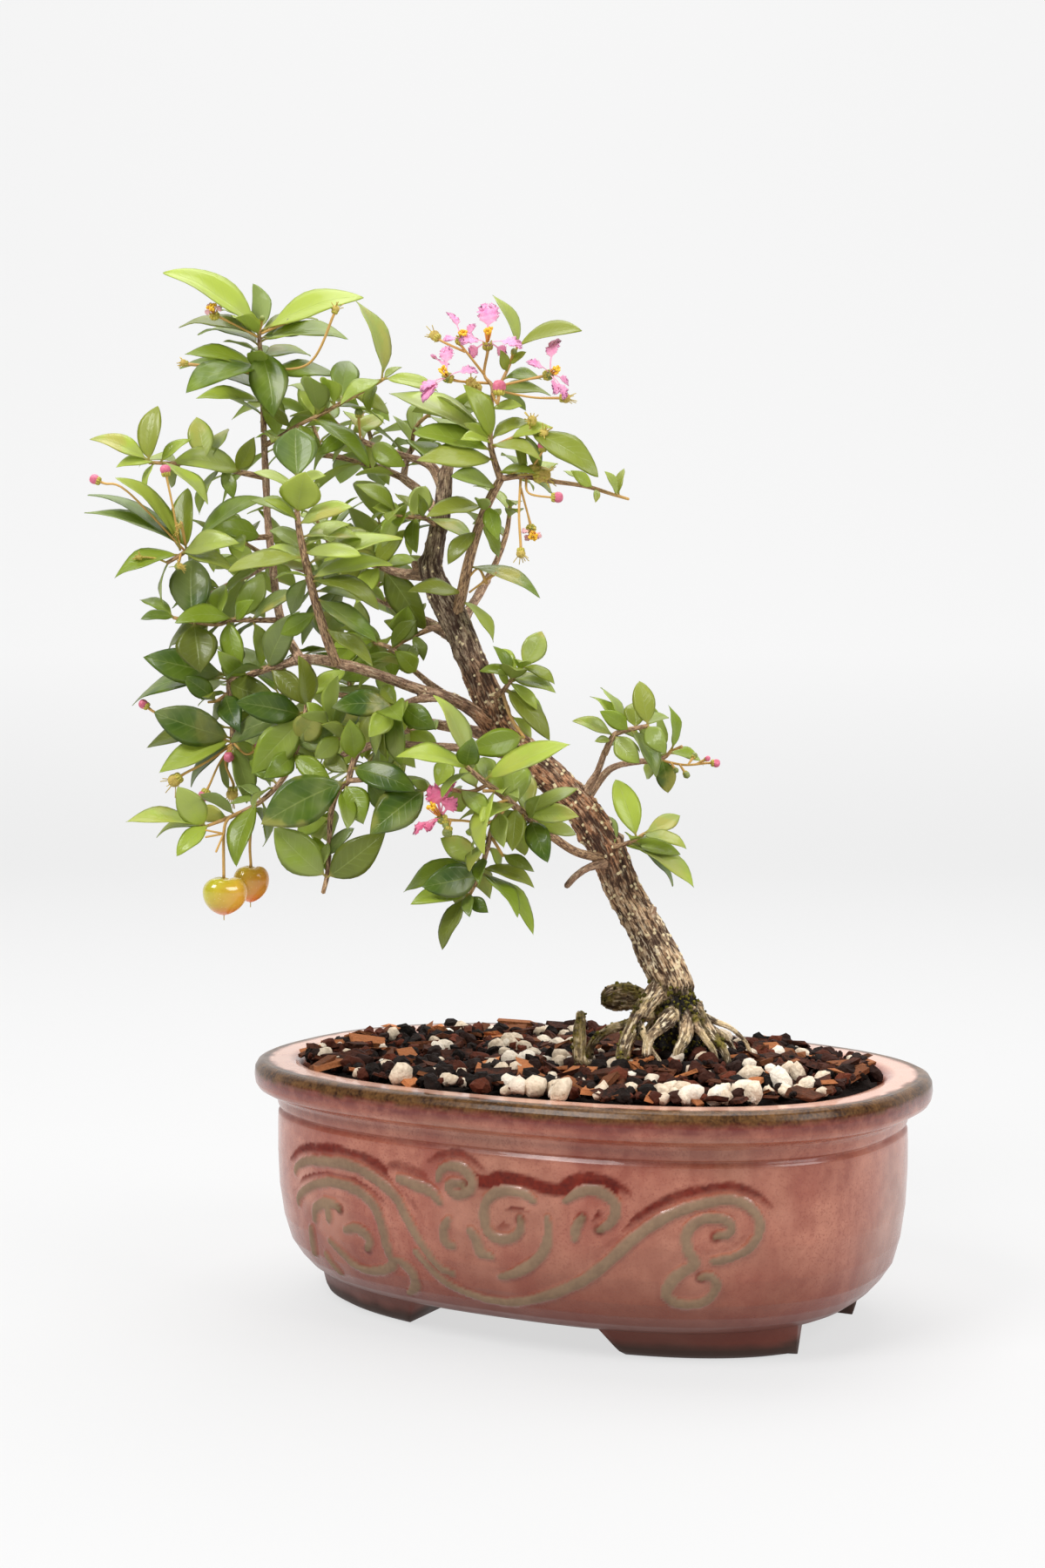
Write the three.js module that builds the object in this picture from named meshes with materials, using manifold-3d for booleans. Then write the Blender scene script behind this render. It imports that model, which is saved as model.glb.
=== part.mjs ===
// Barbados cherry bonsai: a small leaning tree (Malpighia) in a glazed oval pot.
// Units are millimetres, +Z is up. The pot's long side runs along X and its
// ornamented front faces -Y. The tree was read off one photograph: a place on it
// is written as the photograph's pixel and a depth, the distance in millimetres in
// front of (positive) or behind the upright plane through the foot of the trunk.
import * as THREE from 'three';
import { mergeVertices } from 'three/addons/utils/BufferGeometryUtils.js';
import Module from 'manifold-3d';

const wasm = await Module();
wasm.setup();
const { Manifold } = wasm;
const { Vector3 } = THREE;

// Driving dimensions of the pot
const POT = {
  sides: 32,
  roundness: 2.44,
  footInnerX: 34,
  footOuterX: 75,
  footInnerY: 22,
  drainRadius: 6,
  drainX: 38,
};
// Wall of the pot from the underside, over the rim and down to the inner floor:
// height, half length, half width
const POT_WALL = [
  [8, 80, 53.5], [11, 85, 58.5], [18, 90.5, 63.3], [34, 94, 66.5], [50, 94.3, 67],
  [59.5, 93.6, 66.4], [62.6, 101, 73], [69.6, 101, 73], [71, 99.4, 71.4],
  [71, 88.6, 60.6], [69.5, 87.4, 59.4], [40, 86, 58.4], [22, 82, 55], [14, 74, 48],
];
const FOOT_WALL = [[0, 80.5, 48], [1.4, 82, 49.6], [7, 84, 53], [10.5, 82, 55]];
const SOIL = { edgeHeight: 70, moundHeight: 5.4, moundWidth: 34, roughness: 1.5, chunks: 30 };

// Driving dimensions of the tree
const SEAT_GAP = 0.3;
const BLADE = {
  thickness: 0.72, girth: 0.44, arch: 0.13, clearance: 1.15,
  long: 19, rows: [0.3, 0.56, 0.82], shortRows: [0.38, 0.74],
};
const PETAL = { thickness: 0.6, girth: 0.52, arch: 0.1, rows: [0, 0.4, 0.68, 1], hubFrom: 0.3, hubTo: 1.3 };
const FRUIT_LOBE = 0.06;
const LEAF_TONES = [0x7d9c45, 0x5f8540, 0x93ac4e, 0x6a8f52];
const WIRE_GAP = 0.65;
const TRUNK_SIDES = 8;
const BARK_SIDES = 5;
const TWIG_SIDES = 4;

// The photograph: where its lens stood over the pot's frame and what it saw
const PHOTO = {
  distance: 654.23, yaw: 0.4557, height: 175.17, lookYaw: 0.4844, pitch: -0.0336,
  focal: 2553, centreX: 600, centreY: 900, pixelsPerMm: 3.9,
};
const TRUNK_FOOT = new Vector3(33, 0, 0);
const EYE = new Vector3(
  PHOTO.distance * Math.sin(PHOTO.yaw), -PHOTO.distance * Math.cos(PHOTO.yaw), PHOTO.height);
const LOOK = new Vector3(
  -Math.sin(PHOTO.lookYaw) * Math.cos(PHOTO.pitch), Math.cos(PHOTO.lookYaw) * Math.cos(PHOTO.pitch),
  Math.sin(PHOTO.pitch));
const RIGHT = new Vector3(Math.cos(PHOTO.lookYaw), Math.sin(PHOTO.lookYaw), 0);
const ABOVE = new Vector3().crossVectors(RIGHT, LOOK);
const TOWARDS = new Vector3(Math.sin(PHOTO.lookYaw), -Math.cos(PHOTO.lookYaw), 0);

// The place in millimetres of a photograph's pixel at a depth
function spot(px, py, depth) {
  const ray = LOOK.clone()
    .addScaledVector(RIGHT, (px - PHOTO.centreX) / PHOTO.focal)
    .addScaledVector(ABOVE, -(py - PHOTO.centreY) / PHOTO.focal);
  const reach = (TRUNK_FOOT.clone().sub(EYE).dot(TOWARDS) + depth) / ray.dot(TOWARDS);
  return EYE.clone().addScaledVector(ray, reach);
}

// The photograph's pixel of a place
function pixel(place) {
  const offset = place.clone().sub(EYE);
  const ahead = offset.dot(LOOK);
  return [
    PHOTO.centreX + PHOTO.focal * offset.dot(RIGHT) / ahead,
    PHOTO.centreY - PHOTO.focal * offset.dot(ABOVE) / ahead,
  ];
}

// A seeded stream of numbers from 0 to 1
function randomStream(seed) {
  let state = seed | 0;
  return () => {
    state = (state + 0x6d2b79f5) | 0;
    let mixed = Math.imul(state ^ (state >>> 15), 1 | state);
    mixed = (mixed + Math.imul(mixed ^ (mixed >>> 7), 61 | mixed)) ^ mixed;
    return ((mixed ^ (mixed >>> 14)) >>> 0) / 4294967296;
  };
}

// The woody parts. Each row is a place along the wood: pixel, pixel, depth, radius in millimetres
const TRUNK = [
  [779, 1236, 0, 6], [779, 1200, 0, 8.4], [778, 1168, 0, 7.8], [775, 1146, 0, 6.4], [771, 1127, 0, 5.8],
  [757, 1098, 0, 5.7], [741, 1066, 0, 5.3], [715, 1020, 0, 4.9], [696, 974, 0, 5], [667, 928, 0, 4.7],
  [645, 905, 1, 4.7], [616, 878, 1, 4.7], [575, 840, 2, 4.8], [565, 815, 2, 4.5], [553, 785, 2, 4.2],
  [540, 755, 2, 4], [530, 730, 1, 3.9], [518, 705, 0, 4.1], [505, 680, 0, 3.7], [495, 655, -1, 3.2],
  [498, 635, -2, 2.8], [503, 610, -3, 2.6], [508, 585, -4, 2.4], [510, 562, -5, 2.3], [512, 545, -5, 2],
  [515, 532, -5, 1.5],
];
const ROOTS = {
  frontLeft: [[760, 1130, 1, 3.2], [743, 1152, 6, 2.5], [728, 1178, 9, 2.2], [717, 1204, 11, 2.1],
    [712, 1234, 12, 1.6]],
  frontMiddle: [[779, 1158, 3, 2.4], [760, 1178, 10, 1.8], [746, 1192, 14, 1.5], [742, 1212, 16, 1.3]],
  frontRight: [[790, 1160, 3, 2.4], [788, 1188, 9, 1.8], [779, 1206, 12, 1.6], [777, 1222, 12, 1.3]],
  thinFork: [[734, 1172, 8, 1], [745, 1201, 13, 0.8], [757, 1218, 15, 0.7], [760, 1232, 15, 0.7]],
  mossyRight: [[798, 1158, 0, 2.3], [816, 1188, 4, 1.8], [831, 1205, 6, 1.4], [836, 1220, 6, 1.2]],
  thinRight: [[802, 1164, -2, 1.3], [822, 1173, -2, 0.9], [840, 1181, -2, 0.8], [856, 1196, -1, 0.7],
    [862, 1212, -1, 0.7]],
  mossyLeft: [[748, 1162, 4, 1.9], [721, 1176, 2, 1.5], [697, 1183, 1, 1.4], [681, 1197, 2, 1.3],
    [676, 1214, 2, 1.2]],
  uprightStub: [[776, 1226, 0, 2.4], [716, 1232, 4, 2], [670, 1222, 6, 1.9], [666, 1190, 6, 1.9],
    [667, 1163, 6, 1.4]],
  smallRight: [[796, 1170, 5, 1.4], [808, 1190, 8, 1], [819, 1206, 9, 0.9], [823, 1220, 9, 0.8]],
  knob: [[758, 1150, -4, 2.6], [738, 1148, -8, 3], [718, 1144, -10, 4.1], [702, 1146, -10, 3.7],
    [694, 1150, -10, 2]],
  backLeft: [[764, 1156, -5, 2.4], [748, 1180, -16, 1.8], [736, 1196, -25, 1.4], [731, 1210, -27, 1.2]],
  backMiddle: [[780, 1158, -6, 2.6], [784, 1178, -17, 1.9], [786, 1192, -27, 1.4],
    [786, 1206, -29, 1.2]],
  backRight: [[792, 1160, -4, 2.2], [814, 1180, -14, 1.7], [834, 1194, -22, 1.3],
    [842, 1208, -24, 1.1]],
};
const LIMBS = {
  lowLimb: [[566, 838, 3, 2.6], [545, 818, 8, 2], [520, 803, 13, 1.7], [480, 791, 19, 1.6],
    [450, 780, 23, 1.5],
    [420, 770, 25, 1.5], [395, 763, 26, 1.5], [372, 758, 24, 1.4], [347, 757, 17, 1.4],
    [318, 765, 9, 1.3]],
  leader: [[345, 757, 17, 1.4], [327, 725, 4, 1.3], [318, 690, -8, 1.3], [312, 640, -16, 1.2],
    [307, 590, -20, 1.1],
    [305, 545, -20, 1.1], [303, 500, -20, 1]],
  leftLimb: [[495, 660, -1, 1.9], [465, 659, -8, 1.5], [440, 652, -14, 1.2]],
  leftLimbStub: [[480, 658, -5, 1.1], [475, 646, -2, 0.9]],
  innerLimbHigh: [[524, 722, 1, 1.5], [505, 721, -6, 1.1], [490, 722, -10, 0.9]],
  innerLimbLow: [[514, 800, 14, 1.3], [500, 790, 8, 1.1], [487, 780, 3, 1]],
  crownLimb: [[508, 558, -5, 1.7], [497, 537, -7, 1.4], [480, 528, -9, 1.2], [460, 522, -11, 1.1],
    [440, 515, -13, 1]],
  backLimbHigh: [[506, 600, -4, 1.8], [488, 570, -20, 1.5], [462, 548, -34, 1.3]],
  backLimbMiddle: [[535, 742, 1, 2], [505, 722, -20, 1.7], [460, 700, -36, 1.4]],
  backLimbLow: [[585, 850, 0, 2.2], [545, 840, -18, 1.8], [495, 830, -34, 1.5]],
  backLimbRight: [[526, 722, 0, 1.7], [545, 690, -16, 1.4], [560, 665, -28, 1.2]],
  innerFork: [[512, 800, 14, 1.3], [480, 803, 21, 1.1], [462, 809, 24, 1]],
  fruitLimb: [[352, 757, 18, 1.2], [356, 782, 15, 1]],
  lowerLimb: [[604, 872, 4, 1.6], [560, 862, 14, 1.3], [520, 858, 20, 1.2], [485, 856, 23, 1.1],
    [438, 853, 25, 1.1],
    [412, 861, 26, 1.1]],
  lowerStub: [[414, 859, 26, 1.1], [392, 867, 25, 0.9]],
  prongHigh: [[664, 924, 0, 1.7], [676, 903, 2, 1.2], [686, 886, 3, 1.1], [695, 862, 5, 1]],
  prongLow: [[668, 926, -1, 1.6], [684, 902, -5, 1.2], [697, 886, -7, 1.2], [712, 878, -8, 1],
    [738, 874, -10, 0.9]],
  bareStub: [[696, 990, 3, 1.5], [676, 996, 9, 1.1], [662, 1005, 12, 1.1], [650, 1018, 14, 1]],
  nub: [[745, 1060, 3, 1.4], [752, 1041, 3, 0.7]],
};

// Leafy shoots. stems are wood as above. A leaf row is the pixel of its foot, the pixel
// of its tip, the width seen in pixels (negative where its underside shows) and how far
// the tip stands in front of the foot in millimetres. fill is pairs of leaves set along the
// first stem by rule: how many pairs, their length and the seed of their draw.
const SHOOTS = {
  apex_shoot: {
    stems: [[[303, 496, -20, 1], [302, 455, -18, 0.9], [300, 418, -16, 0.8], [298, 392, -15, 0.7],
      [297, 376, -14, 0.5]],
      [[298, 388, -15, 0.35], [272, 374, -10, 0.3], [246, 361, -8, 0.45]],
      [[301, 430, -16, 0.4], [250, 422, -8, 0.35], [216, 418, -4, 1.3], [212, 417, -4, 0.8]],
      [[300, 425, -16, 0.4], [355, 417, -9, 0.35], [383, 362, -6, 0.4], [385, 356, -6, 1.4]],
      [[298, 382, -15, 0.35], [301, 366, -12, 0.8]], [[298, 384, -15, 0.35], [331, 369, -10, 0.8]]],
    leaves: [[297, 380, 190, 309, 30, 4], [303, 385, 415, 337, 28, 3], [300, 378, 292, 327, -24, -9],
      [296, 388, 205, 373, 16, -8], [298, 398, 227, 381, 14, -14], [299, 430, 213, 405, 18, 5],
      [299, 436, 207, 418, 14, 0], [300, 450, 223, 432, 16, -9], [300, 424, 214, 447, 12, 12],
      [301, 464, 226, 454, 15, 6], [297, 380, 255, 355, 13, -8], [299, 400, 314, 479, 46, 9],
      [301, 438, 321, 500, 26, -10], [299, 390, 358, 381, 15, -7], [299, 393, 399, 386, 18, 7],
      [298, 382, 365, 365, 12, -10], [300, 412, 357, 406, 14, -12], [300, 432, 385, 430, 20, -3]],
    fill: [1, 22, 11],
  },
  apex_right_twig: {
    stems: [[[303, 512, -20, 0.9], [324, 500, -17, 0.7], [343, 488, -13, 0.6], [370, 475, -10, 0.6],
      [391, 463, -7, 0.6],
      [428, 443, -3, 0.5], [441, 435, 0, 0.4]]],
    leaves: [[436, 433, 411, 343, 22, -4], [391, 461, 401, 412, 34, -9], [438, 436, 391, 459, 16, 9],
      [441, 436, 503, 447, 16, 0], [358, 483, 425, 533, 18, 7], [384, 466, 351, 441, 16, -12],
      [405, 455, 447, 474, 18, -9]],
    fill: [1, 19, 12],
  },
  crown_left_shoot: {
    stems: [[[436, 514, -13, 0.9], [418, 507, -15, 0.8], [400, 497, -17, 0.7], [385, 485, -19, 0.6],
      [372, 468, -22, 0.5]],
      [[414, 506, -15, 0.35], [412, 482, -10, 0.4], [412, 475, -10, 1.2]]],
    leaves: [[426, 510, 463, 534, 26, 3], [400, 497, 366, 520, 20, 6], [385, 485, 350, 462, 16, -10],
      [403, 498, 440, 478, 20, -8], [418, 507, 395, 470, 18, -10], [372, 468, 330, 440, 16, -9]],
    fill: [1, 21, 13],
  },
  right_branch_shoot: {
    stems: [[[520, 712, 1, 2], [527, 695, 3, 1.7], [531, 678, 5, 1.6], [537, 650, 8, 1.5],
      [545, 620, 10, 1.4],
      [555, 590, 12, 1.3], [565, 568, 12, 1.3], [575, 550, 12, 1.1]],
      [[575, 550, 12, 1.1], [568, 530, 12, 0.9], [563, 508, 12, 0.8], [564, 486, 12, 0.6]],
      [[564, 514, 12, 0.5], [590, 502, 14, 0.5], [608, 497, 15, 0.4]],
      [[539, 680, 5, 0.3], [555, 668, 8, 0.3], [570, 658, 9, 0.7]], [[534, 668, 6, 0.4],
      [549, 653, 9, 0.3], [559, 670, 9, 0.6]]],
    leaves: [[562, 510, 447, 452, 26, -11], [560, 506, 476, 470, -18, -17], [563, 520, 475, 496, 24, 3],
      [565, 530, 479, 528, 27, 10], [563, 505, 535, 441, 24, 6], [563, 512, 621, 525, 15, 10],
      [606, 497, 687, 546, 30, 4], [560, 580, 572, 620, 20, 4], [539, 652, 621, 684, 15, 3],
      [558, 584, 489, 594, 20, 8], [548, 610, 514, 646, 20, 5], [531, 681, 470, 676, 18, 10],
      [531, 690, 569, 734, 13, 2], [567, 560, 520, 545, 18, 12], [567, 545, 616, 560, 14, -10]],
    fill: [1, 20, 14],
  },
  right_long_twig: {
    stems: [[[577, 549, 13, 0.9], [600, 547, 12, 0.7], [630, 552, 11, 0.7], [660, 556, 10, 0.6],
      [680, 560, 9, 0.6],
      [702, 567, 8, 0.5], [722, 573, 7, 0.4]],
      [[600, 547, 12, 0.4], [612, 535, 14, 0.3], [623, 518, 15, 0.3], [623, 513, 15, 1.4]],
      [[604, 548, 12, 0.4], [607, 566, 15, 0.3], [633, 571, 17, 0.3], [639, 571, 17, 1.5]],
      [[598, 547, 12, 0.4], [596, 590, 15, 0.35], [598, 626, 16, 0.4], [598, 634, 16, 1.6]],
      [[598, 560, 13, 0.35], [606, 590, 12, 0.3], [610, 606, 12, 0.9]]],
    leaves: [[600, 547, 577, 520, 14, -12]],
    fill: [0, 18, 15],
  },
  blossom_spray: {
    stems: [[[564, 487, 12, 0.6], [565, 462, 11, 0.6], [565, 443, 10, 0.6], [556, 430, 9, 0.4],
      [560, 404, 9, 0.45], [560, 397, 9, 1.5]],
      [[556, 430, 9, 0.4], [534, 402, 12, 0.35], [529, 396, 12, 0.45], [529, 391, 12, 1.2]],
      [[562, 440, 9, 0.4], [530, 438, 14, 0.35], [520, 436, 15, 0.45], [515, 434, 15, 1.4]],
      [[565, 445, 10, 0.4], [604, 436, 13, 0.35], [623, 432, 14, 0.45], [629, 431, 14, 1.4]],
      [[534, 404, 12, 0.35], [508, 392, 10, 0.35], [500, 386, 9, 1.8]],
      [[565, 447, 10, 0.35], [610, 456, 12, 0.3], [640, 457, 13, 0.4], [648, 457, 13, 1.7]],
      [[565, 452, 11, 0.3], [571, 464, 14, 0.4], [572, 460, 14, 1.7], [573, 451, 14, 1.9],
      [573, 446, 14, 0.8]],
      [[565, 458, 11, 0.5], [580, 430, 7, 0.5], [594, 398, 5, 0.4]], [[585, 418, 6, 0.3],
      [590, 404, 9, 0.9]]],
    leaves: [[593, 398, 566, 339, 20, -3], [594, 400, 668, 380, 18, 5], [570, 450, 633, 452, 14, -6]],
    fill: [0, 18, 16],
  },
  left_high_shoot: {
    stems: [[[305, 548, -20, 1], [270, 541, -16, 0.8], [235, 532, -10, 0.7], [200, 532, -6, 0.6],
      [171, 531, -2, 0.5]]],
    leaves: [[170, 530, 181, 466, 26, -3], [170, 531, 105, 501, 20, 4], [235, 531, 225, 478, 30, -4],
      [278, 541, 202, 527, 28, 9], [186, 532, 239, 578, 15, 11], [240, 533, 262, 492, 18, -10],
      [272, 541, 292, 502, 22, 7]],
    fill: [1, 20, 17],
  },
  left_mid_shoot: {
    stems: [[[310, 616, -18, 0.9], [262, 620, -8, 0.7], [228, 624, 0, 0.7], [206, 638, 5, 0.6],
      [192, 646, 6, 0.6]],
      [[207, 632, 4, 0.35], [200, 590, 6, 0.3], [192, 551, 7, 0.35], [190, 541, 7, 1.5]],
      [[212, 632, 3, 0.35], [146, 564, 12, 0.3], [120, 555, 13, 0.35], [110, 551, 13, 1.4]],
      [[208, 636, 5, 0.3], [204, 650, 9, 0.9]], [[214, 630, 2, 0.3], [208, 600, 9, 0.7]]],
    leaves: [[206, 630, 102, 566, 15, -5], [208, 628, 97, 589, 12, 3], [204, 634, 136, 546, 26, 8],
      [206, 636, 131, 661, 20, 4], [209, 636, 272, 621, 25, 9], [214, 632, 216, 561, 28, -6],
      [226, 625, 301, 569, 20, 5], [300, 617, 243, 606, 26, 8], [210, 637, 268, 653, 16, 6],
      [262, 620, 290, 652, 20, 7], [278, 618, 252, 586, 20, -9]],
    fill: [1, 20, 18],
  },
  front_shoot: {
    stems: [[[386, 762, 27, 1.4], [376, 735, 31, 1.4], [368, 710, 33, 1.3], [358, 675, 36, 1.2],
      [350, 640, 38, 1.1],
      [343, 605, 40, 0.9], [341, 580, 40, 0.7], [342, 552, 39, 0.5]]],
    leaves: [[341, 588, 350, 544, 45, 7], [342, 550, 340, 491, 48, -5], [342, 598, 288, 572, 16, -6],
      [343, 603, 404, 581, 18, 2], [346, 630, 400, 597, 18, -7], [348, 636, 414, 638, 17, 6],
      [349, 642, 262, 655, 19, 6], [346, 618, 420, 616, 16, -10], [352, 650, 462, 617, 20, -9],
      [356, 666, 450, 645, 20, -3], [357, 668, 435, 694, 18, 8], [359, 680, 437, 693, 16, -8],
      [361, 688, 433, 739, 22, 6], [374, 722, 428, 765, 18, 8], [355, 662, 334, 706, 20, -6],
      [352, 650, 300, 630, 18, -9], [366, 702, 322, 728, 22, -5]],
    fill: [1, 21, 19],
  },
  crown_inner_shoot: {
    stems: [[[504, 606, -3, 0.9], [487, 594, 3, 0.7], [470, 594, 6, 0.6], [452, 590, 7, 0.5]]],
    leaves: [[455, 591, 408, 554, 19, -3], [472, 594, 488, 558, 28, -6], [490, 596, 543, 623, 15, 9],
      [455, 591, 440, 626, 20, 5]],
    fill: [1, 19, 20],
  },
  left_limb_shoot: {
    stems: [[[444, 653, -13, 1], [426, 648, -15, 0.8], [410, 640, -17, 0.6], [398, 625, -20, 0.5]]],
    leaves: [[440, 652, 487, 723, 38, 10], [430, 649, 465, 608, 22, 6], [426, 648, 402, 600, 22, -6],
      [418, 645, 440, 612, 20, -9], [414, 643, 386, 672, 22, 5], [436, 651, 410, 690, 24, 8]],
    fill: [1, 20, 21],
  },
  inner_shoot_high: {
    stems: [[[494, 722, -9, 0.9], [478, 729, -13, 0.7], [462, 737, -17, 0.6], [445, 750, -21, 0.6],
      [430, 762, -25, 0.5]]],
    leaves: [[464, 736, 467, 698, 34, 8], [446, 749, 408, 730, 20, 8], [432, 760, 392, 780, 24, 6],
      [432, 760, 418, 716, 24, -6]],
    fill: [1, 20, 22],
  },
  inner_shoot_low: {
    stems: [[[490, 782, 4, 0.9], [470, 765, -1, 0.8], [450, 745, -5, 0.7], [430, 737, -8, 0.6],
      [410, 725, -12, 0.5]]],
    leaves: [[478, 772, 455, 748, 24, 7], [430, 737, 382, 742, 22, 8], [430, 737, 432, 770, 20, -7],
      [412, 726, 380, 700, 20, -6], [414, 727, 384, 762, 24, 4]],
    fill: [1, 19, 23],
  },
  left_twig_shoot: {
    stems: [[[322, 712, -2, 0.9], [290, 712, 0, 0.7], [265, 712, 2, 0.7], [250, 717, 3, 0.6],
      [222, 714, 5, 0.6], [199, 709, 6, 0.5]]],
    leaves: [[222, 713, 221, 640, 48, -6], [268, 711, 203, 711, 22, 9], [223, 715, 230, 771, 48, 5],
      [268, 711, 302, 659, 30, -5], [290, 712, 342, 678, 16, 6], [262, 713, 276, 766, 26, 4],
      [290, 712, 299, 764, 20, -6], [246, 717, 190, 742, 18, -10], [250, 716, 254, 668, 22, -8]],
    fill: [1, 20, 24],
  },
  left_low_shoot: {
    stems: [[[322, 763, 10, 1.2], [300, 770, 6, 1.1], [280, 778, 3, 1], [264, 784, 1, 1],
      [267, 815, 3, 0.9], [267, 840, 4, 0.8],
      [266, 858, 6, 0.6]],
      [[264, 786, 1, 0.8], [259, 768, -1, 0.6]], [[265, 794, 1, 0.7], [250, 804, 4, 0.5],
      [239, 806, 5, 0.4]],
      [[266, 852, 6, 0.4], [215, 834, -3, 0.3], [180, 819, -4, 0.35], [166, 809, -4, 1.4]],
      [[266, 858, 6, 0.4], [263, 868, 9, 1.5]], [[267, 852, 5, 0.4], [283, 866, 9, 0.3],
      [297, 858, 10, 1.6]],
      [[266, 856, 6, 0.4], [252, 876, 10, 0.3], [241, 900, 12, 0.35], [235, 912, 12, 1.6]],
      [[266, 855, 6, 0.4], [240, 873, 10, 0.35], [212, 888, 13, 0.4], [202, 895, 13, 2.3]],
      [[266, 857, 6, 0.4], [259, 876, 5, 0.35], [268, 900, 4, 0.4], [267, 910, 4, 2.1]]],
    leaves: [[308, 767, 341, 703, 33, 5], [314, 765, 353, 711, 26, -6], [310, 767, 349, 807, 26, 5],
      [262, 776, 165, 754, 40, 6], [262, 780, 150, 806, 22, -8], [248, 804, 211, 777, 24, 3],
      [263, 783, 314, 799, 34, 9], [267, 848, 178, 818, 44, 7], [267, 836, 169, 859, 24, -6],
      [267, 851, 183, 887, 26, 8], [266, 856, 284, 922, 26, 3], [267, 848, 315, 900, 20, 8],
      [266, 854, 217, 902, 15, -7], [268, 820, 305, 836, 26, -6], [259, 770, 276, 742, 20, -9],
      [284, 776, 250, 748, 22, 7]],
    fill: [1, 21, 25],
  },
  fruit_shoot: {
    stems: [[[355, 778, 15, 1], [355, 800, 15, 0.9], [346, 838, 17, 0.9], [330, 886, 20, 0.8],
      [302, 918, 22, 0.7], [269, 936, 24, 0.6],
      [233, 950, 24, 0.4]],
      [[277, 932, 24, 0.5], [262, 940, 25, 0.45], [257, 957, 26, 0.45], [257, 1003, 26, 0.45],
      [257, 1008, 26, 0.7]],
      [[290, 924, 23, 0.5], [287, 968, 17, 0.4], [288, 991, 17, 0.4], [288, 995, 17, 0.6]],
      [[257, 957, 26, 0.3], [236, 961, 29, 0.3]], [[257, 957, 26, 0.3], [236, 953, 28, 0.25]],
      [[257, 957, 26, 0.3], [248, 978, 30, 0.3]]],
    leaves: [[353, 812, 345, 754, 17, 5], [350, 822, 271, 806, 35, 7], [349, 824, 289, 888, 42, 3],
      [350, 818, 262, 850, 28, -6], [343, 850, 366, 816, 34, 7], [341, 856, 385, 838, 30, 3],
      [338, 864, 304, 892, 27, 8], [338, 866, 379, 894, 24, 6], [236, 949, 204, 904, 32, 4],
      [234, 950, 139, 941, 18, 6], [236, 949, 178, 956, 11, -5], [240, 948, 203, 980, 20, 7],
      [262, 939, 230, 932, 20, -7], [296, 921, 270, 993, 26, 7], [318, 900, 286, 872, 22, -7],
      [352, 800, 396, 770, 20, -5], [344, 845, 318, 812, 24, -9]],
    fill: [1, 20, 26],
  },
  lower_limb_shoot: {
    stems: [[[410, 864, 26, 1], [404, 880, 27, 0.9], [399, 898, 28, 0.8], [388, 908, 28, 0.8],
      [380, 935, 27, 0.8], [378, 970, 27, 0.7],
      [376, 1003, 27, 0.7], [371, 1025, 27, 0.6]],
      [[407, 868, 26, 0.7], [392, 847, 25, 0.6], [374, 830, 24, 0.5]], [[401, 896, 28, 0.8],
      [418, 895, 29, 0.7], [432, 893, 29, 0.5]]],
    leaves: [[400, 896, 300, 946, 54, 8], [404, 882, 476, 906, 32, 8], [396, 901, 417, 945, 34, 5],
      [390, 906, 399, 952, 20, 8], [380, 938, 340, 955, 22, -6], [375, 1007, 315, 950, 44, 5],
      [375, 1008, 442, 956, 40, 6], [406, 872, 401, 826, 28, 8], [408, 868, 463, 818, 34, -6],
      [390, 846, 362, 870, 24, -7], [378, 834, 412, 812, 24, -9], [420, 895, 448, 928, 26, -8],
      [402, 888, 372, 866, 22, -9]],
    fill: [1, 20, 27],
  },
  inner_fork_shoot: {
    stems: [[[466, 808, 24, 0.9], [452, 812, 26, 0.8], [440, 818, 28, 0.5]]],
    leaves: [[453, 811, 381, 812, 30, 6], [446, 815, 424, 846, 26, 8], [462, 809, 498, 835, 28, 7]],
    fill: [1, 19, 28],
  },
  lower_back_shoot: {
    stems: [[[498, 832, -34, 1.2], [470, 838, -26, 1], [440, 846, -18, 0.9], [405, 850, -12, 0.8],
      [365, 852, -8, 0.6]]],
    leaves: [[470, 838, 505, 872, 30, 8], [440, 846, 476, 880, 28, 8], [440, 846, 425, 812, 26, 6],
      [405, 850, 372, 880, 30, 6], [405, 850, 385, 815, 28, 6], [452, 843, 430, 886, 26, -6],
      [368, 852, 330, 836, 22, 4], [368, 852, 340, 882, 26, -4]],
    fill: [1, 21, 29],
  },
  front_low_shoot: {
    stems: [[[690, 985, 4, 1.4], [662, 978, 12, 1.2], [638, 963, 20, 1.2], [607, 939, 28, 1.1],
      [579, 915, 33, 1], [552, 894, 36, 0.8],
      [533, 878, 38, 0.6]],
      [[560, 901, 35, 0.6], [540, 909, 34, 0.6], [515, 906, 32, 0.6], [489, 906, 30, 0.5]],
      [[585, 919, 32, 0.5], [566, 943, 34, 0.4], [530, 942, 36, 0.35], [514, 941, 37, 0.5],
      [508, 940, 37, 1.3]],
      [[512, 941, 37, 0.3], [512, 946, 37, 1]], [[518, 941, 37, 0.3], [514, 954, 37, 1.4]],
      [[600, 934, 30, 0.4], [600, 946, 32, 0.35], [591, 958, 33, 0.6]], [[572, 908, 34, 0.4],
      [555, 908, 37, 0.6]],
      [[583, 918, 33, 0.4], [553, 928, 38, 0.6]]],
    leaves: [[536, 880, 502, 796, 22, -3], [535, 879, 542, 851, 26, 8], [540, 884, 457, 865, 20, 8],
      [556, 897, 655, 855, 26, 6], [560, 900, 555, 868, 24, -8], [592, 926, 583, 868, 40, -3],
      [602, 934, 601, 880, 26, -9], [604, 936, 663, 905, 17, -4], [606, 938, 665, 938, 22, 7],
      [610, 941, 628, 988, 28, 8], [592, 927, 588, 977, 24, 3], [604, 937, 600, 984, 20, -5],
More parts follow.
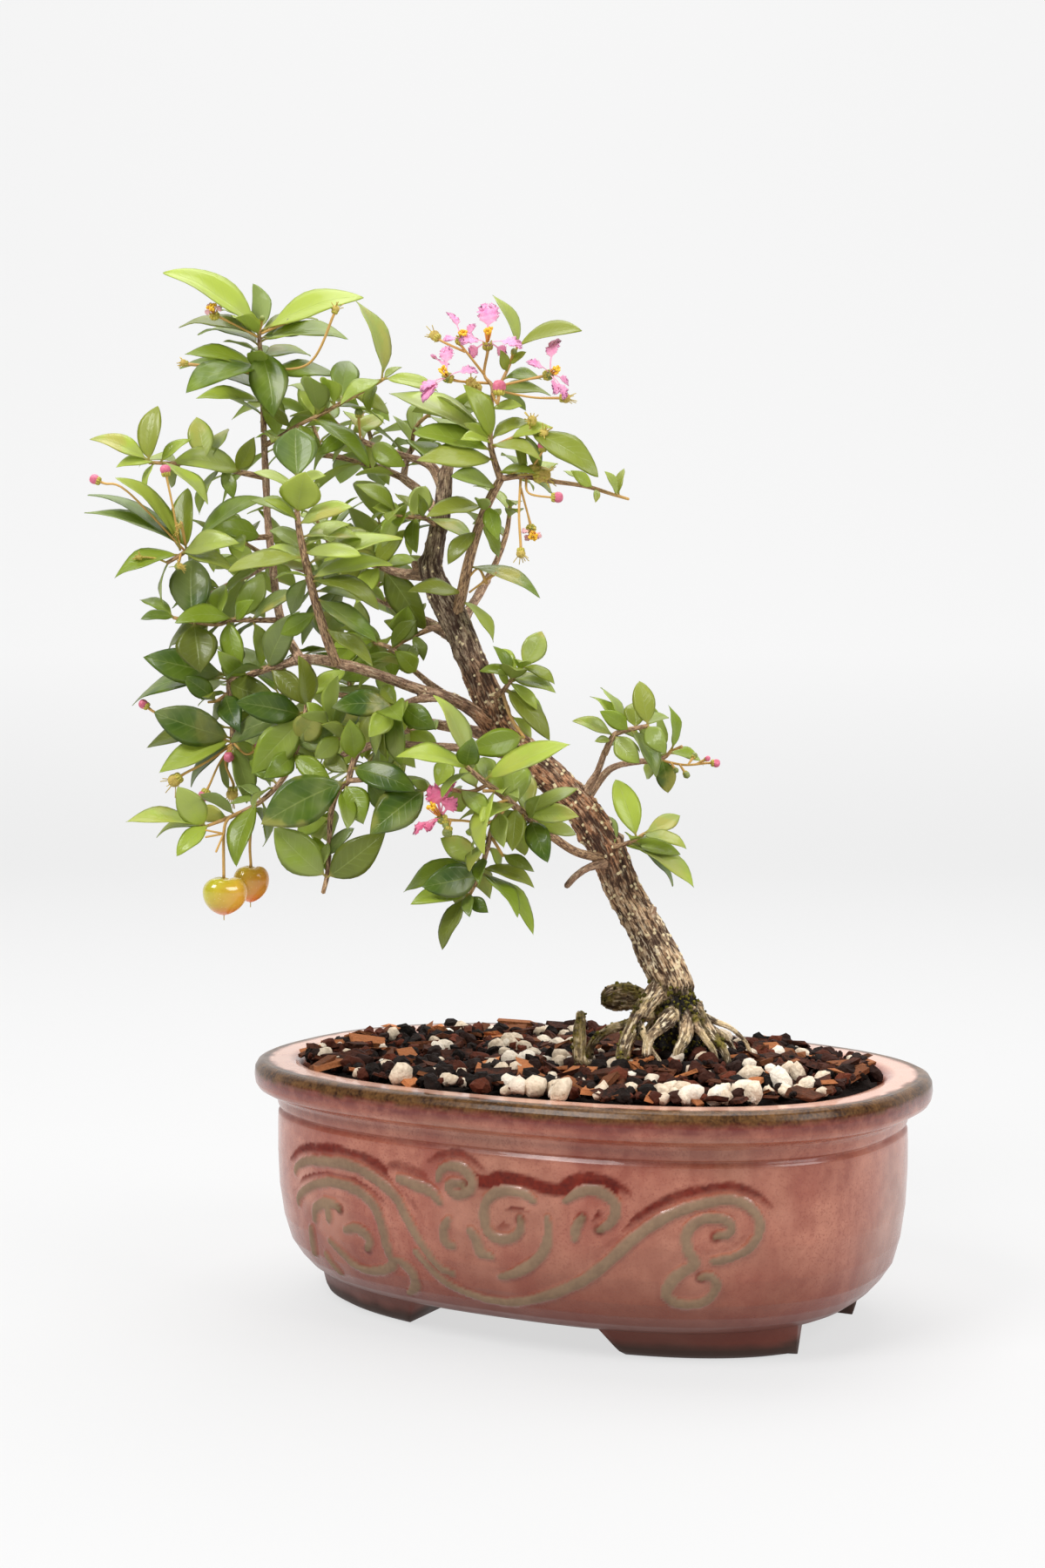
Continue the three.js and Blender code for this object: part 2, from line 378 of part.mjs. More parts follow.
      [570, 908, 552, 978, 18, 6], [490, 906, 425, 956, 46, 7], [498, 906, 428, 903, 14, -9],
      [528, 907, 562, 942, 22, 6], [500, 906, 516, 872, 24, -6], [548, 905, 530, 878, 22, -9]],
    fill: [1, 19, 30],
  },
  low_sprig: {
    stems: [[[583, 920, 32, 0.8], [567, 945, 28, 0.8], [559, 975, 28, 0.8], [551, 1003, 28, 0.7],
      [538, 1030, 28, 0.5]],
      [[565, 962, 28, 0.5], [578, 983, 30, 0.4]]],
    leaves: [[551, 1004, 486, 1018, 38, 7], [555, 990, 506, 962, 27, -3],
      [552, 1000, 462, 1021, 26, -7],
      [539, 1028, 472, 1037, 21, 5], [540, 1026, 504, 1088, 20, 2], [553, 998, 614, 1016, 16, 3],
      [552, 1002, 613, 1072, 19, 5], [551, 1004, 596, 1050, 15, 10], [552, 1002, 520, 1000, 20, -12]],
    fill: [1, 19, 31],
  },
  trunk_right_twig: {
    stems: [[[562, 802, 2, 1.1], [576, 795, 8, 0.8], [585, 783, 10, 0.7], [592, 775, 11, 0.6],
      [601, 764, 12, 0.5]],
      [[577, 795, 8, 0.6], [586, 822, 10, 0.5], [602, 847, 13, 0.4]]],
    leaves: [[600, 766, 623, 724, 28, -3], [586, 782, 638, 795, 15, 7], [578, 794, 627, 819, 15, -7],
      [580, 790, 632, 849, 25, 2], [601, 846, 539, 861, 32, 6]],
    fill: [1, 17, 32],
  },
  prong_upper_shoot: {
    stems: [[[694, 866, 5, 1], [703, 847, 6, 0.9], [713, 840, 6, 0.8], [744, 833, 8, 0.6]]],
    leaves: [[722, 838, 690, 817, 20, 6], [714, 839, 680, 797, 13, -5], [716, 839, 690, 789, 11, -10],
      [744, 833, 734, 782, 26, -3], [744, 833, 763, 863, 25, 6], [724, 838, 755, 891, 19, 4],
      [706, 845, 733, 875, 26, 5]],
    fill: [1, 17, 33],
  },
  prong_lower_shoot: {
    stems: [[[734, 874, -10, 0.9], [752, 873, -10, 0.8], [765, 868, -9, 0.6], [772, 859, -9, 0.4]],
      [[756, 872, -10, 0.4], [785, 878, -6, 0.35], [812, 876, -5, 0.35], [821, 876, -5, 1.2]],
      [[780, 877, -6, 0.3], [788, 889, -3, 1]], [[790, 878, -6, 0.3], [797, 868, -8, 0.9]],
      [[770, 875, -8, 0.3], [776, 884, -4, 0.8]],
      [[800, 877, -6, 0.3], [812, 871, -3, 0.8]], [[770, 862, -9, 0.25], [783, 857, -6, 0.6]]],
    leaves: [[760, 871, 767, 910, 24, 4]],
    fill: [1, 16, 34],
  },
  trunk_low_right_shoot: {
    stems: [[[697, 975, 2, 1.1], [714, 970, 6, 0.7], [727, 965, 8, 0.6], [740, 957, 9, 0.5]]],
    leaves: [[731, 963, 708, 894, 30, -4], [739, 958, 781, 936, 20, -5], [712, 970, 781, 980, 20, 6],
      [717, 969, 797, 1018, 20, 8], [726, 966, 776, 1015, 14, -6], [706, 972, 687, 933, 20, -7]],
    fill: [0, 17, 35],
  },
  back_high_shoot: {
    stems: [[[466, 550, -33, 1.1], [430, 535, -42, 1], [390, 525, -46, 0.9], [350, 520, -46, 0.8],
      [315, 512, -44, 0.6]],
      [[430, 535, -42, 0.8], [425, 500, -50, 0.7], [412, 468, -54, 0.5]], [[370, 523, -46, 0.8],
      [360, 490, -52, 0.6], [345, 460, -54, 0.5]]],
    leaves: [],
    fill: [4, 22, 36],
  },
  back_upper_shoot: {
    stems: [[[463, 549, -34, 1.1], [470, 520, -44, 0.9], [490, 500, -50, 0.8], [515, 485, -54, 0.6]],
      [[472, 517, -45, 0.7], [478, 490, -38, 0.6], [500, 470, -32, 0.5]]],
    leaves: [],
    fill: [3, 21, 37],
  },
  back_middle_shoot: {
    stems: [[[464, 702, -35, 1.2], [430, 685, -46, 1.1], [390, 668, -52, 1], [350, 655, -54, 0.9],
      [310, 640, -52, 0.8],
      [275, 620, -48, 0.6]],
      [[390, 668, -52, 0.8], [380, 630, -56, 0.7], [360, 590, -56, 0.5]], [[430, 685, -46, 0.8],
      [440, 640, -50, 0.7], [436, 600, -50, 0.5]]],
    leaves: [],
    fill: [5, 23, 38],
  },
  back_left_shoot: {
    stems: [[[312, 645, -17, 1], [285, 660, -30, 0.9], [255, 675, -38, 0.8], [225, 690, -42, 0.6]]],
    leaves: [],
    fill: [5, 21, 39],
  },
  back_low_shoot: {
    stems: [[[492, 829, -35, 1.2], [450, 812, -44, 1.1], [405, 800, -50, 1], [360, 795, -50, 0.9],
      [315, 800, -46, 0.7], [280, 815, -42, 0.5]],
      [[405, 800, -50, 0.8], [395, 760, -54, 0.7], [375, 730, -54, 0.5]], [[450, 812, -44, 0.8],
      [440, 850, -48, 0.7], [420, 885, -46, 0.5]]],
    leaves: [],
    fill: [5, 23, 40],
  },
  back_right_shoot: {
    stems: [[[558, 668, -27, 1.1], [572, 640, -34, 0.9], [582, 610, -36, 0.8], [586, 580, -34, 0.6]]],
    leaves: [],
    fill: [4, 19, 41],
  },
};

// Blooms: the stem's end, the middle of the anthers, and petals as pixel of the tip, how far
// it stands in front of the stem's end, and the width seen
const BLOOMS = {
  bloom_top: {
    base: [560, 396, 9], anthers: [560, 379, 11], open: true, colour: 0xf48fb5,
    petals: [[561, 351, -3, 23], [531, 393, 7, 8], [597, 397, 4, 9], [540, 407, -4, 13],
      [580, 406, -4, 13]],
  },
  bloom_top_left: {
    base: [529, 390, 12], anthers: [531, 382, 14], open: true, colour: 0xeaa9d2,
    petals: [[515, 360, -2, 8], [545, 388, -6, 8], [545, 374, 3, 8], [512, 391, 5, 6]],
  },
  bloom_left: {
    base: [514, 433, 15], anthers: [508, 425, 20], open: true, colour: 0xf5a3c6,
    petals: [[514, 399, -1, 15], [546, 426, 2, 8], [486, 448, 5, 8], [489, 458, 7, 8],
      [500, 412, -7, 8]],
  },
  bloom_right: {
    base: [630, 430, 14], anthers: [639, 424, 16], open: true, colour: 0xee9ed0,
    petals: [[640, 391, -2, 13], [608, 417, 5, 7], [637, 451, 6, 8], [648, 456, 3, 8],
      [652, 440, -2, 7]],
  },
  bloom_low: {
    base: [507, 939, 37], anthers: [496, 926, 40], open: true, colour: 0xf0559a,
    petals: [[498, 903, 3, 22], [521, 917, 4, 18], [522, 899, -3, 8], [477, 956, 4, 7],
      [492, 953, 8, 7]],
  },
  bloom_opening: {
    base: [246, 361, -8], anthers: [243, 352, -6], open: false, colour: 0xe08a5a,
    petals: [[240, 349, 1, 9], [253, 352, 2, 8], [236, 357, 3, 7]],
  },
  bloom_pale: {
    base: [610, 608, 12], anthers: [612, 616, 15], open: false, colour: 0xf3d9a8,
    petals: [[605, 620, 2, 8], [620, 617, 2, 8], [600, 611, 4, 6]],
  },
};

// Fruits: the end of the stalk, the girth and the height, and the turn of the three lobes
const FRUITS = {
  fruit_front: { top: [257, 1008, 26], radius: 6.2, height: 10.3, turn: 2.6, colour: 0xc8a832 },
  fruit_rear: { top: [287.5, 995, 17], radius: 5, height: 10, turn: 0.4, colour: 0xd99a3f },
};

// Solids

function solidFromLists(points, triangles) {
  const vertProperties = new Float32Array(points.flatMap((point) => [point.x, point.y, point.z]));
  const triVerts = new Uint32Array(triangles.flat());
  return new Manifold(new wasm.Mesh({ numProp: 3, vertProperties, triVerts }));
}

function solidFromGeometry(geometry, matrix) {
  const bare = new THREE.BufferGeometry();
  bare.setAttribute('position', geometry.getAttribute('position').clone());
  if (geometry.index) {
    bare.setIndex(geometry.index);
  }
  if (matrix) {
    bare.applyMatrix4(matrix);
  }
  const merged = mergeVertices(bare, 1e-4);
  const vertProperties = new Float32Array(merged.getAttribute('position').array);
  const triVerts = new Uint32Array(merged.index.array);
  return new Manifold(new wasm.Mesh({ numProp: 3, vertProperties, triVerts }));
}

// A closed loft through rings of equally many points, each turning left seen from its far end
function loft(rings) {
  const count = rings[0].length;
  const triangles = [];
  for (let row = 0; row < rings.length - 1; row += 1) {
    for (let i = 0; i < count; i += 1) {
      const a = row * count + i;
      const b = row * count + ((i + 1) % count);
      triangles.push([a, b, b + count], [a, b + count, a + count]);
    }
  }
  const last = (rings.length - 1) * count;
  for (let i = 1; i < count - 1; i += 1) {
    triangles.push([0, i + 1, i], [last, last + i, last + i + 1]);
  }
  return solidFromLists(rings.flat(), triangles);
}

function superellipse(halfLength, halfWidth, height, sides, roundness) {
  const power = 2 / roundness;
  return Array.from({ length: sides }, (_, i) => {
    const angle = (2 * Math.PI * i) / sides;
    const c = Math.cos(angle);
    const s = Math.sin(angle);
    return new Vector3(
      halfLength * Math.sign(c) * Math.abs(c) ** power,
      halfWidth * Math.sign(s) * Math.abs(s) ** power, height);
  });
}

// A tube through points with a radius at each, as rings square to the path
function taperTube(points, radii, sides) {
  const rings = [];
  let side = null;
  points.forEach((point, i) => {
    const before = points[Math.max(i - 1, 0)];
    const after = points[Math.min(i + 1, points.length - 1)];
    const along = after.clone().sub(before).normalize();
    if (side === null) {
      side = new Vector3(0.31, 0.2, 0.93).cross(along).normalize();
    }
    side.addScaledVector(along, -side.dot(along)).normalize();
    const other = new Vector3().crossVectors(along, side);
    rings.push(Array.from({ length: sides }, (_, k) => {
      const angle = (2 * Math.PI * k) / sides;
      return point.clone()
        .addScaledVector(side, radii[i] * Math.cos(angle))
        .addScaledVector(other, radii[i] * Math.sin(angle));
    }));
  });
  return loft(rings);
}

// Keeps the largest body of a solid, without loose scraps
function largestBody(solid) {
  const bodies = solid.decompose();
  return bodies.reduce((best, body) => (body.volume() > best.volume() ? body : best));
}

// The pot: one oval wall, four feet under its corners and two drain holes

function potFoot(signX, signY) {
  const ring = FOOT_WALL.map(([z, a, b]) => superellipse(a, b, z, POT.sides, POT.roundness));
  const profile = new THREE.Shape([
    new THREE.Vector2(POT.footInnerX + 2, -1), new THREE.Vector2(POT.footOuterX - 1, -1),
    new THREE.Vector2(POT.footOuterX + 1, 11), new THREE.Vector2(POT.footInnerX - 5, 11),
  ]);
  const slab = new THREE.ExtrudeGeometry(profile, { depth: 50, bevelEnabled: false });
  slab.rotateX(Math.PI / 2);
  slab.translate(0, -POT.footInnerY, 0);
  let wedge = solidFromGeometry(slab);
  if (signX < 0) {
    wedge = wedge.mirror([1, 0, 0]);
  }
  if (signY > 0) {
    wedge = wedge.mirror([0, 1, 0]);
  }
  return loft(ring).intersect(wedge);
}

function potSolid() {
  const rings = POT_WALL.map(([z, a, b]) => superellipse(a, b, z, POT.sides, POT.roundness));
  let pot = loft(rings);
  [-1, 1].forEach((signX) => {
    [-1, 1].forEach((signY) => {
      pot = pot.add(potFoot(signX, signY));
    });
    const drain = new THREE.CylinderGeometry(POT.drainRadius, POT.drainRadius, 20, 14);
    drain.rotateX(Math.PI / 2);
    drain.translate(signX * POT.drainX, 0, 11);
    pot = pot.subtract(solidFromGeometry(drain));
  });
  return pot;
}

// The soil: a mound up to the rim with coarse bark, pumice and lava grains on it

function soilHeight(x, y, along) {
  const away = Math.hypot(x - TRUNK_FOOT.x, y);
  const mound = SOIL.moundHeight * Math.exp(-((away / SOIL.moundWidth) ** 2));
  return SOIL.edgeHeight + mound * Math.min(1, (1 - along) * 4);
}

function soilSolid() {
  const random = randomStream(5);
  const sides = 26;
  const wall = [[14.3, 73.2, 47.2], [22, 81.2, 54.2], [40, 85.2, 57.6], [64, 86.4, 58.6]];
  const rings = wall.map(([z, a, b]) => superellipse(a, b, z, sides, POT.roundness));
  [0.92, 0.66, 0.4, 0.16].forEach((along) => {
    const ring = superellipse(86.6 * along, 58.8 * along, 0, sides, POT.roundness);
    ring.forEach((point) => {
      point.x += (1 - along) * TRUNK_FOOT.x * 0.6;
      point.z = soilHeight(point.x, point.y, along) + (random() - 0.5) * 2 * SOIL.roughness;
    });
    rings.push(ring);
  });
  let soil = loft(rings);
  for (let i = 0; i < SOIL.chunks; i += 1) {
    soil = soil.add(soilChunk(random, i));
  }
  return soil;
}

// One coarse grain: a flat splinter of bark or a lump of pumice or lava
function soilChunk(random, index) {
  const angle = random() * 2 * Math.PI;
  const along = Math.sqrt(random()) * 0.86;
  const x = 84 * along * Math.cos(angle);
  const y = 55 * along * Math.sin(angle);
  const size = 2.4 + 2 * random();
  const splinter = index % 3 === 0;
  const shape = splinter
    ? new THREE.BoxGeometry(size * 3.2, size * 1.6, 1.8)
    : new THREE.OctahedronGeometry(size, 0);
  const turn = new THREE.Euler((random() - 0.5) * 0.5, (random() - 0.5) * 0.5, random() * 3);
  const place = new THREE.Matrix4().makeRotationFromEuler(turn);
  place.setPosition(x, y, soilHeight(x, y, along) + 0.6);
  return solidFromGeometry(shape, place);
}

// Wood as tubes. extra widens every radius and lengthens the end, to cut a seat with room
// round the wood

function woodPath(rows) {
  return rows.map(([px, py, depth]) => spot(px, py, depth));
}

function woodTube(rows, sides, extra = 0) {
  const path = woodPath(rows);
  const last = path[path.length - 1];
  last.addScaledVector(last.clone().sub(path[path.length - 2]).normalize(), extra);
  return taperTube(path, rows.map((row) => row[3] + extra), sides);
}

function trunkSolid(extra = 0) {
  const tubes = [woodTube(TRUNK, TRUNK_SIDES, extra)];
  Object.values(ROOTS).forEach((rows) => tubes.push(woodTube(rows, BARK_SIDES, extra)));
  Object.values(LIMBS).forEach((rows) => tubes.push(woodTube(rows, BARK_SIDES, extra)));
  return Manifold.union(tubes);
}

// Leaf blades. A leaf is its foot and tip, the unit vectors along, out of its upper face and
// across, and its half width. Its midrib is a parabola arched towards the upper face.

function leafTowards(foot, tip, normal, halfWidth) {
  const along = tip.clone().sub(foot);
  const length = along.length();
  along.divideScalar(length);
  const out = normal.clone().addScaledVector(along, -normal.dot(along)).normalize();
  const across = new Vector3().crossVectors(out, along);
  return { foot, length, along, out, across, halfWidth, outline: leafOutline, arch: BLADE.arch };
}

// A leaf of the photograph: its face turns to the eye until its width seen fits
function leafSeen(foot, tip, seenWidth, extraTurn, girth = BLADE.girth) {
  const along = tip.clone().sub(foot);
  const length = along.length();
  along.divideScalar(length);
  const facing = EYE.clone().sub(foot).normalize();
  facing.addScaledVector(along, -facing.dot(along)).normalize();
  const upright = new Vector3().crossVectors(along, facing);
  if (upright.z < 0) {
    upright.negate();
  }
  const width = Math.max(girth * length, Math.abs(seenWidth));
  const turn = Math.asin(Math.min(1, Math.abs(seenWidth) / width)) + extraTurn;
  const normal = upright.multiplyScalar(Math.cos(turn))
    .addScaledVector(facing, Math.sin(turn) * Math.sign(seenWidth));
  return leafTowards(foot, tip, normal, width / 2);
}

// Half width of the outline over the length: a short stalk, widest near the middle, a point
function leafOutline(t) {
  const u = Math.max(0, (t - 0.06) / 0.94);
  return Math.sin(Math.PI * u ** 0.92) ** 0.8;
}

function leafPoint(leaf, t, side, lift) {
  return leaf.foot.clone()
    .addScaledVector(leaf.along, leaf.length * t)
    .addScaledVector(leaf.across, side * leaf.halfWidth * leaf.outline(t))
    .addScaledVector(leaf.out, leaf.length * leaf.arch * 4 * t * (1 - t) + lift);
}

// The closed blade: the foot, stations of two points on each face, and the tip
function bladeSolid(leaf) {
  const half = BLADE.thickness / 2;
  const rows = leaf.length > BLADE.long ? BLADE.rows : BLADE.shortRows;
  const points = [leafPoint(leaf, 0, 0, 0)];
  rows.forEach((t) => {
    points.push(leafPoint(leaf, t, 1, half), leafPoint(leaf, t, -1, half));
    points.push(leafPoint(leaf, t, 1, -half), leafPoint(leaf, t, -1, -half));
  });
  points.push(leafPoint(leaf, 1, 0, 0));
  const triangles = [[0, 2, 1], [0, 3, 4], [0, 1, 3], [0, 4, 2]];
  for (let first = 1; first < rows.length * 4 - 4; first += 4) {
    const [tl, tr, bl, br] = [first, first + 1, first + 2, first + 3];
    triangles.push([tl, tr, tr + 4], [tl, tr + 4, tl + 4], [bl, br + 4, br], [bl, bl + 4, br + 4]);
    triangles.push([tl, tl + 4, bl + 4], [tl, bl + 4, bl], [tr, br, br + 4], [tr, br + 4, tr + 4]);
  }
  const tip = points.length - 1;
  triangles.push([tip - 4, tip - 3, tip], [tip - 2, tip, tip - 1]);
  triangles.push([tip - 4, tip, tip - 2], [tip - 3, tip - 1, tip]);
  return solidFromLists(points, triangles);
}

// Keeping leaves of different shoots clear of each other and of the wood

// Mid surface of a leaf as triangles, and lines over it on both sides at the clearance
const SKIN_ROWS = [0.1, 0.28, 0.46, 0.64, 0.82, 0.97];
const OUTER_ROW = 1;

function leafSkin(leaf) {
  const rows = SKIN_ROWS.map((t) => [1, 0, -1].map((side) => leafPoint(leaf, t, side, 0)));
  const box = new THREE.Box3().setFromPoints(rows.flat()).expandByScalar(1.5);
  const outer = skinNet(rows.slice(OUTER_ROW), leaf.out);
  return { whole: skinNet(rows, leaf.out), outer, box, points: rows.flat() };
}

function skinNet(rows, out) {
  const triangles = [];
  for (let i = 0; i < rows.length - 1; i += 1) {
    for (let k = 0; k < 2; k += 1) {
      triangles.push([rows[i][k], rows[i][k + 1], rows[i + 1][k + 1]]);
      triangles.push([rows[i][k], rows[i + 1][k + 1], rows[i + 1][k]]);
    }
  }
  const lines = [];
  [-BLADE.clearance, 0, BLADE.clearance].forEach((lift) => {
    const shifted = rows.map((row) => row.map((point) => point.clone().addScaledVector(out, lift)));
    shifted.forEach((row, i) => {
      lines.push([row[0], row[1]], [row[1], row[2]]);
      if (i > 0) {
        row.forEach((point, k) => lines.push([shifted[i - 1][k], point]));
      }
    });
  });
  return { triangles, lines };
}

function lineCrossesTriangle([start, end], [a, b, c]) {
  const reach = end.clone().sub(start);
  const ab = b.clone().sub(a);
  const ac = c.clone().sub(a);
  const p = new Vector3().crossVectors(reach, ac);
  const det = ab.dot(p);
  if (Math.abs(det) < 1e-9) {
    return false;
  }
  const from = start.clone().sub(a);
  const u = from.dot(p) / det;
  const q = new Vector3().crossVectors(from, ab);
  const v = reach.dot(q) / det;
  const t = ac.dot(q) / det;
  return u >= 0 && v >= 0 && u + v <= 1 && t >= 0 && t <= 1;
}

function crosses(lines, triangles) {
  return lines.some((line) => triangles.some((triangle) => lineCrossesTriangle(line, triangle)));
}

// Lines along a tube's middle and round it, which no leaf of another shoot may cross
function woodWires(rows) {
  const path = woodPath(rows);
  const wires = [];
  for (let i = 0; i < path.length - 1; i += 1) {
    const along = path[i + 1].clone().sub(path[i]).normalize();
    const side = new Vector3(0, 0, 1).cross(along).normalize();
    const other = new Vector3().crossVectors(along, side);
    const angles = [0, 1, 2, 3, 4, 5].map((k) => (Math.PI * k) / 3);
    const starts = angles.map((angle) => [Math.cos(angle), Math.sin(angle)]);
    [[0, 0], ...starts].forEach(([c, s]) => {
      wires.push([0, 1].map((end) => {
        const reach = rows[i + end][3] + WIRE_GAP;
        return path[i + end].clone().addScaledVector(side, reach * c).addScaledVector(other, reach * s);
      }));
    });
  }
  const box = new THREE.Box3().setFromPoints(wires.flat());
  return { wires, box };
}

function woodOfAll() {
  const bark = [TRUNK, ...Object.values(ROOTS), ...Object.values(LIMBS)];
  const wood = bark.map((rows) => ({ owner: 'tree', ...woodWires(rows) }));
  Object.entries(SHOOTS).forEach(([owner, shoot]) => {
    shoot.stems.forEach((rows) => wood.push({ owner, ...woodWires(rows) }));
  });
  return wood;
}

// Balls round the petals and fruits, which leaves stay out of
function ballsToAvoid() {
  const balls = Object.values(FRUITS).map(({ top, radius, height }) => {
    const middle = spot(...top);
    middle.z -= height * 0.5;
    return { middle, radius: radius + 1.2 };
  });
  Object.values(BLOOMS).forEach((bloom) => {
    balls.push({ middle: spot(...bloom.base), radius: 2.4 }, { middle: spot(...bloom.anthers), radius: 2 });
    bloom.petals.forEach((row) => {
      const petal = petalSeen(bloom, row);
      const room = petal.halfWidth * 0.7 + 0.9;
      [0.5, 0.75, 0.95].forEach((t) => balls.push({ middle: leafPoint(petal, t, 0, 0), radius: room }));
    });
  });
  return balls;
}

function netsCross(one, other) {
  return crosses(one.lines, other.triangles) || crosses(other.lines, one.triangles);
}

function isClearOfOthers(skin, owner) {
  const isInside = ({ middle, radius }) => skin.points.some((point) => point.distanceTo(middle) < radius);
  return !keepOut.some(isInside)
    && !wood.some((other) => other.owner !== owner && other.box.intersectsBox(skin.box)
      && crosses(other.wires, skin.whole.triangles))
    && !leaves.some((other) => other.owner !== owner && other.skin.box.intersectsBox(skin.box)
      && netsCross(skin.whole, other.skin.whole));
}

// Within a shoot only the outer part of a leaf has to be clear, as its foot is fused to the stem
function isClearOfOwn(skin, owner) {
  return !wood.some((other) => other.owner === owner && other.box.intersectsBox(skin.box)
      && crosses(other.wires, skin.outer.triangles))
    && !leaves.some((other) => other.owner === owner && other.skin.box.intersectsBox(skin.box)
      && netsCross(skin.outer, other.skin.outer));
}

// The place on a shoot's stems nearest to a pixel, with its depth
function stemPlace(stems, px, py) {
  let best = { gap: Infinity };
  stems.forEach((rows) => {
    for (let i = 0; i < rows.length - 1; i += 1) {
      const [ax, ay] = rows[i];
      const [bx, by] = rows[i + 1];
      const span = (bx - ax) ** 2 + (by - ay) ** 2;
      const t = Math.min(1, Math.max(0, ((px - ax) * (bx - ax) + (py - ay) * (by - ay)) / span));
      const gap = Math.hypot(ax + t * (bx - ax) - px, ay + t * (by - ay) - py);
      if (gap < best.gap) {
        const foot = spot(...rows[i].slice(0, 3)).lerp(spot(...rows[i + 1].slice(0, 3)), t);
        best = { gap, foot, depth: rows[i][2] + t * (rows[i + 1][2] - rows[i][2]) };
      }
    }
  });
  return best;
}

// A leaf that meets another shoot is bent clear: its tip swings out or in, or its face turns
const BENDS = [
  [0, 0], [3, 0], [-3, 0], [0, 0.25], [0, -0.25], [6, 0], [-6, 0], [5, 0.25], [-5, 0.25], [5, -0.25],
  [-5, -0.25], [9, 0], [-9, 0],
  [9, 0.3], [-9, 0.3], [9, -0.3], [-9, -0.3], [13, 0], [-13, 0],
];

function placeSeenLeaf(owner, [fx, fy, tx, ty, seen, away]) {
  const { foot, depth } = stemPlace(SHOOTS[owner].stems, fx, fy);
  const tries = BENDS.map(([swing, turn]) => {
    const leaf = leafSeen(foot, spot(tx, ty, depth + away + swing), seen / PHOTO.pixelsPerMm, turn);
    return { owner, leaf, skin: leafSkin(leaf) };
  });
  const clear = tries.filter(({ skin }) => isClearOfOthers(skin, owner));
  const best = clear.find(({ skin }) => isClearOfOwn(skin, owner)) || clear[0];
  if (best) {
    leaves.push(best);
  }
  return Boolean(best);
}

// Where the photograph shows foliage: discs of pixel, pixel, radius. Leaves set by rule stay in them
const FOLIAGE = [
  [300, 430, 80], [245, 545, 105], [380, 505, 80], [490, 520, 62], [395, 620, 95], [280, 690, 100],
  [335, 790, 110],
  [450, 620, 55], [445, 850, 78], [300, 865, 62], [385, 925, 50], [520, 895, 55], [585, 930, 45],
  [565, 470, 40],
  [560, 590, 40], [600, 785, 34], [735, 845, 40], [530, 1010, 45], [740, 965, 32], [450, 720, 50],
  [230, 930, 30],
];

function inFoliage(place) {
  const [px, py] = pixel(place);
  return FOLIAGE.some(([cx, cy, radius]) => Math.hypot(px - cx, py - cy) < radius);
}

// Opposite pairs along a shoot's stems, each pair turned a quarter from the one before
function placeRuledLeaves(owner) {
  const { stems, fill: [pairs, size, seed] } = SHOOTS[owner];
  const random = randomStream(seed);
  const bare = stems.filter((rows) => rows[0][3] >= 0.5);
  for (let i = 0; i < pairs * bare.length; i += 1) {
    const rows = bare[i % bare.length];
    const reach = ((Math.floor(i / bare.length) + 0.3 + 0.6 * random()) / pairs) * (rows.length - 1);
    const step = Math.min(rows.length - 2, Math.floor(reach));
    const path = woodPath(rows.slice(step, step + 2));
    const foot = path[0].clone().lerp(path[1], Math.min(1, reach - step));
    const along = path[1].clone().sub(path[0]).normalize();
    const side = new Vector3(0, 0, 1).cross(along).normalize();
    const other = new Vector3().crossVectors(along, side);
    const turn = (i * Math.PI) / 2 + (random() - 0.5) * 0.9;
    const lean = 0.85 + 0.4 * random();
    const length = size * (0.75 + 0.4 * random());
    [0, Math.PI].forEach((half) => {
      const out = side.clone().multiplyScalar(Math.cos(turn + half))
        .addScaledVector(other, Math.sin(turn + half));
      const direction = along.clone().multiplyScalar(Math.cos(lean)).addScaledVector(out, Math.sin(lean));
      direction.z -= 0.12;
      const tip = foot.clone().addScaledVector(direction.normalize(), length);
      const normal = new Vector3(0, 0, 1).addScaledVector(along, 0.5);
      const leaf = leafTowards(foot, tip, normal, (BLADE.girth / 2) * length);
      const skin = leafSkin(leaf);
      const seenWithin = inFoliage(tip) && inFoliage(leafPoint(leaf, 0.5, 0, 0));
      if (seenWithin && isClearOfOthers(skin, owner) && isClearOfOwn(skin, owner)) {
        leaves.push({ owner, leaf, skin });
      }
    });
  }
}

function setAllLeaves() {
  Object.entries(SHOOTS).forEach(([owner, shoot]) => {
    shoot.leaves.forEach((row) => placeSeenLeaf(owner, row));
  });
  Object.keys(SHOOTS).forEach((owner) => placeRuledLeaves(owner));
}

// A shoot: stems and leaves in one body, cut clear of the wood that it grows from

function stemTubes(owner, extra) {
  return SHOOTS[owner].stems.map((rows, i) => woodTube(rows, i === 0 ? TWIG_SIDES : TWIG_SIDES - 1, extra));
}

function shootSolid(owner, seats) {
  const blades = leaves.filter((leaf) => leaf.owner === owner).map(({ leaf }) => bladeSolid(leaf));
  return largestBody(Manifold.union([...stemTubes(owner, 0), ...blades]).subtract(seats));
}

// Blooms: clawed petals on a small hub over the calyx, with a tuft of stamens on it

function petalOutline(t) {
  return t < 0.4 ? 0.16 : 0.16 + 0.84 * Math.sin(Math.PI * Math.min(1, ((t - 0.4) / 0.6) * 0.84));
}

// A petal rises from the hub's edge, on the side that its tip lies on
function petalSeen(bloom, [tx, ty, away, seen]) {
  const { start, along } = bloomAxis(bloom);
  const middle = start.clone().addScaledVector(along, (PETAL.hubFrom + PETAL.hubTo) / 2);
  const tip = spot(tx, ty, bloom.base[2] + away);
  const side = tip.clone().sub(middle);
  side.addScaledVector(along, -side.dot(along)).normalize();
  const petal = leafSeen(middle.addScaledVector(side, 0.7), tip, seen / PHOTO.pixelsPerMm, 0, PETAL.girth);
  return { ...petal, outline: petalOutline, arch: PETAL.arch };
}

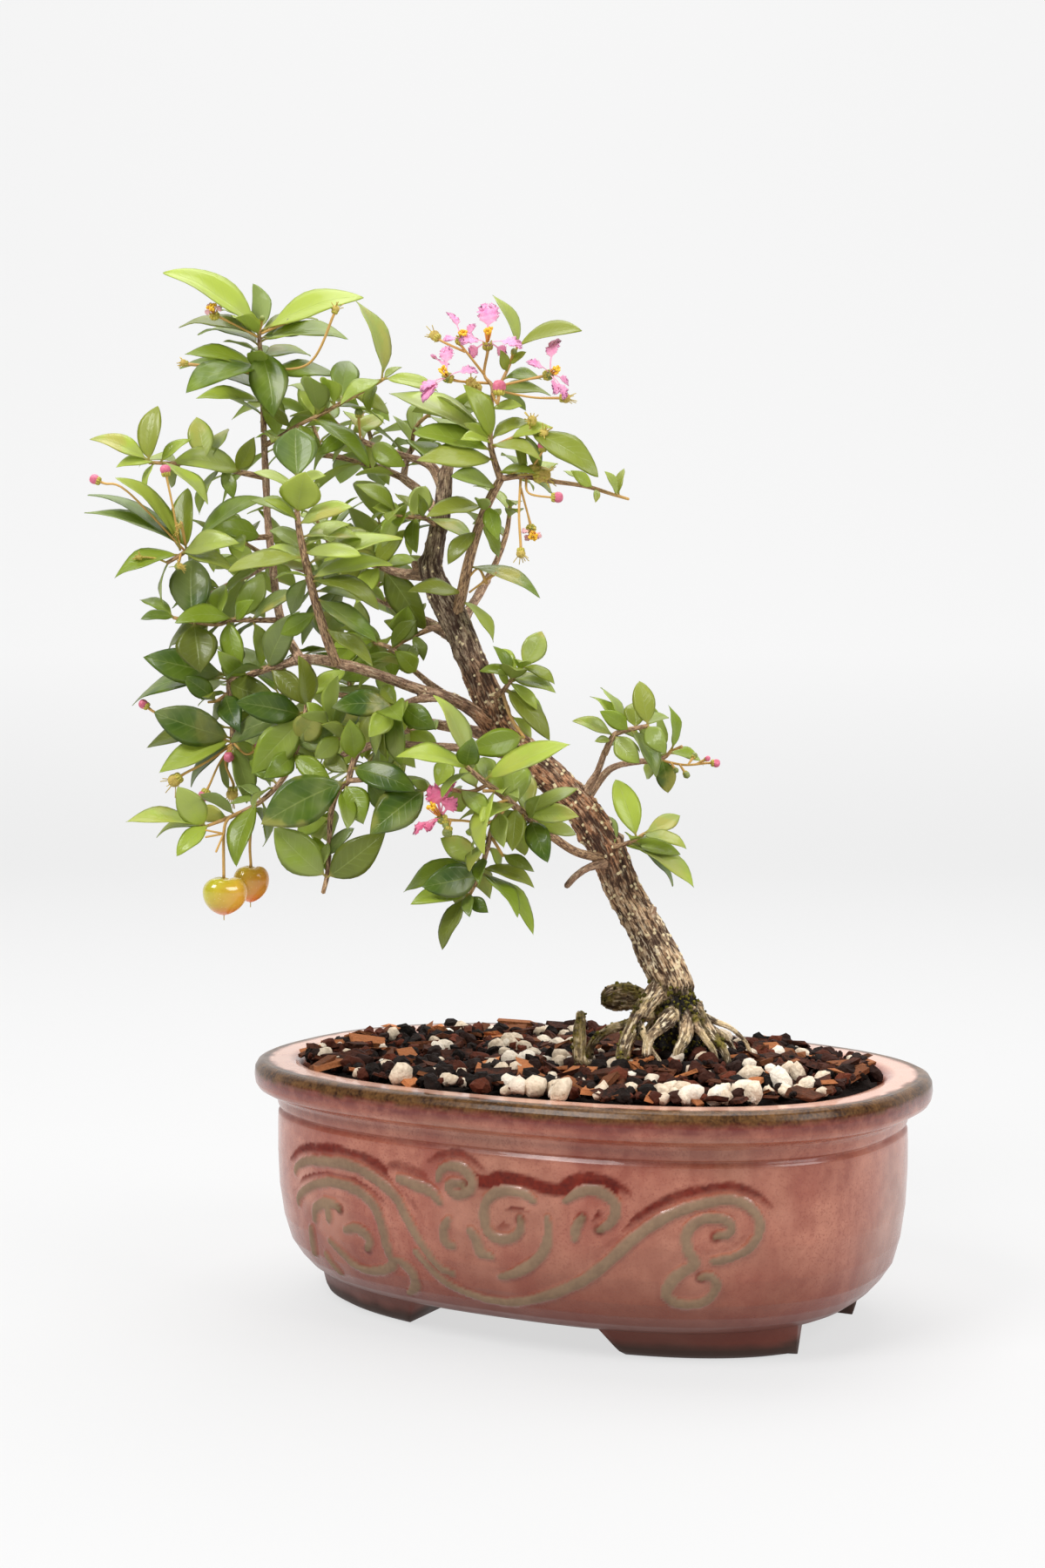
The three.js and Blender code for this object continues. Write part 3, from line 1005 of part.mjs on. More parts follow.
function petalSolid(petal, extra = 0) {
  const half = PETAL.thickness / 2 + extra;
  const corners = [[1, half], [-1, half], [-1, -half], [1, -half]];
  return loft(PETAL.rows.map((t) => corners.map(([side, lift]) => leafPoint(petal, t, side, lift)
    .addScaledVector(petal.across, side * extra))));
}

// The line from a bloom's calyx to its anthers, as a start and a unit vector
function bloomAxis({ base, anthers }) {
  const start = spot(...base);
  const reach = spot(...anthers).sub(start);
  return { start, along: reach.clone().normalize(), length: reach.length() };
}

function drum(start, along, from, to, radius, sides) {
  const ends = [from, to].map((distance) => start.clone().addScaledVector(along, distance));
  return taperTube(ends, [radius, radius], sides);
}

function petalsSolid(bloom, seats) {
  const { start, along } = bloomAxis(bloom);
  const petals = bloom.petals.map((row) => petalSolid(petalSeen(bloom, row)));
  const hub = drum(start, along, PETAL.hubFrom, PETAL.hubTo, 1.1, 8);
  return largestBody(Manifold.union([hub, ...petals]).subtract(seats));
}

function stamensSolid(bloom) {
  const { start, along, length } = bloomAxis(bloom);
  const foot = PETAL.hubTo + SEAT_GAP;
  const parts = [drum(start, along, foot, foot + 0.7, 0.8, 5)];
  const side = new Vector3(0.3, 0.9, 0.2).cross(along).normalize();
  const other = new Vector3().crossVectors(along, side);
  for (let i = 0; i < 5; i += 1) {
    const angle = i * 2.4;
    const out = 0.3 + 0.9 * Math.sqrt(i / 4);
    const rise = length - 0.5 * out;
    const at = (height, reach) => start.clone().addScaledVector(along, height)
      .addScaledVector(side, reach * Math.cos(angle)).addScaledVector(other, reach * Math.sin(angle));
    const places = [at(foot + 0.2, out * 0.3), at(rise - 0.6, out), at(rise + 0.2, out * 1.1)];
    parts.push(taperTube(places, [0.26, 0.6, 0.36], 3));
  }
  const petals = bloom.petals.map((row) => petalSolid(petalSeen(bloom, row), SEAT_GAP));
  return largestBody(Manifold.union(parts).subtract(Manifold.union(petals)));
}

// A three-lobed cherry hanging under its stalk: stations of height and girth as shares
function fruitSolid({ top, radius, height, turn }) {
  const crown = spot(...top);
  const stations = [
    [1.07, 0.04], [0.98, 0.1], [0.86, 0.58], [0.6, 0.93],
    [0.33, 1], [0.13, 0.88], [0, 0.58], [0.05, 0.14],
  ];
  const rings = stations.map(([down, girth]) => Array.from({ length: 12 }, (_, i) => {
    const angle = (2 * Math.PI * i) / 12;
    const lobe = 1 + FRUIT_LOBE * Math.cos(3 * (angle - turn)) * Math.min(1, girth * 1.4);
    return new Vector3(
      crown.x + radius * girth * lobe * Math.cos(angle), crown.y + radius * girth * lobe * Math.sin(angle),
      crown.z - height * down);
  }));
  return loft(rings);
}

// All the pieces, each a mesh with a material of its own

function meshOf(name, solid, colour, roughness) {
  const { vertProperties, triVerts } = solid.getMesh();
  const geometry = new THREE.BufferGeometry();
  geometry.setAttribute('position', new THREE.BufferAttribute(new Float32Array(vertProperties), 3));
  geometry.setIndex(new THREE.BufferAttribute(new Uint32Array(triVerts), 1));
  geometry.computeVertexNormals();
  const material = new THREE.MeshStandardMaterial({ color: colour, roughness, metalness: 0 });
  const mesh = new THREE.Mesh(geometry, material);
  mesh.name = name;
  return mesh;
}

const wood = woodOfAll();
const keepOut = ballsToAvoid();
const leaves = [];
setAllLeaves();

const tree = new THREE.Group();
tree.name = 'barbados_cherry_bonsai';
const woodSeat = trunkSolid(SEAT_GAP);
tree.add(meshOf('pot', potSolid(), 0xac766a, 0.25));
tree.add(meshOf('soil', soilSolid().subtract(woodSeat), 0x5b3a2b, 0.95));
tree.add(meshOf('trunk', trunkSolid(), 0x84644b, 0.85));

let seats = woodSeat;
Object.keys(SHOOTS).forEach((owner, i) => {
  tree.add(meshOf(owner, shootSolid(owner, seats), LEAF_TONES[i % LEAF_TONES.length], 0.5));
  seats = seats.add(Manifold.union(stemTubes(owner, SEAT_GAP)));
});
Object.entries(BLOOMS).forEach(([name, bloom]) => {
  tree.add(meshOf(`${name}_petals`, petalsSolid(bloom, seats), bloom.colour, 0.6));
  if (bloom.open) {
    tree.add(meshOf(`${name}_stamens`, stamensSolid(bloom), 0xe9b92f, 0.7));
  }
});
Object.entries(FRUITS).forEach(([name, fruit]) => {
  tree.add(meshOf(name, fruitSolid(fruit), fruit.colour, 0.25));
});

// The origin goes to the middle of the underside of the whole
const box = new THREE.Box3().setFromObject(tree);
const shift = new Vector3(-(box.min.x + box.max.x) / 2, -(box.min.y + box.max.y) / 2, -box.min.z);
tree.children.forEach((mesh) => mesh.geometry.translate(shift.x, shift.y, shift.z));

export default tree;
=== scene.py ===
# %% [markdown]
# # A barbados cherry bonsai in an oval pot
# The real object is a small tree, a Malpighia, with bare roots over coarse soil, in a
# glazed stoneware pot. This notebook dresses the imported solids: it loads them as a fixed
# frame and then lays finer surfaces over them. Everything is in metres in that frame.

# %% Load the frame
import math
import bpy
import numpy as np
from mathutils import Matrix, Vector


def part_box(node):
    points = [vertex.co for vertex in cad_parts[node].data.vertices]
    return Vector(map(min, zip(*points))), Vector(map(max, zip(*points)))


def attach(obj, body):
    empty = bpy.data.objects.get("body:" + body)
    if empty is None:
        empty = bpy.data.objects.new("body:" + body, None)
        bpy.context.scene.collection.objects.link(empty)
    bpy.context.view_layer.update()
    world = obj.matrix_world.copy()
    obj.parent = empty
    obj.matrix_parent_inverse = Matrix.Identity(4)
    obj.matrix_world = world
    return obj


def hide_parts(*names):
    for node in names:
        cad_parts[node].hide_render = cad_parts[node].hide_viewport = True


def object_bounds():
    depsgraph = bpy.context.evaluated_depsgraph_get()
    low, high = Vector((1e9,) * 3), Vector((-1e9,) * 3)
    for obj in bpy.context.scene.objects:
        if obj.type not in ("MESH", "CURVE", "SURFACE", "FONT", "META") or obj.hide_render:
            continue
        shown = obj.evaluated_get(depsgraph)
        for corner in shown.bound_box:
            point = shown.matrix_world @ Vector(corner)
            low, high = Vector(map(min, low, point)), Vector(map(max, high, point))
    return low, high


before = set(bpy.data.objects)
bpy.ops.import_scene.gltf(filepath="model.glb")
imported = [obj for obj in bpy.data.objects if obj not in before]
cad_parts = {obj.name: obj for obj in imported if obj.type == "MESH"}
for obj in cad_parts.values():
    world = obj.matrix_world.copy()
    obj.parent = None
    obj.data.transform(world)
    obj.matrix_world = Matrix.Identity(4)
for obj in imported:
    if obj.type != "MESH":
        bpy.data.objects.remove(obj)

cad_box = [list(corner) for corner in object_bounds()]
pot_low, pot_high = (np.array(corner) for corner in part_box("pot"))
CENTRE = np.array([*(pot_low + pot_high)[:2] / 2, pot_low[2]])
BOX_LOW, BOX_HIGH = np.array(cad_box[0]) + 1e-6, np.array(cad_box[1]) - 1e-6
print("solids' box", np.round(cad_box, 4).tolist(), "middle of the pot", np.round(CENTRE, 4).tolist())

# %% [markdown]
# ## Reading places off a photograph
# A place on the tree is written as the photograph's pixel and a depth in millimetres in
# front of the upright plane through the trunk's foot. The camera of the photograph was
# fitted to the pot's rim and feet, so a ray through the pixel meets that plane at one place.
# The same camera serves for the render.

# %% The photograph's camera
FOCAL = 2553
PHOTO_HEIGHT = 1800
MIDDLE_X, MIDDLE_Y = 600, 900
EYE_AWAY, EYE_HEIGHT = 654.23, 175.17
TRUNK_FOOT = np.array([33.0, 0.0, 0.0])
YAW, LOOK_YAW, PITCH = 0.4557, 0.4844, -0.0336
PIXELS_PER_MM = 3.9
EYE = np.array([EYE_AWAY * math.sin(YAW), -EYE_AWAY * math.cos(YAW), EYE_HEIGHT])
LOOK = np.array([
    -math.sin(LOOK_YAW) * math.cos(PITCH), math.cos(LOOK_YAW) * math.cos(PITCH), math.sin(PITCH)])
RIGHT = np.array([math.cos(LOOK_YAW), math.sin(LOOK_YAW), 0.0])
ABOVE = np.cross(RIGHT, LOOK)
TOWARDS = np.array([math.sin(LOOK_YAW), -math.cos(LOOK_YAW), 0.0])


def spot(px, py, depth):
    """The place in millimetres where the ray through a pixel crosses the upright plane at a depth:
    eye + ray * (depth still to go) / (what one ray covers of it)."""
    px, py, depth = np.broadcast_arrays(np.asarray(px, float), py, depth)
    ray = LOOK + np.multiply.outer((px - MIDDLE_X) / FOCAL, RIGHT)
    ray = ray - np.multiply.outer((py - MIDDLE_Y) / FOCAL, ABOVE)
    reach = ((TRUNK_FOOT - EYE) @ TOWARDS + depth) / (ray @ TOWARDS)
    return EYE + ray * reach[..., None]


def pixel(place):
    """The photograph's pixel of places: the offset from the eye, divided by its distance ahead."""
    offset = np.asarray(place) - EYE
    ahead = offset @ LOOK
    seen = FOCAL * (offset @ RIGHT) / ahead, FOCAL * (offset @ ABOVE) / ahead
    return np.stack([MIDDLE_X + seen[0], MIDDLE_Y - seen[1]], -1)


def unit(vectors):
    """Vectors divided by their lengths."""
    vectors = np.asarray(vectors, float)
    return vectors / np.maximum(np.linalg.norm(vectors, axis=-1, keepdims=True), 1e-12)


print("the eye stands", np.round(EYE).tolist(), "mm from the middle of the pot")

# %% [markdown]
# ## Helpers for meshes
# Each piece is one array of places in millimetres and one of faces. A closed tube grid is
# the form used most: rings of points along a path, with a pole at each end.

# %% Mesh helpers
def linked(name, data):
    """A new object that holds the data, put into the scene."""
    made = bpy.data.objects.new(name, data)
    bpy.context.scene.collection.objects.link(made)
    return made


def piece(name, places, faces, material, slot, replaces=(), uv=None, marks=None, flat=False):
    """A mesh object in metres from places in millimetres, kept inside the solids' box, with an
    optional UV map and point values."""
    mesh = bpy.data.meshes.new(name)
    places = np.clip(np.asarray(places, float) / 1000 + CENTRE, BOX_LOW, BOX_HIGH)
    faces = np.asarray(faces)
    mesh.vertices.add(len(places))
    mesh.vertices.foreach_set("co", places.astype(np.float32).ravel())
    sizes = np.where(faces[:, 3] < 0, 3, 4) if faces.shape[1] == 4 else np.full(len(faces), 3)
    loops = faces.ravel()
    loops = loops[loops >= 0].astype(np.int32)
    mesh.loops.add(len(loops))
    mesh.loops.foreach_set("vertex_index", loops)
    mesh.polygons.add(len(faces))
    starts = np.concatenate([[0], np.cumsum(sizes)[:-1]])
    mesh.polygons.foreach_set("loop_start", starts.astype(np.int32))
    if uv is not None:
        layer = mesh.uv_layers.new(name="UVMap")
        layer.data.foreach_set("uv", np.asarray(uv, np.float32)[loops].ravel())
    for mark, values in (marks or {}).items():
        values = np.asarray(values, np.float32)
        kind = "FLOAT" if values.ndim == 1 else "FLOAT_VECTOR"
        attribute = mesh.attributes.new(mark, kind, "POINT")
        attribute.data.foreach_set("value" if kind == "FLOAT" else "vector", values.ravel())
    mesh.update(calc_edges=True)
    mesh.validate()
    mesh.polygons.foreach_set("use_smooth", np.full(len(mesh.polygons), not flat))
    mesh.materials.append(material)
    made = linked(name, mesh)
    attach(made, "root")
    if replaces:
        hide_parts(*replaces)
    return made


def tube_faces(rings, around):
    """Faces of a grid of rings with a pole before the first and after the last: quads and two fans."""
    i = np.arange(around)
    j = (i + 1) % around
    first = 1 + np.arange(rings - 1)[:, None] * around
    quads = np.stack([first + i, first + j, first + around + j, first + around + i], -1).reshape(-1, 4)
    last = 1 + (rings - 1) * around
    start = np.stack([np.zeros(around, int), 1 + j, 1 + i, np.full(around, -1)], -1)
    end = np.stack([np.full(around, last + around), last + i, last + j, np.full(around, -1)], -1)
    return np.concatenate([start, quads, end])


def gather(parts):
    """Joins (places, faces, values...) tuples into one, with the faces counted on."""
    count = 0
    columns = [[] for _ in parts[0]]
    for part in parts:
        for column, values in zip(columns, part):
            column.append(values)
        columns[1][-1] = np.where(part[1] < 0, -1, part[1] + count)
        count += len(part[0])
    return [np.concatenate(column) for column in columns]


def smooth_path(rows, step):
    """A Catmull-Rom curve through rows, cut into pieces of about one step: each stretch is a cubic
    whose slopes at the ends are half the difference between the neighbouring rows."""
    rows = np.asarray(rows, float)
    ghost = np.vstack([2 * rows[0] - rows[1], rows, 2 * rows[-1] - rows[-2]])
    out = []
    for k in range(len(rows) - 1):
        a, b, c, d = ghost[k:k + 4]
        count = max(1, int(np.ceil(np.linalg.norm(c[:3] - b[:3]) / step)))
        t = (np.arange(count) / count)[:, None]
        cubic = b + 0.5 * t * (c - a + t * (2 * a - 5 * b + 4 * c - d + t * (3 * (b - c) + d - a)))
        cubic[:, 3] = (b + (c - b) * t)[:, 3]
        out.append(cubic)
    return np.vstack(out + [rows[-1:]])


def wood_rows(rows):
    """Table rows as x, y, z and radius in millimetres."""
    rows = np.array(rows, float)
    return np.column_stack([spot(rows[:, 0], rows[:, 1], rows[:, 2]), rows[:, 3]])


def carried_frame(path):
    """A side and an across vector at each place, carried along the path without twist."""
    along = unit(np.gradient(path, axis=0))
    side = unit(np.cross([0.31, 0.2, 0.93], along[0]))
    sides = np.empty_like(along)
    for k, direction in enumerate(along):
        side = unit(side - direction * (side @ direction))
        sides[k] = side
    return along, sides, np.cross(along, sides)


def circle(side, other, count):
    """Directions round each place of a path: cos(a) * side + sin(a) * other at count even turns."""
    turn = 2 * np.pi * np.arange(count) / count
    return np.cos(turn)[None, :, None] * side[:, None] + np.sin(turn)[None, :, None] * other[:, None]


def tube(rows, step, around, tip=0.6):
    """A round tube through rows: rings of radius r at each cut, poles at its ends. Also gives how far
    along (mm) and how far round (0 to 1) each vertex lies, and its radius."""
    cuts = smooth_path(rows, step)
    path, radius = cuts[:, :3], cuts[:, 3]
    along, side, other = carried_frame(path)
    grid = path[:, None] + circle(side, other, around) * radius[:, None, None]
    start = path[0] - along[0] * radius[0] * 0.3
    end = path[-1] + along[-1] * radius[-1] * tip
    places = np.vstack([start, grid.reshape(-1, 3), end])
    length = np.concatenate([[0], np.cumsum(np.linalg.norm(np.diff(path, axis=0), axis=1))])
    how_far = np.concatenate([[0], np.repeat(length, around), [length[-1]]])
    how_round = np.concatenate([[0], np.tile(np.arange(around) / around, len(path)), [0]])
    thick = np.concatenate([[radius[0]], np.repeat(radius, around), [radius[-1]]])
    return places, tube_faces(len(path), around), how_far, how_round, thick


def grain_place(angle, thick, far):
    """Where bark lies on its wood, in metres: two parts for the round, and a fifth of the way along."""
    return np.column_stack([np.cos(angle) * thick, np.sin(angle) * thick, far / 5]) / 1000


def stamped(shapes, form_faces):
    """Copies of one form as one mesh: every copy has the form's faces, counted on by its points."""
    step = np.arange(len(shapes))[:, None, None] * shapes.shape[1]
    faces = np.where(form_faces[None] < 0, -1, form_faces[None] + step)
    return shapes.reshape(-1, 3), faces.reshape(-1, 4)


def lattice_noise(places, seed):
    """Smooth noise from -1 to 1: random numbers on a cube lattice, blended with a smoothstep curve."""
    cell = np.floor(places).astype(np.int64)
    part = places - cell
    part = part * part * (3 - 2 * part)
    total = 0
    for corner in range(8):
        shift = np.array([corner & 1, corner >> 1 & 1, corner >> 2 & 1])
        n = (cell + shift) @ np.array([73856093, 19349663, 83492791]) + seed * 9973
        n = (n ^ (n >> 13)) * 1274126177 & 0xFFFFFFFF
        n = (n ^ (n >> 16)) * 2246822519 & 0xFFFFFFFF
        weight = np.prod(np.where(shift, part, 1 - part), axis=-1)
        total = total + weight * ((n >> 8 & 0xFFFF) / 32767.5 - 1)
    return total


print("helpers for", len(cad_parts), "solids are ready")

# %% [markdown]
# ## Shader helpers
# A material is a tree of nodes. Nodes adds and links them with short calls, and Finish is
# one material under construction. Every finish but the pale ground's mixes noise into its colour at more
# than one scale. The mottled colour is one node group with named inputs, made once and placed in most
# materials with values of their own.

# %% Short words for building materials
class Nodes:
    """A node tree under construction."""

    def __init__(self, tree):
        """Takes on a tree that exists."""
        self.tree = tree

    def add(self, kind, **settings):
        """A new node with its settings."""
        node = self.tree.nodes.new(kind)
        for key, value in settings.items():
            setattr(node, key, value)
        return node

    def feed(self, socket, value):
        """Links a value that comes from another node, and sets one that is a constant."""
        if isinstance(value, bpy.types.NodeSocket):
            self.tree.links.new(value, socket)
        else:
            socket.default_value = value

    def put(self, node, **inputs):
        """Feeds a node's inputs by name, with _ for a space."""
        for key, value in inputs.items():
            self.feed(node.inputs[key.replace("_", " ")], value)
        return node

    def math(self, operation, a, b=0.0):
        """One sum of two values."""
        node = self.add("ShaderNodeMath", operation=operation)
        self.feed(node.inputs[0], a)
        self.feed(node.inputs[1], b)
        return node.outputs[0]

    def mix(self, factor, a, b):
        """a * (1 - factor) + b * factor, for colours."""
        node = self.add("ShaderNodeMix", data_type="RGBA")
        for socket, value in zip((node.inputs[0], node.inputs[6], node.inputs[7]), (factor, a, b)):
            self.feed(socket, value)
        return node.outputs[2]


def new_group(name, inputs, outputs):
    """A node group with its sockets: the nodes under construction, its inputs and its outputs."""
    group = Nodes(bpy.data.node_groups.new(name, "ShaderNodeTree"))
    for label, kind, value in inputs:
        socket = group.tree.interface.new_socket(label, in_out="INPUT", socket_type="NodeSocket" + kind)
        if value is not None:
            socket.default_value = value
    for label, kind in outputs:
        group.tree.interface.new_socket(label, in_out="OUTPUT", socket_type="NodeSocket" + kind)
    return group, group.add("NodeGroupInput").outputs, group.add("NodeGroupOutput").inputs


# %% A node group for mottled colour
def mottle_group():
    """Two colours mixed by m = (broad * (1 - share) + fine * share - 0.36) / 0.28, of two noises. Gives
    the colour, and m as a mask."""
    group, given, result = new_group("mottled colour", (
        ("Colour A", "Color", (1, 1, 1, 1)), ("Colour B", "Color", (0, 0, 0, 1)),
        ("Broad Scale", "Float", 60), ("Fine Scale", "Float", 400), ("Fine Share", "Float", 0.4),
        ("Vector", "Vector", (0, 0, 0))), (("Colour", "Color"), ("Mask", "Float")))
    blend = group.add("ShaderNodeMix")
    group.feed(blend.inputs[0], given["Fine Share"])
    for socket, scale, detail in ((2, "Broad Scale", 3), (3, "Fine Scale", 4)):
        noise = group.add("ShaderNodeTexNoise")
        group.put(noise, Vector=given["Vector"], Scale=given[scale], Detail=detail)
        group.feed(blend.inputs[socket], noise.outputs["Fac"])
    stretch = group.put(group.add("ShaderNodeMapRange"), Value=blend.outputs[0], From_Min=0.36, From_Max=0.64)
    mask = stretch.outputs["Result"]
    group.feed(result["Colour"], group.mix(mask, given["Colour A"], given["Colour B"]))
    group.feed(result["Mask"], mask)
    return group.tree


MOTTLE = mottle_group()
print("made the group", MOTTLE.name)


# %% A material under construction
class Finish(Nodes):
    """A material with a Principled shader, whose nodes read places in the object's own metres."""

    def __init__(self, name, roughness, coat=0.0):
        """A new material with its shader and the object's own coordinates."""
        self.material = bpy.data.materials.new(name)
        self.material.use_nodes = True
        super().__init__(self.material.node_tree)
        self.shader = self.tree.nodes["Principled BSDF"]
        self.put(self.shader, Roughness=roughness, Coat_Weight=coat)
        self.place = self.add("ShaderNodeTexCoord").outputs["Object"]

    def colour(self, value):
        """Feeds the shader's colour."""
        self.feed(self.shader.inputs["Base Color"], value)

    def height(self):
        """How high a place lies, in metres."""
        return self.put(self.add("ShaderNodeSeparateXYZ"), Vector=self.place).outputs[2]

    def mark(self, name, output="Fac"):
        """A value that the mesh carries at its points."""
        return self.add("ShaderNodeAttribute", attribute_name=name).outputs[output]

    def noise(self, scale, detail=3, vector=None):
        """Cloudy noise from 0 to 1."""
        node = self.add("ShaderNodeTexNoise")
        return self.put(node, Vector=vector or self.place, Scale=scale, Detail=detail).outputs["Fac"]

    def mottle(self, a, b, broad, fine, share=0.4, vector=None):
        """The mottled colour and its mask."""
        node = self.add("ShaderNodeGroup", node_tree=MOTTLE)
        self.put(node, Colour_A=a, Colour_B=b, Broad_Scale=broad, Fine_Scale=fine, Fine_Share=share,
                 Vector=vector or self.place)
        return node.outputs["Colour"], node.outputs["Mask"]

    def ramp(self, value, low, high, to_low=0.0, to_high=1.0):
        """A smooth step from one value to another between low and high."""
        node = self.add("ShaderNodeMapRange", interpolation_type="SMOOTHSTEP")
        self.put(node, Value=value, From_Min=low, From_Max=high, To_Min=to_low, To_Max=to_high)
        return node.outputs["Result"]

    def patchy(self, mark, scale, detail, low, high, least, most=1.0):
        """A mark that noise breaks up: mark * ramp(noise)."""
        return self.math("MULTIPLY", mark, self.ramp(self.noise(scale, detail), low, high, least, most))

    def bump(self, height, strength, distance):
        """Small relief on the surface."""
        node = self.put(self.add("ShaderNodeBump"), Height=height, Strength=strength, Distance=distance)
        self.feed(self.shader.inputs["Normal"], node.outputs["Normal"])

    def let_light_through(self, colour, share):
        """Mixes a share of a translucent surface into the shader, as leaves and petals have."""
        glow = self.put(self.add("ShaderNodeBsdfTranslucent"), Color=colour)
        both = self.add("ShaderNodeMixShader")
        for socket, value in zip(both.inputs, (share, self.shader.outputs[0], glow.outputs[0])):
            self.feed(socket, value)
        self.feed(self.tree.nodes["Material Output"].inputs["Surface"], both.outputs[0])


def rgb(red, green, blue):
    """A screen colour from 0 to 255 as the linear light that nodes work in."""
    share = np.array([red, green, blue]) / 255
    linear = np.where(share <= 0.04045, share / 12.92, ((share + 0.055) / 1.055) ** 2.4)
    return (*linear.tolist(), 1.0)


print("a mid grey is", np.round(rgb(128, 128, 128), 3).tolist())

# %% [markdown]
# ## The pot's glaze
# The real pot is dusty rose-brown and glossy. The glaze ran thin and olive over the raised
# scrolls and pooled dark maroon above each of them and under the rim. The mesh carries two
# point values, how far the relief stands up and how deep the glaze pools, and the material
# only turns them into colour.

# %% Glaze
def glaze_finish():
    """Rose clay tones with runs, specks and patches; then, one over the other, painted shade at the foot of
    the wall, the rim, its pale top, pooled glaze, the scrolls, the lip and bare clay."""
    f = Finish("rose glaze", 0.22, coat=0.35)
    base, mask = f.mottle(rgb(184, 116, 92), rgb(146, 74, 54), 34, 260, 0.45)
    runs = f.put(f.add("ShaderNodeMapping"), Vector=f.place, Scale=(1.0, 1.0, 0.22))
    base = f.mix(f.ramp(f.noise(120, 4, runs.outputs[0]), 0.46, 0.68, 0.0, 0.6), base, rgb(142, 62, 44))
    for scale, detail, start, end, share, tone in (
            (1500, 4, 0.52, 0.64, 0.5, rgb(132, 54, 38)), (22, 2, 0.48, 0.68, 0.4, rgb(150, 104, 80)),
            (40, 4, 0.54, 0.7, 0.4, rgb(204, 140, 116))):
        base = f.mix(f.ramp(f.noise(scale, detail), start, end, 0.0, share), base, tone)
    # Painted shade: the wall's colour darkens towards its foot.
    painted_foot_shade = f.ramp(f.height(), 0.006, 0.036, 0.85, 0.0)
    base = f.mix(painted_foot_shade, base, rgb(100, 36, 22))
    base = f.mix(f.patchy(f.mark("rim"), 300, 3, 0.35, 0.6, 0.65), base, rgb(104, 32, 20))
    base = f.mix(f.math("MULTIPLY", f.mark("top"), 0.8), base, rgb(220, 174, 152))
    base = f.mix(f.mark("pool"), base, f.mottle(rgb(116, 30, 14), rgb(78, 12, 6), 200, 900, 0.5)[0])
    scroll, _ = f.mottle(rgb(138, 114, 88), rgb(116, 94, 72), 90, 700, 0.4)
    base = f.mix(f.math("MULTIPLY", f.mark("raised"), 0.92), base, scroll)
    base = f.mix(f.mark("lip"), base, f.mottle(rgb(112, 78, 44), rgb(48, 28, 16), 220, 1200, 0.5)[0])
    f.colour(f.mix(f.mark("bare"), base, rgb(58, 38, 30)))
    rough = f.math("ADD", f.math("MULTIPLY", f.mark("bare"), 0.5), f.math("MULTIPLY", mask, 0.1))
    worked = f.math("MAXIMUM", f.mark("raised"), f.mark("pool"))
    rough = f.math("ADD", rough, f.math("MULTIPLY", worked, 0.42))
    deep = f.math("MAXIMUM", f.mark("pool"), painted_foot_shade)
    dull = f.math("MAXIMUM", f.math("MAXIMUM", f.mark("raised"), f.mark("lip")), deep)
    shine = f.math("SUBTRACT", 0.5, f.math("MULTIPLY", f.math("MAXIMUM", f.mark("lip"), deep), 0.3))
    f.put(f.shader, Roughness=f.math("ADD", rough, 0.2), Specular_IOR_Level=shine,
          Coat_Weight=f.math("MULTIPLY", f.math("SUBTRACT", 1.0, dull), 0.35))
    f.bump(f.noise(420, 3), 0.15, 0.0003)
    return f.material


GLAZE = glaze_finish()
print("made", GLAZE.name)

# %% [markdown]
# ## The pot
# The real pot was slip cast: an oval wall, a rolled rim with a thin groove under it, and
# four low feet. In numpy it is one grid, a superellipse round the pot by a profile over the
# wall. The scroll ornament was raised by hand, so each line of it is pushed out of the wall
# by its distance to a curve. The feet are made as separate closed grids of the same ovals.

# %% The oval and the wall's profile
ROUNDNESS = 2.44
WALL = np.array([
    (8.0, 62, 36), (8.0, 80, 53.5), (9, 82.2, 55.8), (11, 85, 58.5), (14, 87.7, 61), (18, 90.4, 63.2),
    (25, 92.4, 65.2), (34, 93.8, 66.4), (44, 94.2, 66.9), (52, 94.2, 66.9), (55.4, 94.1, 66.8),
    (56.2, 93.6, 66.3), (56.8, 93.3, 66.0), (57.4, 93.9, 66.6), (58.2, 94.2, 66.9), (60.2, 94.5, 67.1),
    (61.4, 95.6, 68.0), (62.2, 98.2, 70.4), (63.2, 99.9, 72.0), (64.6, 100.7, 72.8), (66.6, 101, 73),
    (69.0, 100.8, 72.8), (70.4, 100, 72), (71, 98.6, 70.6), (71, 91, 63), (70.6, 89, 61),
    (69.5, 87.6, 59.6), (66, 87.2, 59.3), (40, 86, 58.4)])
RELIEF_FROM, RIM_FROM, RIM_TOP = 18, 76, -5


def oval(angle, half_length, half_width):
    """A superellipse: x = a cos^p, y = b sin^p, with the signs kept and p = 2 over the roundness."""
    c, s = np.cos(angle), np.sin(angle)
    power = 2 / ROUNDNESS
    return half_length * np.sign(c) * np.abs(c) ** power, half_width * np.sign(s) * np.abs(s) ** power


def even_angles(count):
    """Angles that cut the oval into stretches of even length."""
    fine = np.linspace(0, 2 * np.pi, 8001)
    x, y = oval(fine, 94, 66.8)
    length = np.concatenate([[0], np.cumsum(np.hypot(np.diff(x), np.diff(y)))])
    return np.interp(np.arange(count) / count * length[-1], length, fine)


def wall_profile(step):
    """The wall's stations cut into even steps along the profile, straight between them, and 1.6 times as
    long over the rim, where nothing is raised."""
    length = np.concatenate([[0], np.cumsum(np.hypot(np.diff(WALL[:, 0]), np.diff(WALL[:, 1])))])
    relief, rim = np.arange(RELIEF_FROM, RIM_FROM, step), np.arange(RIM_FROM, length[RIM_TOP], 1.6 * step)
    cuts = np.unique(np.concatenate([relief, rim, length]))
    return np.column_stack([np.interp(cuts, length, WALL[:, k]) for k in range(3)])


profile = wall_profile(0.7)
OUTER_ROWS = int(np.argmax(profile[:, 0] > 70.99))
around = even_angles(720)
print("wall grid", len(profile), "by", len(around))

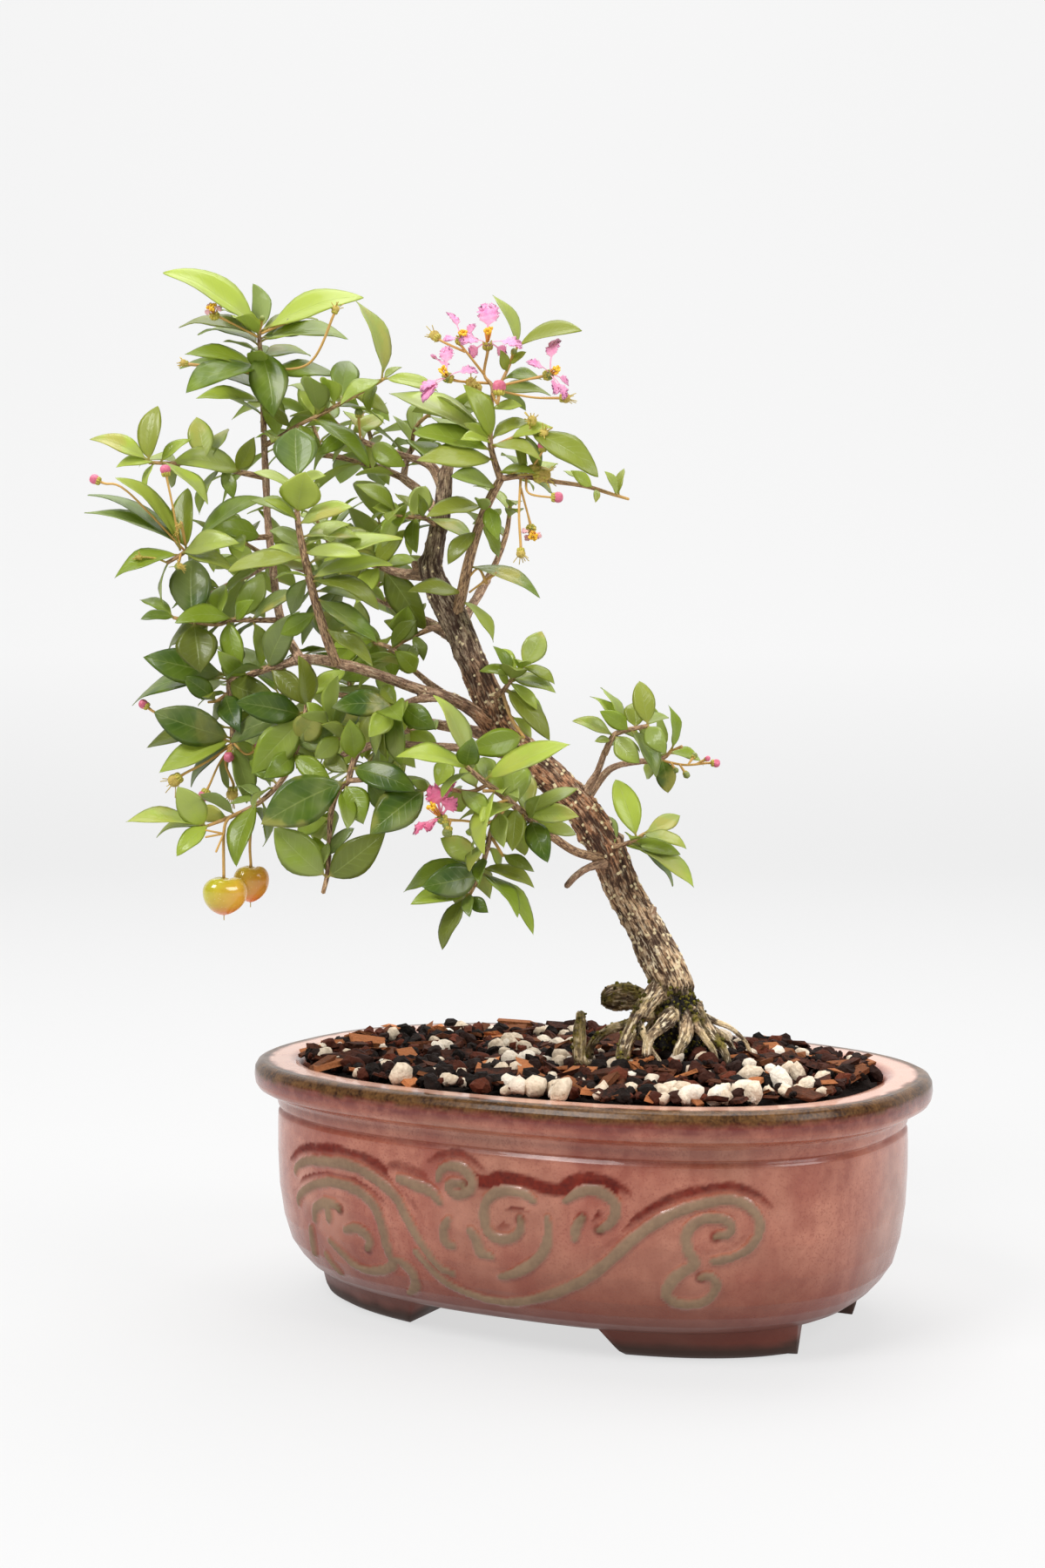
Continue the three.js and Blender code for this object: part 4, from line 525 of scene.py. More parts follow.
# %% [markdown]
# ## The scroll ornament
# The lines were read off the photograph and are put on the wall by following each pixel's
# ray until it meets the oval. The back of the pot isn't seen; it has the same scroll, as
# such pots do.

# %% Lines of the scroll, as pixels; how deep the glaze pools over them; where it runs between them; dots
SCROLL = {
    "left wave": [(333, 1355), (340, 1341), (352, 1333), (380, 1334), (400, 1337), (420, 1346), (440, 1360),
        (455, 1375), (465, 1393), (475, 1412), (487, 1432), (505, 1455), (520, 1462)],
    "big wave": [(478, 1437), (500, 1462), (520, 1477), (550, 1489), (580, 1495), (610, 1492), (640, 1483),
        (670, 1470), (700, 1447), (730, 1420), (760, 1400), (790, 1387), (820, 1379), (840, 1378),
        (860, 1385), (872, 1402), (870, 1420), (858, 1435), (840, 1444), (820, 1448)],
    "right hook": [(822, 1420), (835, 1418), (840, 1408), (830, 1400), (812, 1399), (797, 1405),
        (788, 1418), (790, 1435), (797, 1450), (785, 1460), (772, 1470), (765, 1485), (775, 1495),
        (795, 1498), (815, 1490), (823, 1475), (815, 1465), (805, 1467)],
    "left scroll": [(340, 1385), (345, 1372), (357, 1362), (375, 1357), (395, 1360), (415, 1370),
        (430, 1385), (438, 1405), (443, 1425), (450, 1445), (452, 1452), (440, 1458), (420, 1458),
        (405, 1450), (395, 1440), (380, 1425)],
    "inner hook": [(397, 1412), (408, 1410), (418, 1415), (425, 1425), (422, 1434)],
    "upper left hook": [(362, 1400), (363, 1388), (372, 1381), (385, 1383), (390, 1388)],
    "short bar": [(378, 1385), (378, 1400)],
    "low left line": [(358, 1410), (362, 1440)],
    "low left line 2": [(375, 1440), (392, 1462)],
    "low curl": [(452, 1445), (465, 1452), (475, 1465), (477, 1478), (470, 1485)],
    "top curl": [(503, 1353), (507, 1343), (517, 1339), (530, 1341), (540, 1351), (541, 1363), (533, 1370),
        (522, 1370), (515, 1362), (522, 1358), (532, 1360)],
    "flame line": [(458, 1353), (475, 1360), (495, 1368), (505, 1380)],
    "middle spiral": [(612, 1378), (600, 1370), (580, 1367), (565, 1372), (557, 1385), (557, 1400),
        (562, 1415), (575, 1423), (590, 1420), (598, 1410), (597, 1400)],
    "spiral's arc": [(628, 1400), (630, 1415), (625, 1435), (612, 1450), (595, 1460), (575, 1466)],
    "mark": [(515, 1400), (510, 1412), (512, 1425), (520, 1430)],
    "mark 2": [(540, 1412), (548, 1425), (552, 1437), (565, 1443)],
    "right curl": [(650, 1378), (662, 1370), (678, 1366), (693, 1370), (705, 1380), (707, 1392),
        (700, 1405), (688, 1412)],
    "right stem": [(668, 1398), (662, 1410), (660, 1422)]}
POOLED = {"left wave": 1.0, "big wave": 1.0, "left scroll": 1.0, "top curl": 0.9, "middle spiral": 1.0,
          "right curl": 1.0, "flame line": 0.6, "right hook": 0.25, "upper left hook": 0.5, "inner hook": 0.5}
GLAZE_RUN = [(541, 1352), (556, 1357), (580, 1354), (604, 1357), (622, 1363), (641, 1366), (664, 1361),
    (684, 1359), (703, 1365)]
DOTS = [(532, 1360), (597, 1400), (688, 1412), (668, 1398), (822, 1420), (805, 1467), (422, 1434),
    (390, 1388), (470, 1485)]


def inside_measure(places):
    """Under 1 inside the pot's oval at that height, 1 on it: |x/a|^n + |y/b|^n."""
    a, b = (np.interp(places[..., 2], profile[:OUTER_ROWS, 0], profile[:OUTER_ROWS, k]) for k in (1, 2))
    return np.abs(places[..., 0] / a) ** ROUNDNESS + np.abs(places[..., 1] / b) ** ROUNDNESS


def on_wall(pixels):
    """Follows each pixel's ray from outside until it meets the wall, by halving the interval."""
    pixels = np.asarray(pixels, float)
    near, far = np.full(len(pixels), 140.0), np.full(len(pixels), 0.0)
    for _ in range(30):
        middle = (near + far) / 2
        outside = inside_measure(spot(pixels[:, 0], pixels[:, 1], middle)) > 1
        near, far = np.where(outside, middle, near), np.where(outside, far, middle)
    return spot(pixels[:, 0], pixels[:, 1], near)


def smooth_line(points, step=0.7):
    """The same Catmull-Rom curve as for wood, on a line without radius."""
    rows = np.column_stack([points, np.zeros(len(points))])
    return smooth_path(rows, step)[:, :3]


scroll = [smooth_line(on_wall(line)) for line in SCROLL.values()]
deep = np.concatenate([np.full(len(line), POOLED.get(name, 0.0)) for name, line in zip(SCROLL, scroll)])
wide = np.concatenate([0.72 + 0.38 * np.sin(np.pi * np.linspace(0, 1, len(line))) ** 0.7 for line in scroll])
glaze_run = smooth_line(on_wall(GLAZE_RUN))
dots = on_wall(DOTS)
print(len(scroll), "lines of scroll,", sum(map(len, scroll)), "points")

# %% Build the wall with its relief
def nearest(places, points, radii=0.0):
    """For each place the point with the least distance^2 - radius^2: how far it is, and which one."""
    which = np.zeros(len(places), int)
    reach = np.broadcast_to(np.asarray(radii, np.float32) ** 2, len(points))
    for start in range(0, len(places), 6000):
        part = places[start:start + 6000].astype(np.float32)
        square = ((part[:, None] - points[None].astype(np.float32)) ** 2).sum(-1)
        which[start:start + 6000] = (square - reach).argmin(1)
    return np.linalg.norm(places - points[which], axis=1), which


BAND, BAND_LIFT, MOST_LIFTED = 1.55, 0.68, 55.5
GROOVE = 56.4
BOTTOM = 8.4


def clip01(values):
    """Values cut to the range from 0 to 1."""
    return np.clip(values, 0, 1)


def both_sides(points):
    """Points on the front of the pot, and the same half a turn on for its back."""
    return np.vstack([points, points * [-1, -1, 1]])


def pooled_glaze(flat, gap, above, deep_here, band, ragged):
    """Where glaze pools: above the nearest line by clip((5.4 * ragged - gap) / 0.8), in the run between the
    curls, in the groove by exp(-(height off it)^2), and in the dots."""
    height = flat[:, 2]
    pool = clip01((5.4 * ragged - gap) / 0.8) * clip01((gap - 1.3) / 0.4) * clip01(above / 1.6 - 0.9)
    pool = pool * clip01((height - 32) / 9) * (0.9 + 0.1 * lattice_noise(flat / 2.2, 9))
    pool = pool * deep_here
    run_gap, _ = nearest(flat, both_sides(glaze_run))
    pool = np.maximum(pool, 0.95 * clip01((2.3 * ragged - run_gap) / 0.8) * (band == 0))
    groove = np.exp(-((height - GROOVE) / 1.1) ** 2)
    pool = np.maximum(pool * (height < 57), groove * (0.4 + 0.2 * lattice_noise(flat / 9, 5)))
    near_dot, _ = nearest(flat, both_sides(dots))
    return np.maximum(pool, clip01(1.6 - near_dot / 1.3))


def wall_with_scroll():
    """The wall grid, pushed outwards by a band of 2.2 to 3.4 mm round each line of the scroll: lift *
    (1 - (gap / half width)^3)^0.5, with a hollow beside it and a slow wobble. Gives the marks too."""
    x, y = oval(around[None], profile[:, 1:2], profile[:, 2:3])
    grid = np.stack([x, y, np.broadcast_to(profile[:, :1], x.shape)], -1)
    flat = grid.reshape(-1, 3)
    height = flat[:, 2]
    row, reach = np.repeat(np.arange(len(profile)), len(around)), np.repeat(profile[:, 1], len(around))
    outside = row < OUTER_ROWS
    points = both_sides(np.vstack(scroll))
    gap, which = nearest(flat, points)
    gap = gap + 0.18 * lattice_noise(flat / 3, 4)
    band = clip01(1 - (gap / (BAND * np.tile(wide, 2)[which])) ** 3) ** 0.5
    ragged = 1 + 0.16 * lattice_noise(flat / 7, 7) + 0.07 * lattice_noise(flat / 0.9, 8)
    pool = pooled_glaze(flat, gap, height - points[which, 2], np.tile(deep, 2)[which], band, ragged)
    outwards = np.column_stack([flat[:, 0] / 94 ** 2, flat[:, 1] / 67 ** 2, np.zeros(len(flat))])
    wobble = 0.16 * lattice_noise(flat / 17, 6) - 0.12
    beside = clip01(1 - gap / 5) * (band == 0) * (height < MOST_LIFTED)
    lift = np.where(height < MOST_LIFTED, BAND_LIFT * band, 0) + wobble - 0.2 * beside
    flat = flat + unit(outwards) * np.where(outside & (height > 8.2), lift, 0)[:, None]
    lip = clip01((height - 67.5 - 0.5 * lattice_noise(flat / 3, 10)) / 0.9)
    lip = lip * clip01((reach - 95.8 - 0.5 * lattice_noise(flat / 4, 11)) / 0.9)
    rim = clip01((height - 64.0 - 0.8 * lattice_noise(flat / 6, 12)) / 2.4) * clip01((70.9 - height) / 0.8)
    bare = np.maximum(0.75 * clip01((15 - height) / 9) ** 1.5, clip01((BOTTOM - height) * 2))
    return flat, dict(raised=clip01(band * 1.5 - 0.2) * (height < 56.5) * outside, pool=pool * outside,
                      lip=lip, rim=rim * outside, top=clip01((height - 70.5) / 0.4) * (row > 8) * (1 - lip),
                      bare=bare * outside)


def pot_body():
    """The wall with its scroll, closed over the inner floor by a low dome of the same oval."""
    outside, marks = wall_with_scroll()
    inner = []
    for height, a, b in ((22, 82, 55), (16, 76, 50), (14, 60, 38)):
        x, y = oval(around, a, b)
        inner.append(np.column_stack([x, y, np.full_like(x, height)]))
    places = np.vstack([[0, 0, 8], outside, *inner, [0, 0, 14]])
    more = len(inner) * len(around) + 1
    marks = {k: np.concatenate([[float(k == "bare")], v, np.zeros(more)]) for k, v in marks.items()}
    faces = tube_faces(len(profile) + len(inner), len(around))
    return places, faces, marks


print("relief is ready")

# %% [markdown]
# ## Feet
# Four feet stand under the corners of the oval. Each is a short wall of the same oval, cut
# off straight towards the middle, with its underside bare clay. The floor between them stays
# closed here, as the soil fills the drain holes from above.

# %% Feet
INNER_X, OUTER_X, INNER_Y, FOOT_TOP = 34.0, 75.0, 22.0, 10.4


def foot(sign_x, sign_y, count=48, rows=9):
    """Rings from the ground up. The outer side follows the oval, y = b (1 - (x / a)^n)^(1 / n), and the
    inner side is a straight chord."""
    rings = []
    for height in np.linspace(0, FOOT_TOP, rows):
        swell = np.interp(height, [0, 0.5, 1.5, 3, 7, FOOT_TOP], [0.965, 0.985, 0.997, 1.003, 1.01, 1.02])
        a, b = 81.5 * swell, 49 * swell + height * 0.35
        x = np.linspace(INNER_X - height * 0.7, OUTER_X + height * 0.15, count // 2)
        y = b * (1 - np.clip(np.abs(x) / a, 0, 0.999) ** ROUNDNESS) ** (1 / ROUNDNESS)
        y = np.concatenate([np.maximum(y, INNER_Y + 0.6), np.full_like(x, INNER_Y)])
        rings.append(np.column_stack([np.concatenate([x, x[::-1]]), -y, np.full(len(y), height)]))
    places = np.vstack([rings[0].mean(0), *rings, rings[-1].mean(0)]) * [sign_x, sign_y, 1]
    faces = tube_faces(rows, len(rings[0]))
    if sign_x * sign_y > 0:
        faces = np.where(faces[:, 3:] < 0, faces[:, [2, 1, 0, 3]], faces[:, ::-1])
    bare = np.clip((6.4 - places[:, 2] + lattice_noise(places / 5, 13)) * 0.3, 0.3, 1)
    return places, faces, bare


parts = [foot(sx, sy) for sx in (1, -1) for sy in (1, -1)]
print(len(parts), "feet")

# %% The whole pot
body, body_faces, marks = pot_body()
feet, feet_faces, bare = gather(parts)
places = np.vstack([body, feet])
faces = np.vstack([body_faces, np.where(feet_faces < 0, -1, feet_faces + len(body))])
zero = np.zeros(len(feet))
marks = {k: np.concatenate([v, bare if k == "bare" else zero]) for k, v in marks.items()}
piece("pot_glazed", places, faces, GLAZE, "pot_glaze", ["pot"], marks=marks)
print("pot has", len(faces), "faces and stands", np.round(places.min(0), 2), np.round(places.max(0), 2))

# %% [markdown]
# ## The soil
# Bonsai soil is a coarse mix: flat chips of bark, white pumice and dark lava. The bed is
# one closed form, mounded round the trunk. The grains lie on it; each is a jittered box or
# ball of a few dozen faces, and the random numbers are drawn as whole arrays.

# %% The bed
def soil_height(x, y, along):
    """Height of the bed: an edge height and a mound round the trunk's foot, m * exp(-(r / w)^2)."""
    away = np.hypot(x - TRUNK_FOOT[0], y)
    return 70 + 5.4 * np.exp(-(away / 34) ** 2) * np.minimum(1, (1 - along) * 4)


def soil_bed():
    """Rings of the pot's inner oval, from its floor to the edge and then inwards over the mound."""
    rings = []
    angles = even_angles(180)
    for height, a, b in (
            (14.3, 58, 36), (14.3, 73.2, 47.2), (22, 81.2, 54.2), (40, 85.2, 57.6), (64, 86.4, 58.6)):
        x, y = oval(angles, a, b)
        rings.append(np.column_stack([x, y, np.full_like(x, height)]))
    for along in np.linspace(0.985, 0.02, 46):
        x, y = oval(angles, 86.6 * along, 58.8 * along)
        x = x + (1 - along) * TRUNK_FOOT[0] * 0.6
        rough = np.column_stack([x, y, np.zeros_like(x)])
        lift = 1.2 * lattice_noise(rough / 6.1, 11) + 0.5 * lattice_noise(rough / 1.7, 12)
        lift = lift - 1.6 * clip01((along - 0.93) / 0.05)
        rings.append(np.column_stack([x, y, soil_height(x, y, along) + lift - 1.2]))
    places = np.vstack([[0, 0, 14.3], *rings, rings[-1].mean(0)])
    return places, tube_faces(len(rings), len(angles))


def soil_finish(name, a, b, c, rough):
    """Two mottled tones, and a third by each grain's own tint; dull and rough."""
    f = Finish(name, rough)
    tone, _ = f.mottle(a, b, 180, 900, 0.5)
    f.colour(f.mix(f.mark("tint"), tone, c))
    f.put(f.shader, Specular_IOR_Level=0.2)
    f.bump(f.noise(900, 5), 0.9, 0.0009)
    return f.material


# Painted shade: the bed's near-black tones are partly the soil's own dark colour and partly shade between the
# grains.
BED = soil_finish("soil bed", rgb(34, 18, 11), rgb(12, 7, 5), rgb(80, 48, 30), 0.95)
bed_places, bed_faces = soil_bed()
piece("soil_bed", bed_places, bed_faces, BED, "soil", ["soil"], marks=dict(tint=np.zeros(len(bed_places))))
print("bed faces", len(bed_faces))

# %% The grains
CUBE = np.array([(x, y, z) for z in (-1, 1) for y in (-1, 1) for x in (-1, 1)], float)
CUBE_FACES = np.array([(0, 2, 3, 1), (4, 5, 7, 6), (0, 1, 5, 4), (2, 6, 7, 3), (0, 4, 6, 2), (1, 3, 7, 5)])
GOLD = (1 + 5 ** 0.5) / 2
LUMP = unit(np.array([
    (-1, GOLD, 0), (1, GOLD, 0), (-1, -GOLD, 0), (1, -GOLD, 0), (0, -1, GOLD), (0, 1, GOLD),
    (0, -1, -GOLD), (0, 1, -GOLD), (GOLD, 0, -1), (GOLD, 0, 1), (-GOLD, 0, -1), (-GOLD, 0, 1)], float))
LUMP_FACES = np.array([(a, b, c, -1) for a, b, c in (
    (0, 11, 5), (0, 5, 1), (0, 1, 7), (0, 7, 10), (0, 10, 11), (1, 5, 9), (5, 11, 4), (11, 10, 2),
    (10, 7, 6), (7, 1, 8), (3, 9, 4), (3, 4, 2), (3, 2, 6), (3, 6, 8), (3, 8, 9), (4, 9, 5), (2, 4, 11),
    (6, 2, 10), (8, 6, 7), (9, 8, 1))])
GRAIN_OVAL = 88.6, 61


def rotations(rng, count, lean):
    """Turn matrices: a free turn about z, then a lean about x and y of up to the given angle."""
    spin = rng.uniform(0, 2 * np.pi, count)
    a, b = (rng.uniform(-lean, lean, count) for _ in range(2))
    zero, one = np.zeros(count), np.ones(count)
    z = np.array([[np.cos(spin), -np.sin(spin), zero], [np.sin(spin), np.cos(spin), zero], [zero, zero, one]])
    x = np.array([[one, zero, zero], [zero, np.cos(a), -np.sin(a)], [zero, np.sin(a), np.cos(a)]])
    y = np.array([[np.cos(b), zero, np.sin(b)], [zero, one, zero], [-np.sin(b), zero, np.cos(b)]])
    return np.einsum("ijn,jkn,kln->nil", x, y, z)


def scatter(seed, count, form, form_faces, sizes, lean, jitter, lift, near=0.0, arc=(0, 2 * np.pi)):
    """Grains strewn over the bed: form * size * jitter, turned, at even density over an arc of the oval."""
    rng = np.random.default_rng(seed)
    angle, along = rng.uniform(*arc, count), np.sqrt(rng.uniform(near, 1, count)) * 0.965
    x, y = oval(angle, *(half * along for half in GRAIN_OVAL))
    low, high = np.array(sizes[0]), np.array(sizes[1])
    size = low + (high - low) * rng.uniform(0, 1, (count, 1)) ** 1.6 * rng.uniform(0.7, 1.1, (count, 3))
    shape = form[None] * size[:, None] * (1 + jitter * rng.uniform(-1, 1, (count, len(form), 3)))
    shape = np.einsum("nij,nvj->nvi", rotations(rng, count, lean), shape)
    height = soil_height(x, y, along) + lift * size[:, 2] + rng.uniform(-0.5, 0.5, count)
    height = height + 1.4 * clip01((along - 0.7) / 0.2)
    places = shape + np.column_stack([x, y, height])[:, None]
    tint = np.repeat(rng.uniform(0, 1, count) ** 3.5, len(form))
    return *stamped(places, form_faces), tint


def knobbly_lump():
    """An icosahedron with each face cut in four, pushed out to the ball again: 42 points."""
    corners = LUMP_FACES[:, :3]
    edges = np.concatenate([corners[:, [0, 1]], corners[:, [1, 2]], corners[:, [2, 0]]])
    edges = np.unique(np.sort(edges, axis=1), axis=0)
    number = {tuple(edge): 12 + k for k, edge in enumerate(edges.tolist())}
    between = unit(LUMP[edges].mean(1))
    faces = []
    for a, b, c in corners.tolist():
        ab, bc, ca = (number[tuple(sorted(pair))] for pair in ((a, b), (b, c), (c, a)))
        faces += [(a, ab, ca, -1), (b, bc, ab, -1), (c, ca, bc, -1), (ab, bc, ca, -1)]
    return np.vstack([LUMP, between]), np.array(faces)


KNOB, KNOB_FACES = knobbly_lump()
CHIP = soil_finish("bark chips", rgb(84, 42, 26), rgb(28, 15, 10), rgb(204, 128, 78), 0.85)
PUMICE = soil_finish("pumice", rgb(238, 220, 196), rgb(190, 168, 142), rgb(250, 240, 224), 0.95)
LAVA = soil_finish("lava grit", rgb(34, 22, 17), rgb(8, 6, 5), rgb(104, 50, 32), 0.85)
PUMICE_DRAW = (1.2, 0.2, 0.5)
for name, material, draw, flat in (
        ("soil_bark_chips", CHIP,
         (21, 380, CUBE, CUBE_FACES, ((1.6, 0.8, 0.25), (5.6, 2.8, 0.8)), 0.42, 0.34, 1.6), True),
        ("soil_pumice", PUMICE,
         (22, 130, KNOB, KNOB_FACES, ((1.2, 1.1, 1.0), (4.2, 3.6, 3.0)), *PUMICE_DRAW), False),
        ("soil_pumice_front", PUMICE,
         (26, 40, KNOB, KNOB_FACES, ((1.6, 1.4, 1.2), (5.0, 4.0, 3.1)), *PUMICE_DRAW, 0.72, (-1.8, -0.2)),
         False),
        ("soil_lava", LAVA,
         (23, 720, KNOB, KNOB_FACES, ((1.2, 1.0, 0.9), (3.9, 3.2, 2.6)), 1.2, 0.27, 0.25), True),
        ("soil_crumbs", LAVA,
         (24, 1500, LUMP, LUMP_FACES, ((0.4, 0.4, 0.3), (1.5, 1.2, 1.0)), 1.2, 0.3, 1.0), True)):
    grains, grain_faces, tint = scatter(*draw)
    piece(name, grains, grain_faces, material, "soil", marks=dict(tint=tint), flat=flat)
    print(name, len(grain_faces), "faces")

# %% [markdown]
# ## Trunk, roots and limbs
# All the wood grew as one piece, so the tubes along the photographed paths are joined to one
# skin with a voxel remesh, as clay would be pressed together. The bark is then pushed in and
# out along that skin by noise that is stretched along the wood, which gives long fissures.

# %% Paths of the wood: pixel, pixel, depth and radius in millimetres
TRUNK = [(779, 1236, 0, 6), (779, 1200, 0, 8.4), (778, 1168, 0, 7.8), (775, 1146, 0, 6.4),
    (771, 1127, 0, 5.8), (757, 1098, 0, 5.7), (741, 1066, 0, 5.3), (715, 1020, 0, 4.9), (696, 974, 0, 5),
    (667, 928, 0, 4.7), (645, 905, 1, 4.7), (616, 878, 1, 4.7), (575, 840, 2, 4.8), (565, 815, 2, 4.5),
    (553, 785, 2, 4.2), (540, 755, 2, 4), (530, 730, 1, 3.9), (518, 705, 0, 4.1), (505, 680, 0, 3.7),
    (495, 655, -1, 3.2), (498, 635, -2, 2.8), (503, 610, -3, 2.6), (508, 585, -4, 2.4), (510, 562, -5, 2.3),
    (512, 545, -5, 2), (515, 532, -5, 1.5)]
ROOTS = {
    "frontLeft": [(760, 1130, 1, 3.2), (743, 1152, 6, 2.5), (728, 1178, 9, 2.2), (717, 1204, 11, 2.1),
        (712, 1234, 12, 1.6)],
    "frontMiddle": [(779, 1158, 3, 2.4), (760, 1178, 10, 1.8), (746, 1192, 14, 1.5), (742, 1212, 16, 1.3)],
    "frontRight": [(790, 1160, 3, 2.4), (788, 1188, 9, 1.8), (779, 1206, 12, 1.6), (777, 1222, 12, 1.3)],
    "thinFork": [(734, 1172, 8, 1), (745, 1201, 13, 0.8), (757, 1218, 15, 0.7), (760, 1232, 15, 0.7)],
    "mossyRight": [(798, 1158, 0, 2.3), (816, 1188, 4, 1.8), (831, 1205, 6, 1.4), (836, 1220, 6, 1.2)],
    "thinRight": [(802, 1164, -2, 1.3), (822, 1173, -2, 0.9), (840, 1181, -2, 0.8), (856, 1196, -1, 0.7),
        (862, 1212, -1, 0.7)],
    "mossyLeft": [(748, 1162, 4, 1.9), (721, 1176, 2, 1.5), (697, 1183, 1, 1.4), (681, 1197, 2, 1.3),
        (676, 1214, 2, 1.2)],
    "uprightStub": [(776, 1226, 0, 2.4), (716, 1232, 4, 2), (670, 1222, 6, 1.9), (666, 1190, 6, 1.9),
        (667, 1163, 6, 1.4)],
    "smallRight": [(796, 1170, 5, 1.4), (808, 1190, 8, 1), (819, 1206, 9, 0.9), (823, 1220, 9, 0.8)],
    "knob": [(758, 1150, -4, 2.6), (738, 1148, -8, 3), (718, 1144, -10, 4.1), (702, 1146, -10, 3.7),
        (694, 1150, -10, 2)],
    "backLeft": [(764, 1156, -5, 2.4), (748, 1180, -16, 1.8), (736, 1196, -25, 1.4), (731, 1210, -27, 1.2)],
    "backMiddle": [(780, 1158, -6, 2.6), (784, 1178, -17, 1.9), (786, 1192, -27, 1.4),
        (786, 1206, -29, 1.2)],
    "backRight": [(792, 1160, -4, 2.2), (814, 1180, -14, 1.7), (834, 1194, -22, 1.3),
        (842, 1208, -24, 1.1)]}
LIMBS = {
    "lowLimb": [(566, 838, 3, 2.6), (545, 818, 8, 2), (520, 803, 13, 1.7), (480, 791, 19, 1.6),
        (450, 780, 23, 1.5), (420, 770, 25, 1.5), (395, 763, 26, 1.5), (372, 758, 24, 1.4),
        (347, 757, 17, 1.4), (318, 765, 9, 1.3)],
    "leader": [(345, 757, 17, 1.4), (327, 725, 4, 1.3), (318, 690, -8, 1.3), (312, 640, -16, 1.2),
        (307, 590, -20, 1.1), (305, 545, -20, 1.1), (303, 500, -20, 1)],
    "leftLimb": [(495, 660, -1, 1.9), (465, 659, -8, 1.5), (440, 652, -14, 1.2)],
    "leftLimbStub": [(480, 658, -5, 1.1), (475, 646, -2, 0.9)],
    "innerLimbHigh": [(524, 722, 1, 1.5), (505, 721, -6, 1.1), (490, 722, -10, 0.9)],
    "innerLimbLow": [(514, 800, 14, 1.3), (500, 790, 8, 1.1), (487, 780, 3, 1)],
    "crownLimb": [(508, 558, -5, 1.7), (497, 537, -7, 1.4), (480, 528, -9, 1.2), (460, 522, -11, 1.1),
        (440, 515, -13, 1)],
    "backLimbHigh": [(506, 600, -4, 1.8), (488, 570, -20, 1.5), (462, 548, -34, 1.3)],
    "backLimbMiddle": [(535, 742, 1, 2), (505, 722, -20, 1.7), (460, 700, -36, 1.4)],
    "backLimbLow": [(585, 850, 0, 2.2), (545, 840, -18, 1.8), (495, 830, -34, 1.5)],
    "backLimbRight": [(526, 722, 0, 1.7), (545, 690, -16, 1.4), (560, 665, -28, 1.2)],
    "innerFork": [(512, 800, 14, 1.3), (480, 803, 21, 1.1), (462, 809, 24, 1)],
    "fruitLimb": [(352, 757, 18, 1.2), (356, 782, 15, 1)],
    "lowerLimb": [(604, 872, 4, 1.6), (560, 862, 14, 1.3), (520, 858, 20, 1.2), (485, 856, 23, 1.1),
        (438, 853, 25, 1.1), (412, 861, 26, 1.1)],
    "lowerStub": [(414, 859, 26, 1.1), (392, 867, 25, 0.9)],
    "prongHigh": [(664, 924, 0, 1.7), (676, 903, 2, 1.2), (686, 886, 3, 1.1), (695, 862, 5, 1)],
    "prongLow": [(668, 926, -1, 1.6), (684, 902, -5, 1.2), (697, 886, -7, 1.2), (712, 878, -8, 1),
        (738, 874, -10, 0.9)],
    "bareStub": [(696, 990, 3, 1.5), (676, 996, 9, 1.1), (662, 1005, 12, 1.1), (650, 1018, 14, 1)],
    "nub": [(745, 1060, 3, 1.4), (752, 1041, 3, 0.7)]}

# %% Join the tubes into one skin
def paths_with_frames(all_rows, step):
    """Points along all the paths with their radius, directions and distance from the path's start."""
    points, sides, others, far, thick = [], [], [], [], []
    for rows in all_rows:
        cuts = smooth_path(wood_rows(rows), step)
        _, side, other = carried_frame(cuts[:, :3])
        points.append(cuts[:, :3])
        sides.append(side)
        others.append(other)
        far.append(np.arange(len(cuts)) * step)
        thick.append(cuts[:, 3])
    return [np.concatenate(column) for column in (points, sides, others, far, thick)]


def read_out(rows, key, width, kind):
    """One property of all of a mesh's rows as an array."""
    values = np.empty(len(rows) * width, kind)
    rows.foreach_get(key, values)
    return values


def joined_skin(parts, voxel, name):
    """One mesh from closed tubes: joined, remeshed by voxels and smoothed a little."""
    places, faces = gather(parts)
    mesh = bpy.data.meshes.new(name)
    mesh.from_pydata((places / 1000).tolist(), [], [[v for v in face if v >= 0] for face in faces.tolist()])
    work = linked(name, mesh)
    remesh = work.modifiers.new("join", "REMESH")
    remesh.mode = "VOXEL"
    remesh.voxel_size = voxel / 1000
    smooth = work.modifiers.new("smooth", "SMOOTH")
    smooth.factor = 0.5
    smooth.iterations = 2
    done = work.evaluated_get(bpy.context.evaluated_depsgraph_get()).to_mesh()
    co, normal = (read_out(rows, key, 3, np.float32).reshape(-1, 3).astype(float) for rows, key in (
        (done.vertices, "co"), (done.vertex_normals, "vector")))
    corners, starts = (read_out(rows, key, 1, np.int32) for rows, key in (
        (done.loops, "vertex_index"), (done.polygons, "loop_start")))
    sizes = np.diff(np.append(starts, len(corners)))[:, None]
    which = starts[:, None] + np.arange(4)
    made = np.where(sizes > np.arange(4), corners[np.minimum(which, len(corners) - 1)], -1)
    work.to_mesh_clear()
    bpy.data.objects.remove(work)
    return co * 1000, made, normal


tubes = [tube(wood_rows(TRUNK), 1.2, 30)[:2]]
tubes += [tube(wood_rows(rows), 1.0, 16)[:2] for rows in ROOTS.values()]
tubes += [tube(wood_rows(rows), 1.0, 14)[:2] for rows in LIMBS.values()]
skin, skin_faces, skin_normals = joined_skin(tubes, 0.5, "joined wood")
print("skin of", len(skin), "points and", len(skin_faces), "faces")

# %% Bark relief
def wood_places(places, all_rows, step=0.6):
    """For each place how far along its path it lies, the angle round it, and the path's radius."""
    points, sides, others, far, thick = paths_with_frames(all_rows, step)
    _, which = nearest(places, points, thick)
    off = places - points[which]
    angle = np.arctan2((off * others[which]).sum(1), (off * sides[which]).sum(1))
    return far[which], angle, thick[which]


